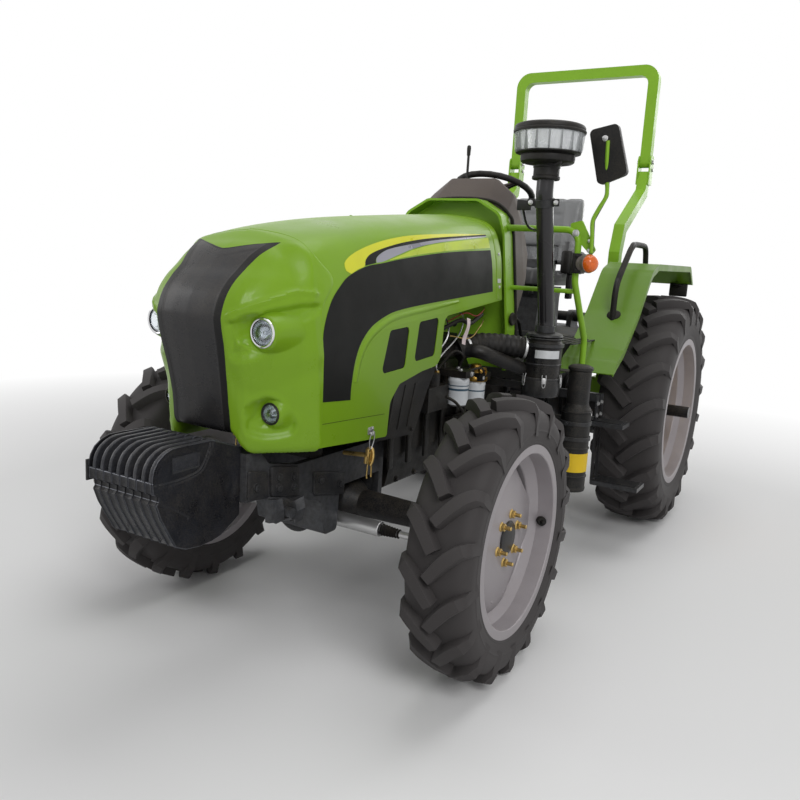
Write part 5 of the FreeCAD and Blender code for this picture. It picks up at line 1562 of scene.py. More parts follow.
        return sink * soft_step(.002, .020, np.abs(spots[:, 0]) - edge)

    def lamps(self) -> list[tuple[Vector, float]]:
        """Left headlamp and marker lamp, as middle of the rim and outer radius."""
        return [(Vector((.210, ahead(-.668), 1.168)), .045), (Vector((.201, ahead(-.614), .925)), .034)]

    def outer(self, spots: Array, normals: Array) -> Array:
        """The finished outer surface: the form with its relief and a seat round each lamp."""
        moved = spots - normals * self.relief(spots)[:, None]
        for middle, radius in self.lamps():
            away = np.hypot(np.abs(moved[:, 0]) - middle.x, moved[:, 2] - middle.z)
            hold = 1 - soft_step(radius + .002, radius + .017, away)
            dish = middle.y + .012 * soft_step(radius, radius + .016, away)
            moved[:, 1] = moved[:, 1] * (1 - hold) + dish * hold
        return moved

    def skin(self) -> None:
        """Builds the green moulding."""
        shape = Shape()
        around, out = 206, 112
        turns = []
        for k in range(around + 1):
            share = k / around
            turns.append(math.pi * (share + .035 * math.sin(math.tau * share)))
        for side in Side:
            grid = []
            for level in range(out + 1):
                lift = math.pi / 2 * level / out * .93
                ways = np.array([(math.sin(t) * math.cos(lift), -math.sin(lift),
                                  math.cos(t) * math.cos(lift)) for t in turns])
                starts = np.tile((0, self.seam, self.centre_height), (len(turns), 1))
                spots = self.cast(starts, ways)
                normals = self.normals(spots)
                grid.append(self.outer(spots, normals))
            rear = self.lap_rows(grid[0])
            rows = rear + grid
            flip = 1 if side is Side.LEFT else -1
            base = len(shape.points)
            width = len(turns)
            for row in rows:
                shape.points.extend(Vector((flip * p[0], p[1], p[2])) for p in row)
            flat = np.array([tuple(p) for p in shape.points[base:]])
            for i in range(len(rows) - 1):
                for k in range(width - 1):
                    corners = [i * width + k, i * width + k + 1, (i + 1) * width + k + 1,
                               (i + 1) * width + k]
                    middle = flat[corners].mean(0)
                    if self.open_at(middle):
                        continue
                    shape.face(*(base + c for c in corners))
        shape.thicken(self.wall)
        shape.make("nose_moulding", GREEN, "bonnet", "bonnet_paint", 40, ["bonnet_nose"])

    def lap_rows(self, edge: Array) -> list[Array]:
        """Rows of the rear lip, from its tucked edge to the seam.

        Args:
            edge: The form's points at the seam.

        Returns:
            Rows of points that follow the hood's own surface.
        """
        height = edge[:, 2]
        bow = .066 * np.exp(-((height - 1.318) / .052) ** 2)
        rows = []
        for share, lift in ((1.0, -.0012), (1.0, .0009), (.97, .0011), (.75, .0011), (.5, .0011),
                            (.25, .0009)):
            row = []
            for site, reach in zip(edge, bow):
                back = self.seam + .0016 + reach * share + .001
                centre_line = Vector((0, back, self.centre_height))
                way = (Vector((site[0], back, site[2])) - centre_line).normalized()
                found = self.hood.hit(centre_line + way, -way)
                if found is None or (found[0] - Vector((site[0], back, site[2]))).length > .03:
                    row.append((site[0], site[1] + .0005, site[2]))
                    continue
                place = found[0] + found[1] * lift
                row.append(tuple(place))
            rows.append(np.array(row))
        return rows

    def open_at(self, site: Array) -> bool:
        """Whether the moulding is open at a place: under the panel, in a lamp or below."""
        x, y, z = abs(site[0]), site[1], site[2]
        if x < self.half_widths(z) - .016 and z < 1.40 and y < self.panel_top(x) - .014:
            return True
        for middle, radius in self.lamps():
            if math.hypot(x - middle.x, z - middle.z) < radius - .004:
                return True
        floor = self.chin if x < .12 else self.bottom
        return z < floor + .0035 and y > self.front(np.array([z]))[0] + .055

    def panel_top(self, x: float) -> float:
        """Row-frame Y of the panel's upper edge, which sweeps back to a point on each side."""
        share = min(abs(x) / self.panel_half, 1.0)
        return ahead(self.panel_back + self.panel_sweep * share ** 1.5)

    def half_widths(self, heights: Array) -> Array:
        """Half width of the black panel at each height."""
        table = np.array(self.panel_edge)
        return np.interp(heights, table[:, 0], table[:, 1])

    def panel(self) -> None:
        """Builds the black centre panel with its darker border."""
        across, along = 56, 130
        origin = Vector((0, ahead(-.46), 1.10))
        share = np.linspace(-1, 1, across + 1)
        first = math.radians(-50)
        last = self.top_turns(share, origin)
        rows = []
        for i in range(along + 1):
            turns = first + (last - first) * i / along
            ways = np.stack([np.zeros(across + 1), -np.cos(turns), np.sin(turns)], 1)
            widths = np.full(across + 1, .125)
            for _ in range(3):
                starts = np.stack([share * widths, np.full(across + 1, origin.y),
                                   np.full(across + 1, origin.z)], 1)
                spots = self.cast(starts, ways)
                widths = self.half_widths(spots[:, 2])
            rows.append((spots, self.normals(spots)))
        self.finish_panel(rows, across, along)

    def top_turns(self, share: Array, origin: Vector) -> Array:
        """Angle at which each column of the panel meets its upper edge.

        Args:
            share: Place of each column across the panel, from -1 to 1.
            origin: Point in the middle plane that the angles turn about.

        Returns:
            Angles above level, in radians.
        """
        x = share * self.panel_half
        edge = np.array([self.panel_top(v) for v in x])
        low, high = np.full(len(x), math.radians(20)), np.full(len(x), math.radians(110))
        starts = np.stack([x, np.full(len(x), origin.y), np.full(len(x), origin.z)], 1)
        for _ in range(14):
            middle = (low + high) / 2
            ways = np.stack([np.zeros(len(x)), -np.cos(middle), np.sin(middle)], 1)
            short = self.cast(starts, ways)[:, 1] < edge
            low, high = np.where(short, middle, low), np.where(short, high, middle)
        return low

    def finish_panel(self, rows: list[tuple[Array, Array]], across: int, along: int) -> None:
        """Raises the panel off the moulding, with a bead round its edge.

        Args:
            rows: Points and normals of the form under the panel.
            across: Spans across the panel.
            along: Spans from its lower to its upper edge.
        """
        lifted = []
        for i, (spots, normals) in enumerate(rows):
            row = []
            for k, (site, normal) in enumerate(zip(spots, normals)):
                edge = min(k, across - k, i * .8, (along - i) * .8)
                lift = .0034 if edge >= 1 else -.001
                if edge >= 7:
                    lift = .0026
                row.append(Vector(site + normal * lift))
            lifted.append(row)
        shape = Shape()
        width = across + 1
        for row in lifted:
            shape.points.extend(row)
        for i in range(along):
            for k in range(across):
                edge = min(k, across - 1 - k, along - 1 - i + 3)
                shape.mark = 1 if edge < 6 else 0
                a = i * width + k
                shape.face(a, a + 1, a + width + 1, a + width)
        shape.mark = 0
        shape.thicken(.004)
        shape.make("nose_panel", [PANEL_BLACK, PANEL_EDGE], "bonnet", "black_panel", 40, ["nose_grille"])

    def build_lamps(self) -> None:
        """Builds both headlamps and marker lamps: rims, reflector bowls, bulb shields, lenses."""
        rims, dark, bowls, lenses = Shape(), Shape(), Shape(), Shape()
        for side in Side:
            for rim, (middle, radius) in zip((rims, dark), self.lamps()):
                place = facing((middle.x * side.value, middle.y, middle.z), (0, -1, 0))
                band = radius * .2
                rim.lathe(place, [(-.010, radius), (.004, radius), (.0065, radius - .0015),
                                  (.0075, radius - band * .5), (.006, radius - band * .85),
                                  (.001, radius - band), (-.010, radius - band)], 56, closed=True)
                inner = radius - band
                bowls.lathe(place, [(.0, inner), (-.006, inner * .97), (-.016, inner * .8),
                                    (-.024, inner * .5), (-.027, inner * .22), (-.029, inner * .21),
                                    (-.031, inner * .5), (-.021, inner * 1.0), (-.009, inner + .001),
                                    (.0, inner + .001)], 48, closed=True)
                bowls.lathe(place, [(-.028, inner * .2), (-.010, inner * .2), (-.006, inner * .16),
                                    (-.005, .0006)], 24)
                dome = [(.0016, inner)] + [
                    (.0016 + .006 * math.cos(math.pi / 2 * k / 6), inner * math.sin(math.pi / 2 * k / 6))
                    for k in range(6, -1, -1)][1:-1] + [(.0078, .0006)]
                lenses.lathe(place, dome + [(.0058, .0006), (.0002, inner * .9), (-.0004, inner)], 48,
                             caps=True)
        rims.make("headlamp_rims", CHROME, "bonnet", "lamp_plastic", 40, ["headlamps"])
        dark.make("marker_lamp_rims", MOULD_BLACK, "bonnet", "lamp_plastic", 40)
        bowls.make("headlamp_bowls", REFLECTOR, "bonnet", "lamp_plastic", 40)
        lenses.make("headlamp_lenses", LAMP_GLASS, "bonnet", None, 40)

    def build(self) -> None:
        """Builds the whole nose."""
        self.skin()
        self.panel()
        self.build_lamps()


# ---------------------------------------------------------------- bonnet

def resample(line: Sequence[Vector], count: int) -> list[Vector]:
    """Points evenly spaced along a line.

    Args:
        line: The line's points.
        count: Number of spans asked for.

    Returns:
        count + 1 points from end to end.
    """
    reach = [0.0]
    for a, b in zip(line, line[1:]):
        reach.append(reach[-1] + (b - a).length)
    points = []
    at = 0
    for k in range(count + 1):
        want = reach[-1] * k / count
        while at < len(line) - 2 and reach[at + 1] < want:
            at += 1
        share = (want - reach[at]) / max(reach[at + 1] - reach[at], 1e-9)
        points.append(line[at].lerp(line[at + 1], min(max(share, 0), 1)))
    return points


@dataclass(frozen=True)
class Band:
    """A stripe on the bonnet's side, between edges of (place back from the front axle, height).

    Attributes:
        upper: The upper or outer edge.
        lower: The lower or inner edge.
        lift: Height of the stripe over the paint.
        swell: Extra height of its middle.
    """

    upper: tuple[Pair, ...]
    lower: tuple[Pair, ...]
    lift: float = .0006
    swell: float = .0


@dataclass
class BonnetTrim:
    """Decals, seams, beads, strips and lock on both sides of the bonnet.

    Attributes:
        black: The broad black decal.
        yellow: The swoosh over it.
        dark: The dark stripe under the swoosh.
        silver: The silver stripe.
        lime: The lime wedge over the black decal.
        bead: The raised bead inside the black decal.
        seam: The joint of the lower side panel.
        lock: Place of the side lock.
    """

    black: Band = Band(
        ((-.494, .957), (-.4935, 1.05), (-.487, 1.162), (-.445, 1.253), (-.386, 1.307), (-.337, 1.336),
         (-.238, 1.366), (-.14, 1.379), (.025, 1.401), (.337, 1.432), (.715, 1.455)),
        ((-.341, .945), (-.338, .99), (-.322, 1.064), (-.289, 1.126), (-.231, 1.171), (-.149, 1.202),
         (-.052, 1.222), (.184, 1.243), (.724, 1.281)))
    yellow: Band = Band(
        ((-.350, 1.350), (-.353, 1.372), (-.318, 1.395), (-.254, 1.418), (-.16, 1.442), (-.04, 1.464),
         (.123, 1.484), (.43, 1.506), (.70, 1.519)),
        ((-.327, 1.341), (-.285, 1.356), (-.246, 1.367), (-.239, 1.384), (-.199, 1.407), (-.099, 1.432),
         (.051, 1.458), (.261, 1.482), (.70, 1.5182)))
    dark: Band = Band(
        ((-.243, 1.368), (-.238, 1.384), (-.198, 1.407), (-.099, 1.432), (.051, 1.458), (.261, 1.482),
         (.70, 1.518)),
        ((-.180, 1.378), (-.172, 1.395), (-.128, 1.415), (-.06, 1.431), (.103, 1.454), (.295, 1.477),
         (.70, 1.512)))
    silver: Band = Band(
        ((-.176, 1.379), (-.171, 1.395), (-.127, 1.415), (-.06, 1.431), (.103, 1.454), (.295, 1.477),
         (.70, 1.512)),
        ((-.140, 1.383), (-.106, 1.391), (-.027, 1.411), (.093, 1.438), (.288, 1.467), (.70, 1.509)))
    lime: Band = Band(
        ((-.096, 1.391), (.0, 1.413), (.093, 1.4345), (.288, 1.4635), (.715, 1.5055)),
        ((-.092, 1.3895), (.085, 1.4125), (.34, 1.4375), (.715, 1.464)))
    bead: Band = Band(
        ((-.332, 1.00), (-.317, 1.06), (-.284, 1.122), (-.226, 1.166), (-.147, 1.196), (-.05, 1.216),
         (.184, 1.237), (.40, 1.252)),
        ((-.296, 1.00), (-.284, 1.050), (-.256, 1.099), (-.207, 1.137), (-.137, 1.168), (-.045, 1.189),
         (.184, 1.212), (.40, 1.236)), -.0002, .0034)
    seam: Band = Band(((-.494, .8898), (-.130, .8708)), ((-.494, .8882), (-.130, .8692)), .0004)
    lock: tuple[float, float] = (-.216, .822)

    def __post_init__(self) -> None:
        """Takes the hood's surface."""
        self.hood = CadSkin("bonnet_hood")

    def on_side(self, side: Side, back: float, height: float, lift: float = 0.0) -> Vector:
        """A place on the hood's side, lifted off it."""
        found = self.hood.hit((side.value * .8, ahead(back), height), (-side.value, 0, 0))
        if found is None:
            return Vector((side.value * .29, ahead(back), height))
        return found[0] + found[1] * lift

    def lay(self, shape: Shape, band: Band, side: Side, along: int = 90, across: int = 12) -> None:
        """Adds one stripe on one side.

        Args:
            shape: The shape that grows.
            band: The stripe.
            side: Side of the bonnet.
            along: Spans along the stripe.
            across: Spans across it.
        """
        upper = resample(spline(band.upper, 10), along)
        lower = resample(spline(band.lower, 10), along)
        rows = []
        for a, b in zip(upper, lower):
            row = []
            for k in range(across + 1):
                flat = a.lerp(b, k / across)
                lift = band.lift + band.swell * math.sin(math.pi * k / across) ** 2
                row.append(self.on_side(side, flat.x, flat.y, lift))
            rows.append(row if side is Side.LEFT else list(reversed(row)))
        shape.grid(rows)

    def decals(self) -> None:
        """Builds the decals, the bead and the seams."""
        for name, band, finish, across in (
            ("side_decals_black", self.black, DECAL_BLACK, 22),
            ("side_swooshes_yellow", self.yellow, SWOOSH_YELLOW, 8),
            ("side_swooshes_dark", self.dark, DECAL_BLACK, 6),
            ("side_swooshes_silver", self.silver, SWOOSH_SILVER, 6),
            ("side_wedges_lime", self.lime, SWOOSH_LIME, 6),
            ("side_beads", self.bead, GREEN, 12),
            ("side_panel_seams", self.seam, SEAL_RUBBER, 1),
        ):
            shape = Shape()
            for side in Side:
                self.lay(shape, band, side, 90, across)
            shape.make(name, finish, "bonnet", None, 60)

    def section(self, back: float, lift: float, spans: int = 90) -> list[Vector]:
        """Points round the hood's section from one lower edge over the top to the other.

        Args:
            back: Place behind the front axle.
            lift: Height over the hood's surface.
            spans: Spans between the two ends.

        Returns:
            The points.
        """
        core = Vector((0, ahead(back), 1.25))
        row = []
        for k in range(spans + 1):
            turn = math.radians(-90 + 180 * k / spans)
            way = Vector((math.sin(turn), 0, math.cos(turn)))
            found = self.hood.hit(core + way, -way)
            if found:
                row.append(found[0] + way * lift)
        return row

    def rear_strip(self) -> None:
        """Builds the folded strip round the hood's rear edge, with its screws and blank label."""
        shape = Shape()
        rows = [self.section(back, lift) for back, lift in
                ((.7605, .0002), (.762, .0019), (.766, .0023), (.806, .0023), (.8135, .0018), (.8155, .0002))]
        shape.grid(rows)
        shape.make("hood_rear_strip", GREEN, "bonnet", None, 40)
        screws, label = Shape(), Shape()
        for side in Side:
            for height in (1.30, 1.44):
                site = self.on_side(side, .788, height, .002)
                screws.lathe(facing(site, (side.value, 0, 0)),
                             [(0, .007), (.002, .0068), (.0038, .0045), (.0042, .001)], 20)
            corners = [self.on_side(side, back, height, .0032) for back, height in
                       ((.768, 1.336), (.803, 1.336), (.803, 1.318), (.768, 1.318))]
            label.points.extend(corners)
            base = len(label.points) - 4
            label.face(base, base + 1, base + 2, base + 3)
        screws.make("hood_strip_screws", BRIGHT_STEEL, "bonnet")
        label.make("hood_blank_labels", LABEL_SILVER, "bonnet")

    def side_lock(self) -> None:
        """Builds the toggle latches: a hook plate and wire ring on the bonnet, a cast body on the frame."""
        back, height = self.lock
        for side in Side:
            out = side.value
            top = self.on_side(side, back, height, 0)
            hook, body = Shape(), Shape()
            plate = side_frame(out, *top)
            hook.prism(plate, rounded([(-.017, -.010), (.017, -.010), (.017, .016), (-.017, .016)], .006),
                       .003, .0008)
            for shift in (-.009, .009):
                hook.bolt(top + Vector((out * .003, shift, .008)), (out, 0, 0), .009, washer=False)
            hook.tube([top + Vector((out * x, 0, z)) for x, z in ((.002, -.006), (.011, -.010), (.015, -.004),
                                                                 (.014, .003))], .004, 8)
            loop = [top + Vector((out * (.008 + .004 * math.cos(t)), (.010 + .006 * math.cos(t / 2) ** 2)
                                  * math.sin(t), -.030 + .030 * math.cos(t)))
                    for t in (math.tau * k / 24 for k in range(25))]
            hook.tube(loop, .0017, 6, caps=False)
            hook.make(f"latch_hook_{side.word}", BRIGHT_STEEL, "bonnet")
            seat = top + Vector((-out * .012, .010, -.085))
            case = side_frame(out, *seat)
            body.prism(case,
                       rounded([(-.020, -.028), (.016, -.034), (.020, .018), (.004, .030), (-.016, .026)],
                                     .006), .015, .003)
            body.prism(case @ Matrix.Translation((-.024, -.012, .002)),
                       rounded([(-.004, -.012), (.010, -.016), (.012, .012), (-.002, .014)], .004), .011,
                       .002)
            body.tube(spline([case @ Vector(q) for q in ((.004, .030, .008), (.006, .012, .018),
                                                         (.002, -.014, .020),
                                                         (-.002, -.034, .014))], 6), .0052, 8)
            for shift in (-.014, .014):
                body.tube([case @ Vector((shift * .8, -.026, .009)), case @ Vector((shift, -.070, .008)),
                           case @ Vector((shift * .9, -.078, .009))], .0026, 8)
            for shift in ((-.008, .010), (.009, -.016), (-.006, -.020)):
                body.bolt(case @ Vector((*shift, .015)), (out, 0, 0), .009, washer=False)
            arm = [seat + Vector((-out * .10, .004, -.01)), seat + Vector((-out * .04, 0, -.004)), seat]
            body.tube(arm, .008, 10)
            body.make(f"latch_body_{side.word}", ZINC, "chassis")

    def build(self) -> None:
        """Builds the trim."""
        self.decals()
        self.rear_strip()
        self.side_lock()


# ---------------------------------------------------------------- front weights

@dataclass
class Weights:
    """Eight hung weights: a cast block each, with a thin fin that bows over its nose.

    Outlines are (place back from the front axle, height).

    Attributes:
        count: Number of weights.
        pitch: Distance from one to the next.
        thick: Thickness of a block.
        fin: Thickness of a fin.
        block: Side outline of a block.
        bow: Side outline of a fin.
        end_trim: How much thinner the two end blocks are cast, for their faces.
        edge_wear_and_highlights: Bright metal edges, rubbed bare and also carrying a painted highlight, as
            (place back from the front axle, height, radius).
    """

    count: int = 8
    pitch: float = .0325
    thick: float = .0298
    fin: float = .0125
    block: tuple[Pair, ...] = (
        (-.993, .779), (-.993, .752), (-.974, .742), (-.974, .726), (-.981, .716), (-.966, .676),
        (-.913, .582), (-.872, .564), (-.823, .558), (-.775, .560), (-.739, .567), (-.661, .611),
        (-.661, .822), (-.679, .826), (-.776, .8605), (-.790, .8605), (-.812, .800), (-.832, .777),
        (-.90, .772))
    bow: tuple[Pair, ...] = (
        (-.9925, .770), (-.9945, .790), (-.989, .815), (-.975, .837), (-.951, .854), (-.925, .8625),
        (-.880, .863), (-.770, .863), (-.762, .780), (-.80, .762), (-.90, .760))
    end_trim: float = .0055
    edge_wear_and_highlights: tuple[Point, ...] = ((-.9925, .7795, .0012), (-.9742, .7262, .0014))

    def flank(self, spots: Array) -> Array:
        """How far an end weight's outer face is pressed in at flat points."""
        groove = [(p.x, p.y) for p in spline(((-.776, .866), (-.797, .818), (-.822, .785), (-.86, .774),
                                              (-.93, .769), (-.999, .772)), 8)]
        reach, side = line_distance(spots, groove)
        press = .0022 * np.exp(-((reach - .0035) / .0022) ** 2)
        fin_side = side < 0
        press += np.where(fin_side, .003 * soft_step(.002, .006, reach), 0)
        pocket = np.maximum(np.abs(spots[:, 0] + .876) - .048, np.abs(spots[:, 1] - .816) - .021)
        press += .0042 * (1 - soft_step(-.004, .002, pocket))
        oval = np.hypot((spots[:, 0] + .705) / .036, (spots[:, 1] - .712) / .062)
        press += .0040 * (1 - soft_step(.35, 1.05, oval))
        lower = [(-.99, .722), (-.93, .694), (-.872, .655)]
        crease, _ = line_distance(spots, lower)
        press += .0024 * np.exp(-(crease / .0035) ** 2)
        rough = np.array([noise.noise(Vector((a * 26, b * 26, .4))) for a, b in spots])
        return press + .0007 * rough

    def end_face(self, shape: Shape, side: int) -> None:
        """Adds the cast outer face of an end weight.

        Args:
            shape: The shape that grows.
            side: 1 for the weight on +X, -1 for the other.
        """
        outline = ((-.9930, .779), (-.9945, .790), (-.989, .815), (-.975, .837), (-.951, .854),
                   (-.925, .8625), (-.880, .863), (-.776, .8605), (-.679, .826), (-.661, .822),
                   (-.661, .611), (-.739, .567), (-.775, .560), (-.823, .558), (-.872, .564), (-.913, .582),
                   (-.966, .676), (-.981, .716), (-.974, .726), (-.974, .742), (-.993, .752))
        edge = [Vector((a, b)) for a, b in outline]
        loop = resample(edge + edge[:1], 220)[:-1]
        heart = Vector((-.815, .715))
        face = (self.count - 1) / 2 * self.pitch + self.thick / 2
        shares = [1.0, 1.0, .9935, .985] + [.985 * (1 - k / 64) ** .9 for k in range(1, 64)] + [.004]
        rows = []
        for i, share in enumerate(shares):
            flat = np.array([heart.lerp(p, share) for p in loop])
            press = self.flank(flat) * min(1.0, max(0, i - 1) / 3)
            drop = .005 if i == 0 else .0014 if i == 1 else .0003 if i == 2 else 0
            rows.append([(side * (face - drop - depth), ahead(a), b) for (a, b), depth in zip(flat, press)])
        shape.grid(rows, round_row=True)

    def build(self) -> None:
        """Builds the weights, the bright metal strips on their ledge edges (rubbed metal and a painted
        highlight) and the bar at the far end.
        """
        cast, worn = Shape(), Shape()
        for i in range(self.count):
            middle = (i - (self.count - 1) / 2) * self.pitch
            low = middle - self.thick / 2
            trim = self.end_trim if i in (0, self.count - 1) else 0
            start = low + (trim if i == 0 else 0)
            place = side_frame(1, start, ahead(0))
            cast.prism(place, self.block[::-1], self.thick - trim, .0022)
            fin_start = low + self.thick - self.fin - (self.end_trim if i == self.count - 1 else .001)
            place = side_frame(1, fin_start, ahead(0))
            cast.prism(place, rounded(self.bow[::-1], .008, 3), self.fin, .0036)
            # Thin bright strips along each weight's ledge edges: rubbed metal and a painted highlight.
            for back, height, radius in self.edge_wear_and_highlights:
                worn.tube([(low + .001, ahead(back), height), (low + self.thick - .001, ahead(back), height)],
                          radius, 6)
        self.end_face(cast, 1)
        self.end_face(cast, -1)
        cast.make("front_weight_castings", WEIGHT_IRON, "chassis", "cast_black", 40, ["front_weights"])
        worn.make("front_weight_worn_edges", EDGE_WEAR_AND_HIGHLIGHT, "chassis")
        bar = Shape()
        bar.block((-.133, ahead(-1.0), .742), (-.1275, ahead(-.975), .802), .001)
        bar.make("weight_retaining_bar", STEEL_BLACK, "chassis")


# ---------------------------------------------------------------- placing by the front axle

def spot(x: float, y: float, z: float) -> Vector:
    """A point whose Y is measured back from the front axle."""
    return Vector((x, ahead(y), z))


def stand(x: float, y: float, z: float = 0.0) -> Matrix:
    """An upright frame at a place measured from the front axle."""
    return Matrix.Translation(spot(x, y, z))


def lengthwise(x: float, y: float, z: float) -> Matrix:
    """A frame at a place measured from the front axle, whose Z axis runs back."""
    return Matrix.Translation(spot(x, y, z)) @ Matrix.Rotation(-math.pi / 2, 4, "X")


def side_frame(out: int, x: float, y: float, z: float = 0.0) -> Matrix:
    """A frame on one side of the tractor: its X runs back, its Y up and its Z outward.

    Args:
        out: 1 for the side on +X, -1 for the other.
        x: Row-frame X of its origin.
        y: Row-frame Y of its origin.
        z: Height of its origin.

    Returns:
        The frame as a 4x4 matrix.
    """
    return Matrix(((0, 0, out, x), (1, 0, 0, y), (0, 1, 0, z), (0, 0, 0, 1)))


def oblong(half_x: float, half_y: float, radius: float) -> list[Vector]:
    """Outline of a rectangle round the origin, with rounded corners."""
    return rounded([(-half_x, -half_y), (half_x, -half_y), (half_x, half_y), (-half_x, half_y)], radius)


def ring(inner: float, outer: float, low: float, high: float, ease: float = .0015) -> list[Pair]:
    """Closed profile of a ring for Shape.lathe.

    Args:
        inner: Inner radius.
        outer: Outer radius.
        low: Lower height.
        high: Upper height.
        ease: Size of the eased outer edges.

    Returns:
        The profile's points.
    """
    return [(low, inner), (low, outer - ease), (low + ease, outer), (high - ease, outer),
            (high, outer - ease), (high, inner)]


def lead(name: str, points: Sequence[Point], radius: float, finish: Finish, body: str = "chassis") -> None:
    """Builds a free wire or hose that is held at both ends.

    Args:
        name: The piece's name.
        points: Places that it passes, measured from the front axle.
        radius: Its radius.
        finish: Its finish.
        body: Body that it rides.
    """
    path = spline([spot(*p) for p in points], 10)
    obj = Shape().tube(path, radius, 8).make(name, finish, body)


# ---------------------------------------------------------------- air intake

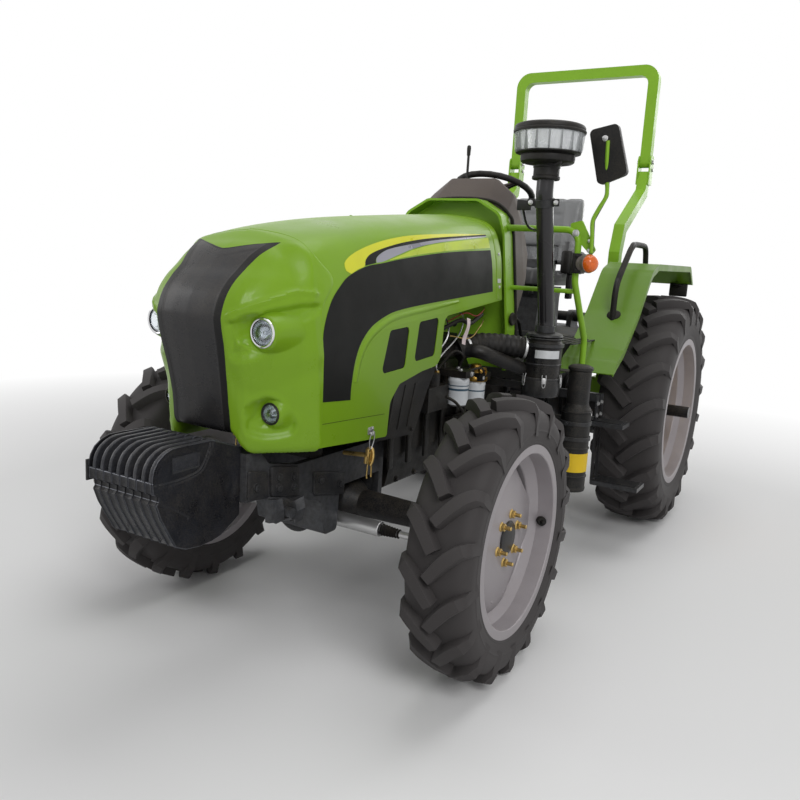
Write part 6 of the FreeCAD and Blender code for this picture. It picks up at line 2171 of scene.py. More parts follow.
@dataclass
class AirIntake:
    """Precleaner, pipe clamp and the fittings of the air cleaner's canister.

    Attributes:
        top: Place of the precleaner's axis.
        can: Place of the canister's axis.
        vanes: Swirl vanes in the precleaner.
        flutes: Flutes round its clear bowl.
    """

    top: Pair = (.490, .705)
    can: Pair = (.500, .830)
    vanes: int = 16
    flutes: int = 44

    def bowl(self) -> None:
        """Builds the clear fluted bowl with the vanes inside it."""
        place = stand(*self.top)
        loop = [(1.846, .124), (1.848, .1315), (1.858, .1345), (1.916, .1395), (1.926, .1395),
                (1.926, .1372), (1.860, .1320), (1.850, .124)]
        rows = []
        for turn in full_turn(self.flutes * 4):
            flute = .0011 * math.cos(turn * self.flutes)
            rows.append([place @ Vector(((r + flute) * math.cos(turn), (r + flute) * math.sin(turn), z))
                         for z, r in loop])
        bowl = Shape().grid(rows, round_row=True, round_all=True)
        bowl.make("precleaner_bowl", CLEAR_BOWL, "chassis")
        drum, vanes = Shape(), Shape()
        drum.lathe(place, [(1.844, .110), (1.848, .120), (1.918, .1265), (1.925, .118)], 48)
        for turn in full_turn(self.vanes):
            blade = place @ Matrix.Rotation(turn, 4, "Z") @ Matrix.Translation((.118, 0, 1.849))
            curve = [(0, -.004), (.006, -.0035), (.0125, -.007), (.013, -.004), (.007, 0), (0, 0)]
            vanes.prism(blade, curve, .074, .0006)
        drum.make("precleaner_drum", BRIGHT_VANE, "chassis")
        vanes.make("precleaner_vanes", MOULD_BLACK, "chassis")

    def precleaner(self) -> None:
        """Builds the precleaner's collar, base, lid and dust spout."""
        place = stand(*self.top)
        shell = Shape()
        shell.lathe(place, [(1.742, .0365), (1.742, .053), (1.746, .056), (1.754, .056), (1.758, .052),
                            (1.786, .052), (1.789, .0545), (1.796, .0545), (1.800, .058), (1.803, .082),
                            (1.806, .100), (1.811, .1065), (1.822, .109), (1.833, .1085), (1.836, .1045),
                            (1.838, .106), (1.840, .120), (1.843, .1295), (1.848, .1295), (1.848, .124),
                            (1.844, .100), (1.842, .0365)], 56, closed=True)
        shell.lathe(place, [(1.919, .1400), (1.921, .1435), (1.928, .1445), (1.932, .1405), (1.935, .1412),
                            (1.943, .1405), (1.949, .1365), (1.953, .1270), (1.957, .1050), (1.960, .0700),
                            (1.961, .034), (1.964, .030), (1.964, .012)], 56)
        shell.tube([spot(self.top[0] + .075, self.top[1] - .055, z) for z in (1.845, 1.825, 1.812)], .0115,
                   12)
        shell.tube([spot(self.top[0] + .075 + dx, self.top[1] - .055, z)
                    for dx, z in ((0, 1.816), (-.004, 1.802), (-.016, 1.796))], .009, 10)
        shell.make("precleaner_shell", MOULD_BLACK, "chassis", "black_plastic", replaces=["precleaner"])

    def clamp(self) -> None:
        """Builds the pipe clamp with its bolts, its bracket and the stay under it."""
        low, high = spot(.500, .830, 1.170), spot(.490, .705, 1.690)
        along = (high - low).normalized()
        at = low + along * .497
        strap = Shape().lathe(facing(at, along, (1, 0, 0)), ring(.0352, .0408, -.016, .016), 36, closed=True)
        bolts = Shape()
        for side in (-1, 1):
            ear = Matrix.Translation(at + Vector((side * .052, -.012, 0)))
            strap.prism(ear @ Matrix.Rotation(math.pi / 2, 4, "X"),
                        oblong(.016, .015, .006), .006, .001)
            bolts.bolt(at + Vector((side * .054, -.0185, 0)), (0, -1, 0), .015)
        arm = Matrix.Translation(at + Vector((-.086, -.010, -.012))) @ Matrix.Rotation(math.pi / 2, 4, "X")
        strap.prism(arm, rounded([(-.028, -.02), (.034, -.02), (.034, .018), (-.028, .024)], .004), .005,
                    .001)
        strap.tube(spline([at + Vector(p) for p in ((-.09, -.005, -.02), (-.092, .04, -.07),
                                                    (-.10, .11, -.094),
                                                    (-.10, .19, -.10))], 6), .0055, 10)
        strap.make("intake_clamp", STEEL_BLACK, "chassis")
        bolts.make("intake_clamp_bolts", BRIGHT_STEEL, "chassis")

    def canister(self) -> None:
        """Builds the canister's beads, cover, blank band, clips and outlet hose."""
        place = stand(*self.can)
        trim = Shape()
        trim.lathe(place, ring(.079, .0835, .920, .930), 48, closed=True)
        for height in (.985, 1.094):
            trim.lathe(place, ring(.079, .0822, height, height + .006, .002), 48, closed=True)
        trim.lathe(place, [(.846, .0700), (.849, .0795), (.862, .0822), (.916, .0832), (.920, .0812)], 48)
        trim.lathe(place, [(1.106, .0802), (1.114, .0765), (1.1195, .066), (1.1215, .046), (1.1225, .036)],
                   48)
        trim.lathe(place, ring(.0345, .0425, 1.121, 1.150), 32, closed=True)
        trim.make("canister_trim", STEEL_BLACK, "chassis")
        rows = []
        for z in (1.016, 1.050):
            rows.append([place @ Vector((.0812 * math.cos(math.radians(a)), .0812 * math.sin(math.radians(a)),
                                         z))
                         for a in range(-95, -14, 4)])
        Shape().grid(rows).thicken(.0009).make("canister_band", LABEL_SILVER, "chassis")
        clips = Shape()
        for turn in (-125, -62, 0, 118):
            frame_at = place @ Matrix.Rotation(math.radians(turn), 4, "Z") @ Matrix.Translation((.085, 0, 0))
            loop = [(0, -.008, .946), (.004, -.0085, .930), (.005, -.006, .900), (.004, 0, .892),
                    (.005, .006, .900), (.004, .0085, .930), (0, .008, .946)]
            clips.tube([frame_at @ Vector(p) for p in spline(loop, 4)], .0014, 6)
            clips.prism(frame_at @ Matrix.Translation((.0005, -.007, .908)) @ Matrix.Rotation(math.pi / 2, 4,
                                                                                              "Y"),
                        [(-.026, 0), (0, 0), (0, .014), (-.026, .014)], .0045, .001)
        clips.make("canister_clips", BRIGHT_STEEL, "chassis")
        path = spline([spot(*p) for p in ((.462, .815, 1.045), (.405, .775, 1.052), (.330, .715, 1.058),
                                          (.255, .650, 1.055), (.205, .585, 1.030))], 14)
        Shape().tube(path, lambda s: .047 + .0022 * math.cos(s * 95), 26).make("intake_hose", MOULD_BLACK,
                                                                            "chassis")
        bands = Shape()
        for share in (.16, .86):
            k = round(share * (len(path) - 1))
            bands.lathe(facing(path[k], path[k + 1] - path[k - 1]), ring(.046, .0515, -.006, .006), 32,
                        closed=True)
        bands.make("intake_hose_bands", BRIGHT_STEEL, "chassis")

    def build(self) -> None:
        """Builds the whole intake."""
        self.bowl()
        self.precleaner()
        self.clamp()
        self.canister()


# ---------------------------------------------------------------- exhaust

@dataclass
class Exhaust:
    """Beads, straps, colour band and tail of the muffler, and its pipe.

    Attributes:
        axis: Place of the muffler's axis.
        radius: Radius of its drum.
    """

    axis: Pair = (.620, 1.000)
    radius: float = .066

    def build(self) -> None:
        """Builds the exhaust's trim."""
        place = stand(*self.axis)
        trim = Shape()
        for height in (.470, .600, .765):
            trim.lathe(place, ring(self.radius - .001, self.radius + .0035, height, height + .012, .003), 44,
                       closed=True)
        trim.lathe(place, [(.406, .052), (.408, .0665), (.420, .0688), (.426, .0665)], 44)
        trim.lathe(place, [(.784, .060), (.798, .0535), (.806, .0505)], 40)
        trim.lathe(place, ring(.0495, .0555, .955, .972, .003), 40, closed=True)
        trim.lathe(place, [(.968, .052), (.975, .046), (.979, .036), (.980, .014)], 40)
        trim.make("muffler_beads", MUFFLER_BLACK, "chassis")
        rows = [[place @ Vector(((self.radius + .0016) * math.cos(math.radians(a)),
                                 (self.radius + .0016) * math.sin(math.radians(a)), z))
                 for a in range(-150, 21, 5)] for z in (.500, .585)]
        Shape().grid(rows).thicken(.0012).make("muffler_band", LABEL_YELLOW, "chassis")
        straps = Shape()
        for height in (.650, .720):
            straps.lathe(place, ring(self.radius - .0005, self.radius + .005, height - .009, height + .009),
                         44,
                         closed=True)
            straps.bolt(place @ Vector((-.02, -self.radius - .006, height)), (0, -1, 0), .016)
        straps.make("muffler_straps", STEEL_BLACK, "chassis")


# ---------------------------------------------------------------- engine bay

@dataclass
class EngineBay:
    """Filters, fuel pipes, hoses, wires, belt drive and fan round the CAD engine.

    Attributes:
        cylinders: Cylinders in line.
        front_head: Place of the front filter's axis.
        rear_head: Place of the rear filter's axis.
        shafts: Fan, crank and alternator shaft, as (across, height).
    """

    cylinders: int = 4
    front_head: Pair = (.255, .520)
    rear_head: Pair = (.255, .685)
    shafts: tuple[Pair, ...] = ((0, .98), (0, .70), (-.229, .90))

    def filters(self) -> None:
        """Builds the two spin-on filters with their bands, heads and bolts."""
        cans, bands, heads, bolts = Shape(), Shape(), Shape(), Shape()
        for (x, y), low, high in ((self.front_head, .806, .928), (self.rear_head, .776, .898)):
            place = stand(x, y)
            cans.lathe(place, [(low, .020), (low + .002, .036), (low + .008, .0425), (low + .02, .0436),
                               (high - .022, .0436), (high - .018, .0452), (high - .010, .0452),
                               (high - .006, .0430), (high, .0425)], 40)
        place = stand(*self.front_head)
        for low, high in ((.893, .897), (.874, .883)):
            bands.lathe(place, ring(.0430, .0441, low, high, .0003), 40, closed=True)
        place = stand(*self.rear_head)
        bands.lathe(place, ring(.0430, .0441, .852, .858, .0003), 40, closed=True)
        heads.lathe(place, [(.896, .050), (.902, .0525), (.915, .0515), (.922, .046), (.934, .040),
                            (.946, .030), (.952, .024), (.966, .022), (.970, .016)], 36)
        heads.lathe(facing(spot(self.rear_head[0] + .03, self.rear_head[1] - .01, .938), (.9, -.4, .1)),
                    [(0, .020), (.016, .020), (.018, .017), (.018, .012), (.010, .011)], 28)
        heads.make("filter_head", BRASS, "chassis")
        for x, y, z, way in ((.30, .66, .915, (1, -.3, 0)), (.292, .724, .922, (1, .4, 0)),
                             (.27, .500, .958, (0, 0, 1)), (.235, .545, .958, (0, 0, 1)),
                             (.305, .535, .944, (1, 0, 0)), (.21, .655, .935, (0, 0, 1))):
            bolts.bolt(spot(x, y, z), way, .017)
        bolts.make("filter_bolts", BRIGHT_STEEL, "chassis")
        cans.make("filter_cans", FILTER_WHITE, "chassis")
        bands.make("filter_bands", FILTER_BAND, "chassis")

    def fuel_pipes(self) -> None:
        """Builds the injectors, their steel pipes and the rocker cover's ribs."""
        pipes, injectors, ribs = Shape(), Shape(), Shape()
        for k in range(self.cylinders):
            y = .14 + k * .17
            top = (.125, y, 1.188)
            start = (.190 + .012 * (k % 2), .345 + k * .026, .942)
            pipes.tube(spline([spot(*p) for p in (start, (start[0], start[1], 1.0),
                                                  (.232, (start[1] + y) / 2, 1.10),
                                                  (.190, y, 1.175), top)], 8), .0035, 8)
            injectors.lathe(stand(.125, y), [(1.180, .010), (1.182, .014), (1.198, .014), (1.200, .010),
                                             (1.222, .009), (1.224, .006)], 16)
            injectors.bolt(spot(.098, y, 1.186), (0, 0, 1), .016)
            injectors.bolt(spot(start[0], start[1], .950), (0, 0, 1), .016)
        cover = [(-.085, .075), (.085, .075), (.085, .755), (-.085, .755)]
        ribs.prism(stand(0, 0, 1.184), rounded(cover, .03), .052, .01)
        for k in range(7):
            ribs.block(spot(-.07, .13 + k * .092, 1.234), spot(.07, .142 + k * .092, 1.242), .002)
        ribs.lathe(stand(-.02, .60),
                   [(1.234, .026), (1.240, .026), (1.243, .022), (1.262, .030), (1.268, .027)], 24)
        ribs.make("rocker_cover", ENGINE_BLACK, "chassis")
        pipes.make("injector_pipes", BRIGHT_STEEL, "chassis")
        injectors.make("injectors", ZINC, "chassis")

    def belt_drive(self) -> None:
        """Builds the fan, the pulleys, their belt and the alternator's body."""
        fan, pulleys = Shape(), Shape()
        hub = lengthwise(0, -.150, .98)
        fan.lathe(hub, [(0, .040), (.006, .046), (.03, .046), (.036, .036)], 28)
        for k in range(6):
            blade = hub @ Matrix.Rotation(math.tau * k / 6, 4, "Z") @ Matrix.Translation((.04, 0, .018))
            twist = blade @ Matrix.Rotation(.55, 4, "X")
            fan.prism(twist, [(0, -.024), (.09, -.036), (.142, -.03), (.142, .03), (.09, .038), (0, .024)],
                      .0025, .0008)
        fan.make("cooling_fan", MOULD_BLACK, "chassis")
        for (x, z), size in zip(self.shafts, (.075, .085, .040)):
            place = lengthwise(x, -.062, z)
            pulleys.lathe(place, [(0, .012), (0, size), (.004, size), (.009, size - .010), (.014, size),
                                  (.018, size), (.018, size * .6), (.008, size * .5), (.008, .03),
                                  (.03, .028),
                                  (.03, .012)], 32, closed=True)
            pulleys.lathe(place, [(0, .018), (.13 if x else .10, .018)], 20)
        pulleys.make("pulleys", STEEL_BLACK, "chassis")
        path = []
        arcs = ((.070, 100, -20), (.080, 0, -140), (.036, 200, 108))
        for (x, z), (size, start, stop) in zip(self.shafts, arcs):
            path += [spot(x + size * math.cos(math.radians(a)), -.053, z + size * math.sin(math.radians(a)))
                     for a in np.linspace(start, stop, 9)]
        rows = []
        for i, here in enumerate(path):
            way = (path[(i + 1) % len(path)] - path[i - 1]).normalized()
            out = Vector((way.z, 0, -way.x))
            rows.append([here + out * .002 + Vector((0, -.006, 0)), here + out * .002 + Vector((0, .006, 0)),
                         here - out * .005 + Vector((0, .004, 0)), here - out * .005 + Vector((0, -.004, 0))])
        Shape().grid(rows, round_row=True, round_all=True).make("fan_belt", SEAL_RUBBER, "chassis")
        x, z = self.shafts[-1]
        body = lengthwise(x, .172, z)
        case = Shape().lathe(body, [(0, .030), (.004, .058), (.016, .0645), (.050, .0645), (.053, .061),
                                    (.086, .061), (.089, .0645), (.126, .0645), (.138, .058), (.142, .030)],
                                    36)
        for turn in full_turn(10):
            across, height = x + .045 * math.cos(turn), z + .045 * math.sin(turn)
            case.block(spot(across - .004, .164, height - .004), spot(across + .004, .176, height + .004),
                       .001)
        case.make("alternator_case", BRIGHT_STEEL, "chassis")

    def hoses(self) -> None:
        """Builds the radiator hoses, the starter's case and the block's ribs and bolts."""
        hose, bands = Shape(), Shape()
        for points, size in ((((.06, -.215, 1.30), (.07, -.15, 1.31), (.09, -.04, 1.285), (.085, .045, 1.21)),
                              .024),
                             (((-.12, -.215, .78), (-.12, -.15, .77), (-.135, -.05, .76), (-.14, .05, .78)),
                              .026)):
            path = spline([spot(*p) for p in points], 10)
            hose.tube(path, size, 16)
            for k in (3, len(path) - 4):
                bands.lathe(facing(path[k], path[k + 1] - path[k - 1]),
                            ring(size - .001, size + .003, -.006, .006),
                            24, closed=True)
        hose.make("radiator_hoses", SEAL_RUBBER, "chassis")
        bands.make("radiator_hose_bands", BRIGHT_STEEL, "chassis")
        motor = lengthwise(.212, .556, .70)
        Shape().lathe(motor,
                      [(0, .030), (.004, .046), (.012, .0485), (.040, .0485), (.043, .0465), (.120, .0465),
                              (.123, .0490), (.182, .0490), (.188, .040)], 32).make(
            "starter_case", ENGINE_BLACK, "chassis")
        block = Shape()
        for k in range(5):
            block.block(spot(.176, .10 + k * .14, .60), spot(.188, .135 + k * .14, .98), .004)
            block.block(spot(-.188, .10 + k * .14, .60), spot(-.176, .135 + k * .14, .98), .004)
            block.bolt(spot(.182, .17 + k * .14, .55), (1, 0, 0), .02)
            block.bolt(spot(.182, .17 + k * .14, 1.14), (1, 0, 0), .02)
            block.bolt(spot(-.182, .17 + k * .14, 1.14), (-1, 0, 0), .02)
        block.make("block_ribs", ENGINE_BLACK, "chassis")

    def wiring(self) -> None:
        """Builds the loom, the loose wires, the thin hoses and the paper tag."""
        lead("loom_main", [(.225, .40, 1.13), (.262, .48, 1.165), (.268, .56, 1.150), (.262, .66, 1.175),
                           (.235, .745, 1.18)], .009, SEAL_RUBBER)
        lead("wire_red_upper", [(.235, .42, 1.16), (.272, .50, 1.195), (.276, .60, 1.18), (.262, .70, 1.20),
                                (.24, .75, 1.21)], .0022, COPPER_WIRE)
        lead("wire_brown", [(.230, .46, 1.10), (.276, .55, 1.09), (.280, .63, 1.13), (.262, .70, 1.15),
                            (.24, .75, 1.155)], .0022, ZINC)
        lead("fuel_hose_front", [(.262, .505, .975), (.282, .49, 1.02), (.262, .44, 1.04), (.215, .40, .965)],
             .005, SEAL_RUBBER)
        lead("fuel_hose_rear", [(.285, .56, .955), (.312, .60, .965), (.312, .64, .945), (.296, .655, .925)],
             .005, SEAL_RUBBER)
        lead("drain_hose", [(.262, .40, .86), (.292, .44, .83), (.302, .50, .77), (.262, .54, .70)], .006,
             SEAL_RUBBER)
        rows = []
        for k in range(13):
            share = k / 12
            bend = .006 * math.sin(share * 5.5)
            rows.append([spot(.292 + bend, .478 - .020 * share, 1.178 - .105 * share),
                         spot(.292 + bend * .6, .512 - .026 * share, 1.172 - .105 * share)])
        tag = Shape().grid(rows).thicken(.0006).make("paper_tag", PAPER, "chassis")

    def shields(self) -> None:
        """Builds the black shields behind the bonnet's cut-away sides: partly a black side panel, partly a dark
        sheet that paints in the engine bay's shade.
        """
        outline = [(-.14, .760), (.170, .742), (.215, .820), (.262, .905), (.322, .985), (.20, .992),
                   (.06, .990),
                   (-.06, .93), (-.14, .88)]
        # Each shield is partly a black panel and partly a dark sheet standing for the engine bay's shade.
        for side in Side:
            out = side.value
            place = side_frame(out, out * .2465, ahead(0))
            shield = Shape().prism(place, rounded(outline, .02), .003, .001)
            for k in range(4):
                shield.prism(place @ Matrix.Translation((.0, .0, .003)),
                             [(-.10 + k * .07, .78), (-.09 + k * .07, .78), (-.055 + k * .075, .94),
                              (-.065 + k * .075, .94)], .003, .001)
            shield.bolt(spot(out * .2500, -.11, .80), (out, 0, 0), .014)
            shield.bolt(spot(out * .2500, .15, .765), (out, 0, 0), .014)
            shield.make(f"engine_shield_{side.word}", MOULD_BLACK, "chassis")

    def build(self) -> None:
        """Builds the whole engine bay."""
        self.shields()
        self.filters()
        self.fuel_pipes()
        self.belt_drive()
        self.hoses()
        self.wiring()


# ---------------------------------------------------------------- driver's place

@dataclass
class Cockpit:
    """Cowl edges, dash, steering wheel, levers, pedals and floor mat.

    Attributes:
        cowl: Half outline of the cowl, as (across, height).
        wheel: Middle of the steering wheel.
        wheel_radius: Radius of its rim.
        wheel_rake: How far its shaft leans back from upright, in radians.
        grip_radius: Radius of the rim's section between the finger grips.
        finger_swell: Extra radius of a finger grip.
        fingers: Finger grips round the rim.
    """

    cowl: tuple[Pair, ...] = ((.315, .93), (.315, 1.11), (.268, 1.524), (.240, 1.617), (.128, 1.680))
    wheel: Point = (0, 1.300, 1.755)
    wheel_radius: float = .191
    wheel_rake: float = math.radians(20)
    grip_radius: float = .0145
    finger_swell: float = .0010
    fingers: int = 24

    def hoop(self, out: float, y: float) -> list[Vector]:
        """Line over the cowl from one foot to the other.

        Args:
            out: How far the line stands off the cowl.
            y: Its place measured from the front axle.

        Returns:
            The line's points.
        """
        half = [Vector(p) for p in self.cowl]
        line = [Vector((-p.x, p.y)) for p in half] + [Vector(p) for p in reversed(half)]
        return [spot(p.x + math.copysign(out, p.x), y, p.y + (out if p.y > 1.6 else 0))
                for p in (Vector(q) for q in spline(line, 8))]

    def edges(self) -> None:
        """Builds the rubber edge behind the cowl, its side grommets and bolts."""
        Shape().tube(self.hoop(.002, .944), .0075, 10).make("cowl_rear_seal", SEAL_RUBBER, "chassis")
        side, boss = Shape(), Shape()
        for way in (1, -1):
            at = spot(way * .3165, .885, 1.16)
            place = facing(at, (way, 0, .02))
            boss.lathe(place,
                       [(0, .027), (.004, .030), (.010, .029), (.012, .024), (.009, .019), (.006, .008)], 28)
            side.bolt(spot(way * .318, .840, 1.03), (way, 0, 0), .018)
            side.bolt(spot(way * .318, .915, 1.03), (way, 0, 0), .018)
        boss.make("cowl_grommets", SEAL_RUBBER, "chassis")
        side.make("cowl_bolts", BRIGHT_STEEL, "chassis")

    def dash(self) -> None:
        """Builds the instrument hood, its glass, warning lamps, switches and key."""
        hood, glass, lamps, keys = Shape(), Shape(), Shape(), Shape()
        tilt = facing(spot(0, 1.232, 1.640), (0, .86, .52), (1, 0, 0))
        outline = rounded([(-.092, -.048), (.092, -.048), (.078, .052), (-.078, .052)], .02)
        rim = [inset(outline, d) for d in (0, .004, .010, .012)]
        rows = [[tilt @ Vector((p.x, p.y, h)) for p in line] for line,
                h in zip(rim, (-.004, .010, .010, .002))]
        hood.grid(rows, round_row=True)
        hood.make("instrument_rim", MOULD_BLACK, "chassis", "dash_plastic")
        glass.prism(tilt @ Matrix.Translation((0, 0, .0015)), inset(outline, .0115), .0015)
        glass.make("instrument_glass", MIRROR_DARK, "chassis")
        for k in range(5):
            lamps.lathe(facing(tilt @ Vector((-.052 + .026 * k, -.062, .001)), (0, .86, .52)),
                        [(0, .0075), (.003, .0075), (.0045, .005), (.005, .002)], 14)
        lamps.make("warning_lamps", ORANGE_LENS, "chassis")
        for k, x in enumerate((-.135, -.105, .105, .135)):
            keys.block(spot(x - .010, 1.236, 1.585), spot(x + .010, 1.249, 1.613), .003)
            keys.bolt(spot(x, 1.246, 1.560), (0, 1, 0), .010, washer=False)
        keys.lathe(facing(spot(.150, 1.236, 1.520), (0, 1, .2)), [(0, .016), (.006, .016), (.009, .012),
                                                                  (.009, .004)], 20)
        keys.make("dash_switches", MOULD_BLACK, "chassis")

    def steering(self) -> None:
        """Builds the steering wheel's finger grips, spoke covers and horn pad."""
        place = facing(spot(*self.wheel), (0, math.sin(self.wheel_rake), math.cos(self.wheel_rake)),
                       (1, 0, 0))
        rim, pad = Shape(), Shape()
        rows = []
        for turn in full_turn(144):
            grip = self.grip_radius + self.finger_swell * max(0.0, math.cos(turn * self.fingers))
            row = []
            for j in range(12):
                way = math.tau * j / 12
                reach = self.wheel_radius - .002 + grip * math.cos(way)
                row.append(place @ Vector((reach * math.cos(turn), reach * math.sin(turn),
                                           grip * math.sin(way))))
            rows.append(row)
        rim.grid(rows, round_row=True, round_all=True)
        rim.make("steering_wheel_grip", MOULD_BLACK, "steering_wheel", "black_plastic")
        pad.lathe(place,
                  [(-.004, .046), (.004, .050), (.016, .050), (.022, .046), (.026, .036), (.028, .014)], 36)
        for turn in (90, 210, 330):
            ray = place @ Matrix.Rotation(math.radians(turn), 4, "Z") @ Matrix.Translation((.042, 0, -.002))
            pad.prism(ray, [(0, -.022), (.085, -.014), (.140, -.018), (.140, .018), (.085, .014), (0, .022)],
                      .013, .003)
        pad.make("steering_wheel_pad", DASH_GREY, "steering_wheel", "dash_plastic")

    def controls(self) -> None:
        """Builds the pedals' plates and rubbers, the lever knobs and gaiter, and the mat's ribs."""
        rubber, plates, knob = Shape(), Shape(), Shape()
        for x in (-.150, .140, .215):
            pad = facing(spot(x, 1.3006, 1.022), (0, .97, .24), (1, 0, 0))
            plates.prism(pad, oblong(.034, .032, .01), .004, .001)
            for k in range(5):
                rib = pad @ Matrix.Translation((-.030, -.026 + k * .012, .004))
                rubber.prism(rib, [(0, 0), (.06, 0), (.06, .005), (0, .005)], .0035, .001)
        knob.lathe(facing(spot(.06, 1.372, 1.276), (0, -.25, .97)),
                   [(0, .008), (.006, .013), (.016, .020), (.028, .0225), (.038, .0195), (.045, .012),
                    (.047, .004)], 28)
        for k in range(6):
            knob.lathe(stand(.06, 1.40),
                       [(.988 + k * .013, .040 - k * .0045), (.994 + k * .013, .046 - k * .0048),
                                          (1.001 + k * .013, .038 - k * .0045)], 28)
        knob.lathe(stand(-.044, 1.070), [(1.895, .0065), (1.900, .0085), (1.930, .0100), (1.940, .0085),
                                         (1.944, .003)], 18)
        knob.make("lever_knobs", MOULD_BLACK, "chassis", "black_plastic")
        plates.make("pedal_plates", STEEL_BLACK, "chassis")
        rubber.make("pedal_rubbers", SEAL_RUBBER, "chassis")
        mat = Shape()
        for side in (-1, 1):
            for k in range(9):
                x = side * (.30 + k * .032)
                mat.block(spot(x - .007, 1.04, 1.0585), spot(x + .007, 1.46, 1.0635), .0015)
        mat.make("floor_mat_ribs", MAT_GREY, "chassis")

    def build(self) -> None:
        """Builds the whole driver's place."""
        self.edges()
        self.dash()
        self.steering()
        self.controls()


@dataclass
class Seat:
    """Padded cushion and backrest, with side boxes, slides and a clear wrap.

    Attributes:
        cushion: CAD node of the cushion.
        backrest: CAD node of the backrest.
        voxel: Size of the cells that the pads are cut into before they are blown up.
        pressure: Pressure inside the pads.
        frames: Frames that the simulation runs.
        swell_limit: Farthest that any point of a pad may move.
        seam_place: Distance of the long seams from the middle, as a share of the pad's width.
        cross_seams: Places of the cross seams, as shares of the pad's length.
        seam_width: Width of a seam, as a share of the pad's size.
        tuck_depth: How much deeper a pad starts where it is held.
    """

    cushion: str = "seat_cushion"
    backrest: str = "seat_backrest"
    voxel: float = .010
    pressure: float = 4.0
    frames: int = 20
    swell_limit: float = .011
    seam_place: float = .30
    cross_seams: Point = (.26, .5, .74)
    seam_width: float = .022
    tuck_depth: float = .006

    def pad(self, node: str, name: str, shrink: float) -> bpy.types.Object:
        """Builds one padded piece from its CAD solid.

        Args:
            node: The CAD node that it stands for.
            name: The piece's name.
            shrink: How far the pad starts inside the solid.

        Returns:
            The piece.
        """
        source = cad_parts[node]
        obj = bpy.data.objects.new(name, source.data.copy())
        bpy.context.scene.collection.objects.link(obj)
        remesh = obj.modifiers.new("cells", "REMESH")
        remesh.mode = "VOXEL"
        remesh.voxel_size = self.voxel
        ease = obj.modifiers.new("ease", "SMOOTH")
        ease.iterations = 6
        self.apply(obj)
        tucks = self.tucks(obj, node)
        for vert in obj.data.vertices:
            vert.co -= vert.normal * (shrink + self.tuck_depth * tucks[vert.index])
        start = [v.co.copy() for v in obj.data.vertices]
        pins = obj.vertex_groups.new(name="pins")
        for index, tuck in enumerate(tucks):
            pins.add([index], tuck, "REPLACE")
        cloth = obj.modifiers.new("foam", "CLOTH")
        cloth.settings.use_pressure = True
        cloth.settings.uniform_pressure_force = self.pressure
        cloth.settings.effector_weights.gravity = 0
        cloth.settings.vertex_group_mass = "pins"
        cloth.settings.tension_stiffness = 18
        cloth.settings.bending_stiffness = 1.5
        cloth.point_cache.frame_start = 1
        cloth.point_cache.frame_end = self.frames
        for step in range(1, self.frames + 1):
            bpy.context.scene.frame_set(step)
            bpy.context.evaluated_depsgraph_get()
        self.apply(obj)
        bpy.context.scene.frame_set(1)
        for vert, before in zip(obj.data.vertices, start):
            move = vert.co - before
            if move.length > self.swell_limit:
                vert.co = before + move.normalized() * self.swell_limit
        smooth = obj.modifiers.new("smooth", "SUBSURF")
        smooth.levels = 1
        self.apply(obj)
        obj.data.materials.clear()
        obj.data.materials.append(SEAT_VINYL.material())
        obj.data.polygons.foreach_set("material_index", [0] * len(obj.data.polygons))
        obj.data.shade_smooth()
        obj.vertex_groups.clear()
        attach(obj, "chassis")
        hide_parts(node)
        return obj

    def tucks(self, obj: bpy.types.Object, node: str) -> list[float]:
        """How firmly each point is held: seams across the pad and the side next to its shell.

        Args:
            obj: The pad.
            node: The CAD node that it stands for.

        Returns:
            One share from 0 to 1 for each point.
        """
        low, high = (Vector(p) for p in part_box(node))
        middle, size = (low + high) / 2, high - low
        flat = node == self.cushion
        held = []
        for vert in obj.data.vertices:
            across = abs(vert.co.x - middle.x) / size.x
            along = (vert.co.y - low.y) / size.y if flat else (vert.co.z - low.z) / size.z
            seam = math.exp(-((across - self.seam_place) / self.seam_width) ** 2)
            cross = sum(math.exp(-((along - at) / self.seam_width) ** 2) for at in self.cross_seams)
            cross *= across < self.seam_place
            back = blend_step(.2, -.6, vert.normal.z) if flat else blend_step(.3, .8, vert.normal.y)
            held.append(min(1.0, max(seam, cross * .85, back)))
        return held

    @staticmethod
    def apply(obj: bpy.types.Object) -> None:
        """Bakes an object's modifiers into its mesh."""
        baked = bpy.data.meshes.new_from_object(obj.evaluated_get(bpy.context.evaluated_depsgraph_get()))
        obj.modifiers.clear()
        obj.data = baked

    def wrap(self, back: bpy.types.Object) -> None:
        """Builds the creased clear film pulled over the backrest.

        Args:
            back: The backrest that it lies on.
        """
        low, high = (Vector(p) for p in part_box(self.backrest))
        steps, turns = 54, 72
        tree = BVHTree.FromPolygons([v.co for v in back.data.vertices],
                                    [p.vertices for p in back.data.polygons])
        middle = (low + high) / 2
        rows = []
        for i in range(steps + 1):
            share = i / steps
            z = low.z + .03 + (high.z - low.z - .045) * share
            row = []
            for turn in full_turn(turns):
                out = Vector((math.cos(turn), math.sin(turn) * .5, 0)).normalized()
                lean = Vector((middle.x, middle.y + (z - middle.z) * .16, z))
                hit, face = tree.ray_cast(lean + out * .6, -out)[:2]
                if hit is None:
                    hit, face = tree.find_nearest(lean + out * .1)[:2]
                crease = noise.noise(Vector((out.x * 5, out.y * 5 + 3, z * 9))) + \
                    .6 * noise.noise(Vector((out.x * 16, out.y * 16, z * 22)))
                row.append(hit + face * (.0045 + .0032 * abs(crease)))
            rows.append(row)
        film = Shape().grid(rows, round_row=True)
        obj = film.make("seat_wrap", CLEAR_WRAP, "chassis", sharp=60)

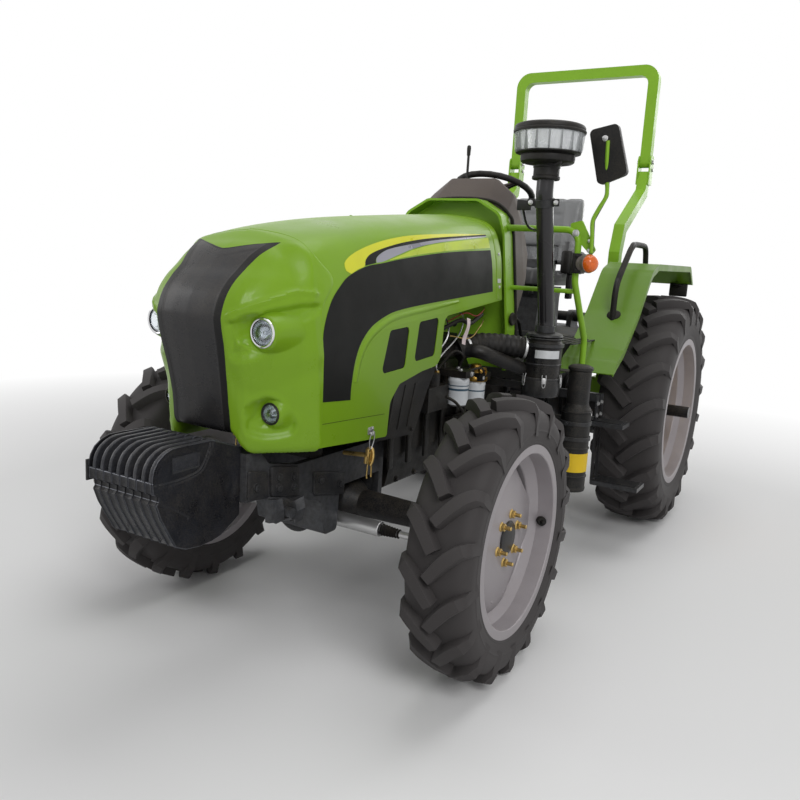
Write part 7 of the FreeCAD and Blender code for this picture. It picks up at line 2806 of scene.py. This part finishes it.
    def shell(self) -> None:
        """Builds the seat's side boxes and slides."""
        boxes, slides = Shape(), Shape()
        low, high = (Vector(p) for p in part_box(self.cushion))
        for side in (-1, 1):
            x = side * (high.x + .038)
            boxes.block((min(x - .030, x + .030), low.y + .17, low.z + .075),
                        (x + .030, high.y + .03, high.z + .095),
                        .014)
            boxes.block((x - .012, low.y + .24, low.z - .06), (x + .012, low.y + .30, low.z + .08), .004)
            slides.block((side * .15 - .014, low.y + .02, low.z - .040), (side * .15 + .014, high.y - .02,
                                                                        low.z - .016), .003)
        boxes.make("seat_side_boxes", MOULD_BLACK, "chassis")
        slides.make("seat_slides", STEEL_BLACK, "chassis")

    def build(self) -> None:
        """Builds the seat."""
        self.pad(self.cushion, "seat_cushion_pad", .003)
        back = self.pad(self.backrest, "seat_backrest_pad", .003)
        self.wrap(back)
        self.shell()


# ---------------------------------------------------------------- rails, lamps, mirror, fenders and roll bar

@dataclass
class SideRails:
    """Turn signals, guard-rail feet, mirror and their bolts.

    Attributes:
        rail: Place of the guard rails' outer tube, across and back.
        signal: Place of the turn signals' axis, back and up.
        mirror_plate: Corners of the mirror, as (across, height).
        mirror_back: Place of the mirror, back from the front axle.
        mirror_stay: Places along the mirror's stay.
    """

    rail: Pair = (.583, .905)
    signal: Pair = (.905, 1.420)
    mirror_plate: tuple[Pair, ...] = ((.595, 1.958), (.711, 1.983), (.770, 1.785), (.652, 1.738))
    mirror_back: float = .892
    mirror_stay: tuple[Point, ...] = (
        (.649, .889, 1.465), (.645, .889, 1.540), (.642, .889, 1.598), (.664, .889, 1.650),
        (.689, .889, 1.702),
        (.684, .886, 1.770), (.680, .8765, 1.845), (.677, .8760, 1.915))

    def turn_signal(self, side: Side) -> None:
        """Builds one turn signal: bracket, ribbed housing, rim and faceted lens.

        Args:
            side: Its side of the tractor.
        """
        out = side.value
        node_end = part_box("turn_signals")[1][0]
        start = spot(out * (node_end - .098), *self.signal)
        place = facing(start, (out, -.55, .04))
        housing, lens, bracket = Shape(), Shape(), Shape()
        housing.lathe(place,
                      [(.004, .022), (.008, .030), (.018, .0345), (.030, .0370), (.052, .0385), (.056, .0400),
                              (.062, .0402), (.064, .0385), (.060, .0330)], 40)
        for k in range(3):
            housing.lathe(place, ring(.034, .0385, .026 + .009 * k, .0285 + .009 * k, .001), 40, closed=True)
        rows = []
        for share in np.linspace(0, 1, 9):
            height = .060 + .036 * math.sin(share * math.pi / 2)
            reach = .0372 * math.cos(share * math.pi / 2) ** .7 + .0005
            rows.append([place @ Vector(((reach + .0007 * (k % 2)) * math.cos(math.tau * k / 48),
                                         (reach + .0007 * (k % 2)) * math.sin(math.tau * k / 48), height))
                         for k in range(48)])
        lens.grid(rows, round_row=True, caps=True)
        bracket.block(start - Vector((.020, .036, .046)) + Vector((0, 0, .004)),
                      start + Vector((.020, .030, .042)), .004)
        for dz in (-.03, .03):
            bracket.bolt(start + Vector((0, -.0365, dz)), (0, -1, 0), .012)
        housing.make(f"signal_housing_{side.word}", LAMP_GREY, "chassis", "lamp_plastic")
        lens.make(f"signal_lens_{side.word}", ORANGE_LENS, "chassis", "lamp_plastic",
                  replaces=["turn_signals"] if side is Side.LEFT else [])
        bracket.make(f"signal_bracket_{side.word}", MOULD_BLACK, "chassis", "black_plastic")

    def brackets(self, side: Side) -> None:
        """Builds the bolts of the guard rail's flat bracket, and its foot with bolts.

        Args:
            side: Its side of the tractor.
        """
        out = side.value
        across, back = self.rail
        bolts, plates = Shape(), Shape()
        bolts.bolt(spot(out * (across - .010), back - .0115, 1.545), (0, -1, 0), .024)
        for x, z in ((.052, 1.515), (.052, 1.475)):
            bolts.bolt(spot(out * (across + x), back - .0115, z), (0, -1, 0), .012)
        foot = stand(out * across, 1.120, .930)
        plates.prism(foot, oblong(.030, .034, .008), .008, .0015)
        for dx, dy in ((-.018, -.022), (.018, .022)):
            bolts.bolt(spot(out * across + dx, 1.120 + dy, .9375), (0, 0, 1), .014)
        plates.lathe(stand(out * across, 1.120), [(.938, .022), (.944, .019), (.950, .0165)], 20)
        bolts.make(f"rail_bolts_{side.word}", BRIGHT_STEEL, "chassis")
        plates.make(f"rail_feet_{side.word}", RAIL_GREEN, "chassis")

    def mirror(self) -> None:
        """Builds the mirror's back shell, glass, clamp and bolt."""
        edge = rounded(self.mirror_plate[::-1], .035, 6)
        middle = sum(edge, Vector((0, 0))) / len(edge)

        def outline(keep: float, back_from_axle: float) -> list[Vector]:
            """The plate's edge drawn toward its middle, at one depth."""
            return [spot(middle.x + (p.x - middle.x) * keep, back_from_axle,
                         middle.y + (p.y - middle.y) * keep) for p in edge]

        back, glass, bolts = Shape(), Shape(), Shape()
        bulge = ((.0, 1.0), (.004, 1.012), (.010, 1.012), (.0135, .985), (.0155, .92), (.017, .70),
                 (.0175, .30))
        back.grid([outline(keep, self.mirror_back - lift) for lift, keep in bulge], round_row=True, caps=True)
        face = outline(.93, .9045)
        front = [p + Vector((0, .0012, 0)) for p in face]
        glass.grid([face, front], round_row=True, caps=True)
        bolts.bolt(spot(.664, .8745, 1.925), (0, -1, 0), .018)
        back.make("mirror_shell", MOULD_BLACK, "chassis", "black_plastic")
        glass.make("mirror_glass", MIRROR_GLASS, "chassis")
        clamp = Shape()
        clamp.tube(spline([spot(*p) for p in self.mirror_stay], 6), .0085, 12)
        clamp.make("mirror_clamp", RAIL_GREEN, "chassis")
        bolts.make("mirror_bolt", BRIGHT_STEEL, "chassis")

    def build(self) -> None:
        """Builds both sides' fittings and the mirror."""
        for side in Side:
            self.turn_signal(side)
            self.brackets(side)
        self.mirror()


@dataclass
class Fenders:
    """Handle sleeves, grommets, rear lamps and the steps' ribs and bolts.

    Attributes:
        handle: Places along the handle's bar.
        treads: Upper and lower step tread, as (inner, outer, front, rear, height).
        ribs: Ribs on a tread.
    """

    handle: tuple[Point, ...] = ((.600, 1.50, 1.13), (.600, 1.50, 1.33), (.600, 1.74, 1.54),
                                 (.600, 2.02, 1.54),
                                 (.600, 2.06, 1.42))
    treads: tuple[tuple[float, ...], ...] = ((.55, .75, 1.30, 1.41, .675), (.63, .84, 1.34, 1.46, .372))
    ribs: int = 5

    def side(self, side: Side) -> None:
        """Builds one fender's trim.

        Args:
            side: Its side of the tractor.
        """
        out = side.value
        sleeve, rings, lamps, lens = Shape(), Shape(), Shape(), Shape()
        corners = [Vector((out * x, ahead(y), z)) for x, y, z in self.handle]
        path = []
        for i, here in enumerate(corners):
            if i in (0, len(corners) - 1):
                path.append(here)
                continue
            before, after = corners[i - 1] - here, corners[i + 1] - here
            reach = min(.07, before.length * .4, after.length * .4)
            a, b = here + before.normalized() * reach, here + after.normalized() * reach
            path += [a * (1 - t) ** 2 + here * 2 * t * (1 - t) + b * t * t for t in np.linspace(0, 1, 7)]
        sleeve.tube(path, .0150, 14)
        sleeve.make(f"handle_sleeve_{side.word}", SEAL_RUBBER, "chassis")
        surface_points, faces = mesh_faces(f"fender_{side.word}")
        surface = BVHTree.FromPolygons(surface_points, faces)
        for start, way in ((corners[0] + Vector((0, -.02, .16)), (0, .35, -1)), (corners[-1], (0, -.1, -1))):
            hit = surface.ray_cast(start, Vector(way).normalized())
            if hit[0]:
                place = facing(hit[0], hit[1] if hit[1].z > 0 else -hit[1])
                rings.lathe(place, [(-.002, .034), (.003, .034), (.008, .029), (.012, .022), (.014, .0155)],
                            28)
        if rings.points:
            rings.make(f"handle_grommets_{side.word}", SEAL_RUBBER, "chassis")
        low, high = (Vector(p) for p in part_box(f"fender_{side.word}"))
        rear = max(surface_points, key=lambda p: p.y)
        at = Vector((out * (max(abs(low.x), abs(high.x)) - .085), rear.y - .006, rear.z - .036))
        lamps.block(at - Vector((.055, .012, .040)), at + Vector((.055, .012, .040)), .006)
        lamps.block(at + Vector((-.020, -.060, .030)), at + Vector((.020, -.006, .037)), .002)
        lens.block(at + Vector((-.048, .010, -.034)), at + Vector((.002, .019, .034)), .004)
        lamps.make(f"rear_lamp_{side.word}", MOULD_BLACK, "chassis", "black_plastic")
        lens.make(f"rear_lamp_red_{side.word}", RED_LENS, "chassis", "lamp_plastic")
        amber = Shape().block(at + Vector((.006, .010, -.034)), at + Vector((.048, .019, .034)), .004)
        amber.make(f"rear_lamp_amber_{side.word}", ORANGE_LENS, "chassis", "lamp_plastic")

    def steps(self, side: Side) -> None:
        """Builds the ribs of one side's two step treads and their bolts.

        Args:
            side: Its side of the tractor.
        """
        out = side.value
        ribs, bolts = Shape(), Shape()
        for inner, outer, front, rear, z in self.treads:
            left, right = sorted((out * inner, out * outer))
            for k in range(self.ribs):
                y = front + .006 + k * (rear - front - .022) / (self.ribs - 1)
                ribs.block(spot(left, y, z - .001), spot(right, y + .010, z + .005), .0015)
        for z in (.76, .70):
            for y in (1.325, 1.385):
                bolts.bolt(spot(out * .6205, y, z), (out, 0, 0), .018)
        ribs.make(f"step_ribs_{side.word}", STEEL_BLACK, "chassis")
        bolts.make(f"step_bolts_{side.word}", BRIGHT_STEEL, "chassis")

    def build(self) -> None:
        """Builds both sides' trim."""
        for side in Side:
            self.side(side)
            self.steps(side)


def mesh_faces(node: str) -> tuple[list[Vector], list[Sequence[int]]]:
    """Points and faces of a CAD node.

    Args:
        node: The node's name.

    Returns:
        The points and the faces' corner numbers.
    """
    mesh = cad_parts[node].data
    return [v.co.copy() for v in mesh.vertices], [tuple(p.vertices) for p in mesh.polygons]


@dataclass
class RollBar:
    """Bolts at the folding roll bar's hinges and feet.

    Attributes:
        hinge: Place of the fold hinge, back and up.
        post: Middle of each post across.
        post_half: Half a post's width at the hinge.
    """

    hinge: Pair = (2.548, 2.055)
    post: float = .417
    post_half: float = .0385

    def build(self) -> None:
        """Builds the roll bar's fittings."""
        back, height = self.hinge
        for side in Side:
            out = side.value
            bolts, feet = Shape(), Shape()
            for face in (-self.post_half, self.post_half):
                way = 1 if face > 0 else -1
                for dy, dz, size in ((0, 0, .026), (.012, -.045, .020)):
                    bolts.bolt(spot(out * self.post + face, back + dy, height + dz), (way, 0, 0), size)
            bolts.make(f"rops_bolts_{side.word}", BRIGHT_STEEL, "chassis")
            for z, y in ((1.02, 2.10), (.80, 2.10)):
                feet.bolt(spot(out * (self.post + .036), y, z), (out, 0, 0), .026)
            feet.make(f"rops_foot_bolts_{side.word}", BRIGHT_STEEL, "chassis")


# ---------------------------------------------------------------- chassis castings and hitch

@dataclass
class FrontEnd:
    """Plates, bolts and castings of the front frame, axle, knuckles and steering."""

    def frame(self) -> None:
        """Builds the plates and the tow casting on the front frame's sides."""
        for side in Side:
            out = side.value
            plates, bolts = Shape(), Shape()
            place = side_frame(out, out * .1495, ahead(0))
            for corners, depth in (([(-.550, .646), (-.412, .619), (-.417, .716), (-.555, .743)], .012),
                                   ([(-.655, .655), (-.560, .642), (-.563, .728), (-.655, .750)], .007),
                                   ([(-.330, .600), (-.150, .560), (-.150, .640), (-.330, .680)], .010)):
                plates.prism(place, rounded(corners, .012), depth, .002)
            for y, z in ((-.522, .705), (-.445, .690), (-.520, .668), (-.443, .652), (-.62, .69),
                         (-.30, .645),
                         (-.18, .605)):
                bolts.bolt(spot(out * (.162 if y > -.60 else .157), y, z), (out, 0, 0), .022)
            rough = []
            for k in range(9):
                share = k / 8
                y = -.565 + .165 * share
                wave = .012 * math.sin(share * 9) + .006 * math.cos(share * 21)
                mid = .600 - .035 * share
                rough.append([spot(out * x, y, z) for x, z in (
                    (.146, mid + .040), (.168 + wave, mid + .036 + wave), (.176 + wave, mid + wave),
                    (.170 - wave, mid - .030 - wave), (.148, mid - .036))])
            plates.grid(rough, round_row=True, caps=True)
            plates.tube([spot(out * .150, -.49, .585), spot(out * .196, -.49, .585)], .016, 18)
            plates.make(f"frame_plates_{side.word}", CASTING, "chassis", "cast_black")
            bolts.make(f"frame_bolts_{side.word}", STEEL_BLACK, "chassis")

    def axle(self) -> None:
        """Builds the axle's covers and bolts, the steering boots and the knuckles' caps."""
        covers, bolts, boots = Shape(), Shape(), Shape()
        for side in Side:
            out = side.value
            end = facing(spot(out * .445, -.040, .488), (out, 0, 0))
            covers.lathe(end, ring(.050, .072, 0, .014, .004), 36, closed=True)
            for turn in full_turn(8):
                at = end @ Vector((.061 * math.cos(turn), .061 * math.sin(turn), .014))
                bolts.bolt(at, (out, 0, 0), .012, washer=False)
            boots.lathe(facing(spot(out * .312, -.130, .456), (out, 0, 0)),
                        [(k * .0055, .0165 + .0055 * (k % 2) - .0004 * k) for k in range(15)], 24)
        beam_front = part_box("front_axle_beam")[0][1] - FRONT_AXLE_Y
        middle = facing(spot(0, beam_front + .002, .490), (0, -1, 0))
        covers.lathe(middle,
                     [(-.012, .085), (.004, .085), (.010, .078), (.022, .060), (.028, .030), (.029, .010)],
                     36)
        for turn in full_turn(10):
            bolts.bolt(middle @ Vector((.074 * math.cos(turn), .074 * math.sin(turn), .006)), (0, -1, 0),
                       .012,
                       washer=False)
        covers.make("axle_covers", CASTING, "chassis", "cast_black")
        bolts.make("axle_bolts", STEEL_BLACK, "chassis")
        boots.make("steering_boots", SEAL_RUBBER, "chassis")
        for side in Side:
            out = side.value
            caps = Shape()
            low, high = (Vector(p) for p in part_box(f"knuckle_{side.word}"))
            inner = min(abs(low.x), abs(high.x))
            hub = Vector((out * (inner + .060), FRONT_AXLE_Y, high.z))
            caps.lathe(Matrix.Translation(hub), [(-.004, .040), (.004, .040), (.010, .034), (.013, .012)], 32)
            for k in range(4):
                turn = math.tau * (k + .5) / 4
                caps.bolt(hub + Vector((.029 * math.cos(turn), .029 * math.sin(turn), .005)), (0, 0, 1), .012)
            caps.make(f"knuckle_cap_{side.word}", CASTING, f"knuckle_{side.word}", "cast_black")

    def build(self) -> None:
        """Builds the front end's fittings."""
        self.frame()
        self.axle()


@dataclass
class Driveline:
    """Ribs, flanges, covers and bolts of the gearbox and the rear axle."""

    def gearbox(self) -> None:
        """Builds the gearbox's flanges, ribs and side covers."""
        ribs, bolts = Shape(), Shape()
        low, high = (Vector(p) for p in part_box("transmission_housing"))
        for y in (low.y + .004, low.y + .42, high.y - .030):
            for out in (1, -1):
                x = sorted((out * (high.x - .004), out * (high.x + .012)))
                ribs.block((x[0], y, low.z + .04), (x[1], y + .026, high.z - .06), .004)
                for k in range(6):
                    bolts.bolt(Vector((out * (high.x + .012), y + .013, low.z + .08 + k * .062)), (out, 0, 0),
                               .018)
        for out in (1, -1):
            place = side_frame(out, out * (high.x - .002), 0)
            at = low.y + .22
            cover = rounded([(at - .12, low.z + .12), (at + .12, low.z + .12), (at + .10, low.z + .30),
                             (at - .10, low.z + .30)], .04)
            ribs.prism(place, cover, .014, .004)
            for y, z in ((-.10, .14), (.10, .14), (-.085, .285), (.085, .285), (0, .14), (0, .285)):
                bolts.bolt(Vector((out * (high.x + .012), at + y, low.z + z)), (out, 0, 0), .015)
        ribs.make("gearbox_ribs", CASTING, "chassis", "cast_black")
        bolts.make("gearbox_bolts", STEEL_BLACK, "chassis")

    def rear_axle(self) -> None:
        """Builds the trumpets' flange bolts and the rear cover with its bolts."""
        bolts, cover = Shape(), Shape()
        for out in (1, -1):
            for turn in full_turn(10):
                bolts.bolt(spot(out * .456, 2.152 + .098 * math.cos(turn), .640 + .098 * math.sin(turn)),
                           (out, 0, 0), .018)
        back = facing(spot(0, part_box("rear_axle_housing")[1][1] - FRONT_AXLE_Y - .003, .640), (0, 1, 0))
        cover.lathe(back,
                    [(-.01, .088), (.005, .088), (.011, .080), (.013, .046), (.020, .042), (.020, .034)], 36)
        for turn in full_turn(8):
            bolts.bolt(back @ Vector((.072 * math.cos(turn), .072 * math.sin(turn), .010)), (0, 1, 0), .014)
        cover.make("rear_cover", CASTING, "chassis", "cast_black")
        bolts.make("rear_axle_bolts", STEEL_BLACK, "chassis")

    def hitch(self) -> None:
        """Builds the hitch's ball ends, pins and the splines of the power take-off."""
        balls, pins, splines = Shape(), Shape(), Shape()
        low, high = (Vector(p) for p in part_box("lower_links"))
        for out in (1, -1):
            eye = facing(Vector((out * (high.x - .020), high.y - .034, (low.z + high.z) / 2)), (out, 0, 0))
            balls.lathe(eye,
                        [(-.0245, .0130), (-.0230, .0180), (-.0180, .0215), (.0180, .0215), (.0230, .0180),
                              (.0245, .0130), (.016, .0115), (-.016, .0115)], 32, closed=True)
        balls.make("link_balls", BRIGHT_STEEL, "lower_links", "bright_steel")
        for out in (1, -1):
            at = Vector((out * (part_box("lift_arms")[1][0] + .001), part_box("lift_arms")[1][1] - .022, 1.115))
            pins.bolt(at, (out, 0, 0), .024, .006)
        pins.make("lift_pins", BRIGHT_STEEL, "lift_arms", "bright_steel")
        low, high = (Vector(p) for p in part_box("pto_shaft"))
        middle = (low + high) / 2
        shaft = facing(Vector((middle.x, high.y - .078, middle.z)), (0, 1, 0))
        for k in range(6):
            tooth = shaft @ Matrix.Rotation(math.tau * k / 6, 4, "Z") @ Matrix.Translation((.0150, -.0042, 0))
            splines.prism(tooth, [(0, 0), (.0045, .0006), (.0045, .0078), (0, .0084)], .070, .0008)
        splines.make("pto_splines", BRIGHT_STEEL, "pto_shaft", "bright_steel")

    def build(self) -> None:
        """Builds the driveline's fittings."""
        self.gearbox()
        self.rear_axle()
        self.hitch()


# ---------------------------------------------------------------- the whole tractor

def dress_frame() -> None:
    """Gives every CAD node that stays in view its finish."""
    paint("bonnet_hood bonnet_nose", GREEN)
    paint("cowl guard_rails rops_hoop rops_posts", RAIL_GREEN)
    # The fenders take the darker copy of the green, which paints in their shade.
    paint("fender_left fender_right", FENDER_SHADE_GREEN)
    paint("nose_grille", PANEL_BLACK)
    paint("side_grilles", DECAL_BLACK)
    paint("front_weights", WEIGHT_IRON)
    paint("front_frame front_axle_beam knuckle_left knuckle_right transmission_housing "
          "rear_axle_housing axle_trumpets lower_links lift_arms lift_rods drawbar", CASTING)
    paint("engine_block engine_ancillaries radiator", ENGINE_BLACK)
    paint("steering_rod steering_cylinder pto_shaft", BRIGHT_STEEL)
    paint("intake_stack", PIPE_BLACK)
    paint("air_cleaner steps seat_base battery_box", STEEL_BLACK)
    paint("muffler", MUFFLER_BLACK)
    paint("dash_cover", DASH_GREY)
    paint("steering_wheel steering_column controls mirror turn_signals precleaner fender_handles",
          MOULD_BLACK)
    paint("floor_platform", MAT_GREY)
    paint("seat_cushion seat_backrest", SEAT_VINYL)
    paint("headlamps", CHROME)


def main() -> None:
    """Builds the studio and every sub-assembly in order."""
    logging.basicConfig(level=logging.INFO, format="%(message)s")
    for effect in (build_mottle, build_grain, build_dust, build_edge_wear, build_weave):
        effect()
    Studio().build()
    dress_frame()
    Wheels().build()
    Nose().build()
    BonnetTrim().build()
    Weights().build()
    AirIntake().build()
    Exhaust().build()
    EngineBay().build()
    Cockpit().build()
    Seat().build()
    SideRails().build()
    Fenders().build()
    RollBar().build()
    FrontEnd().build()
    Driveline().build()


if __name__ == "__main__":
    main()
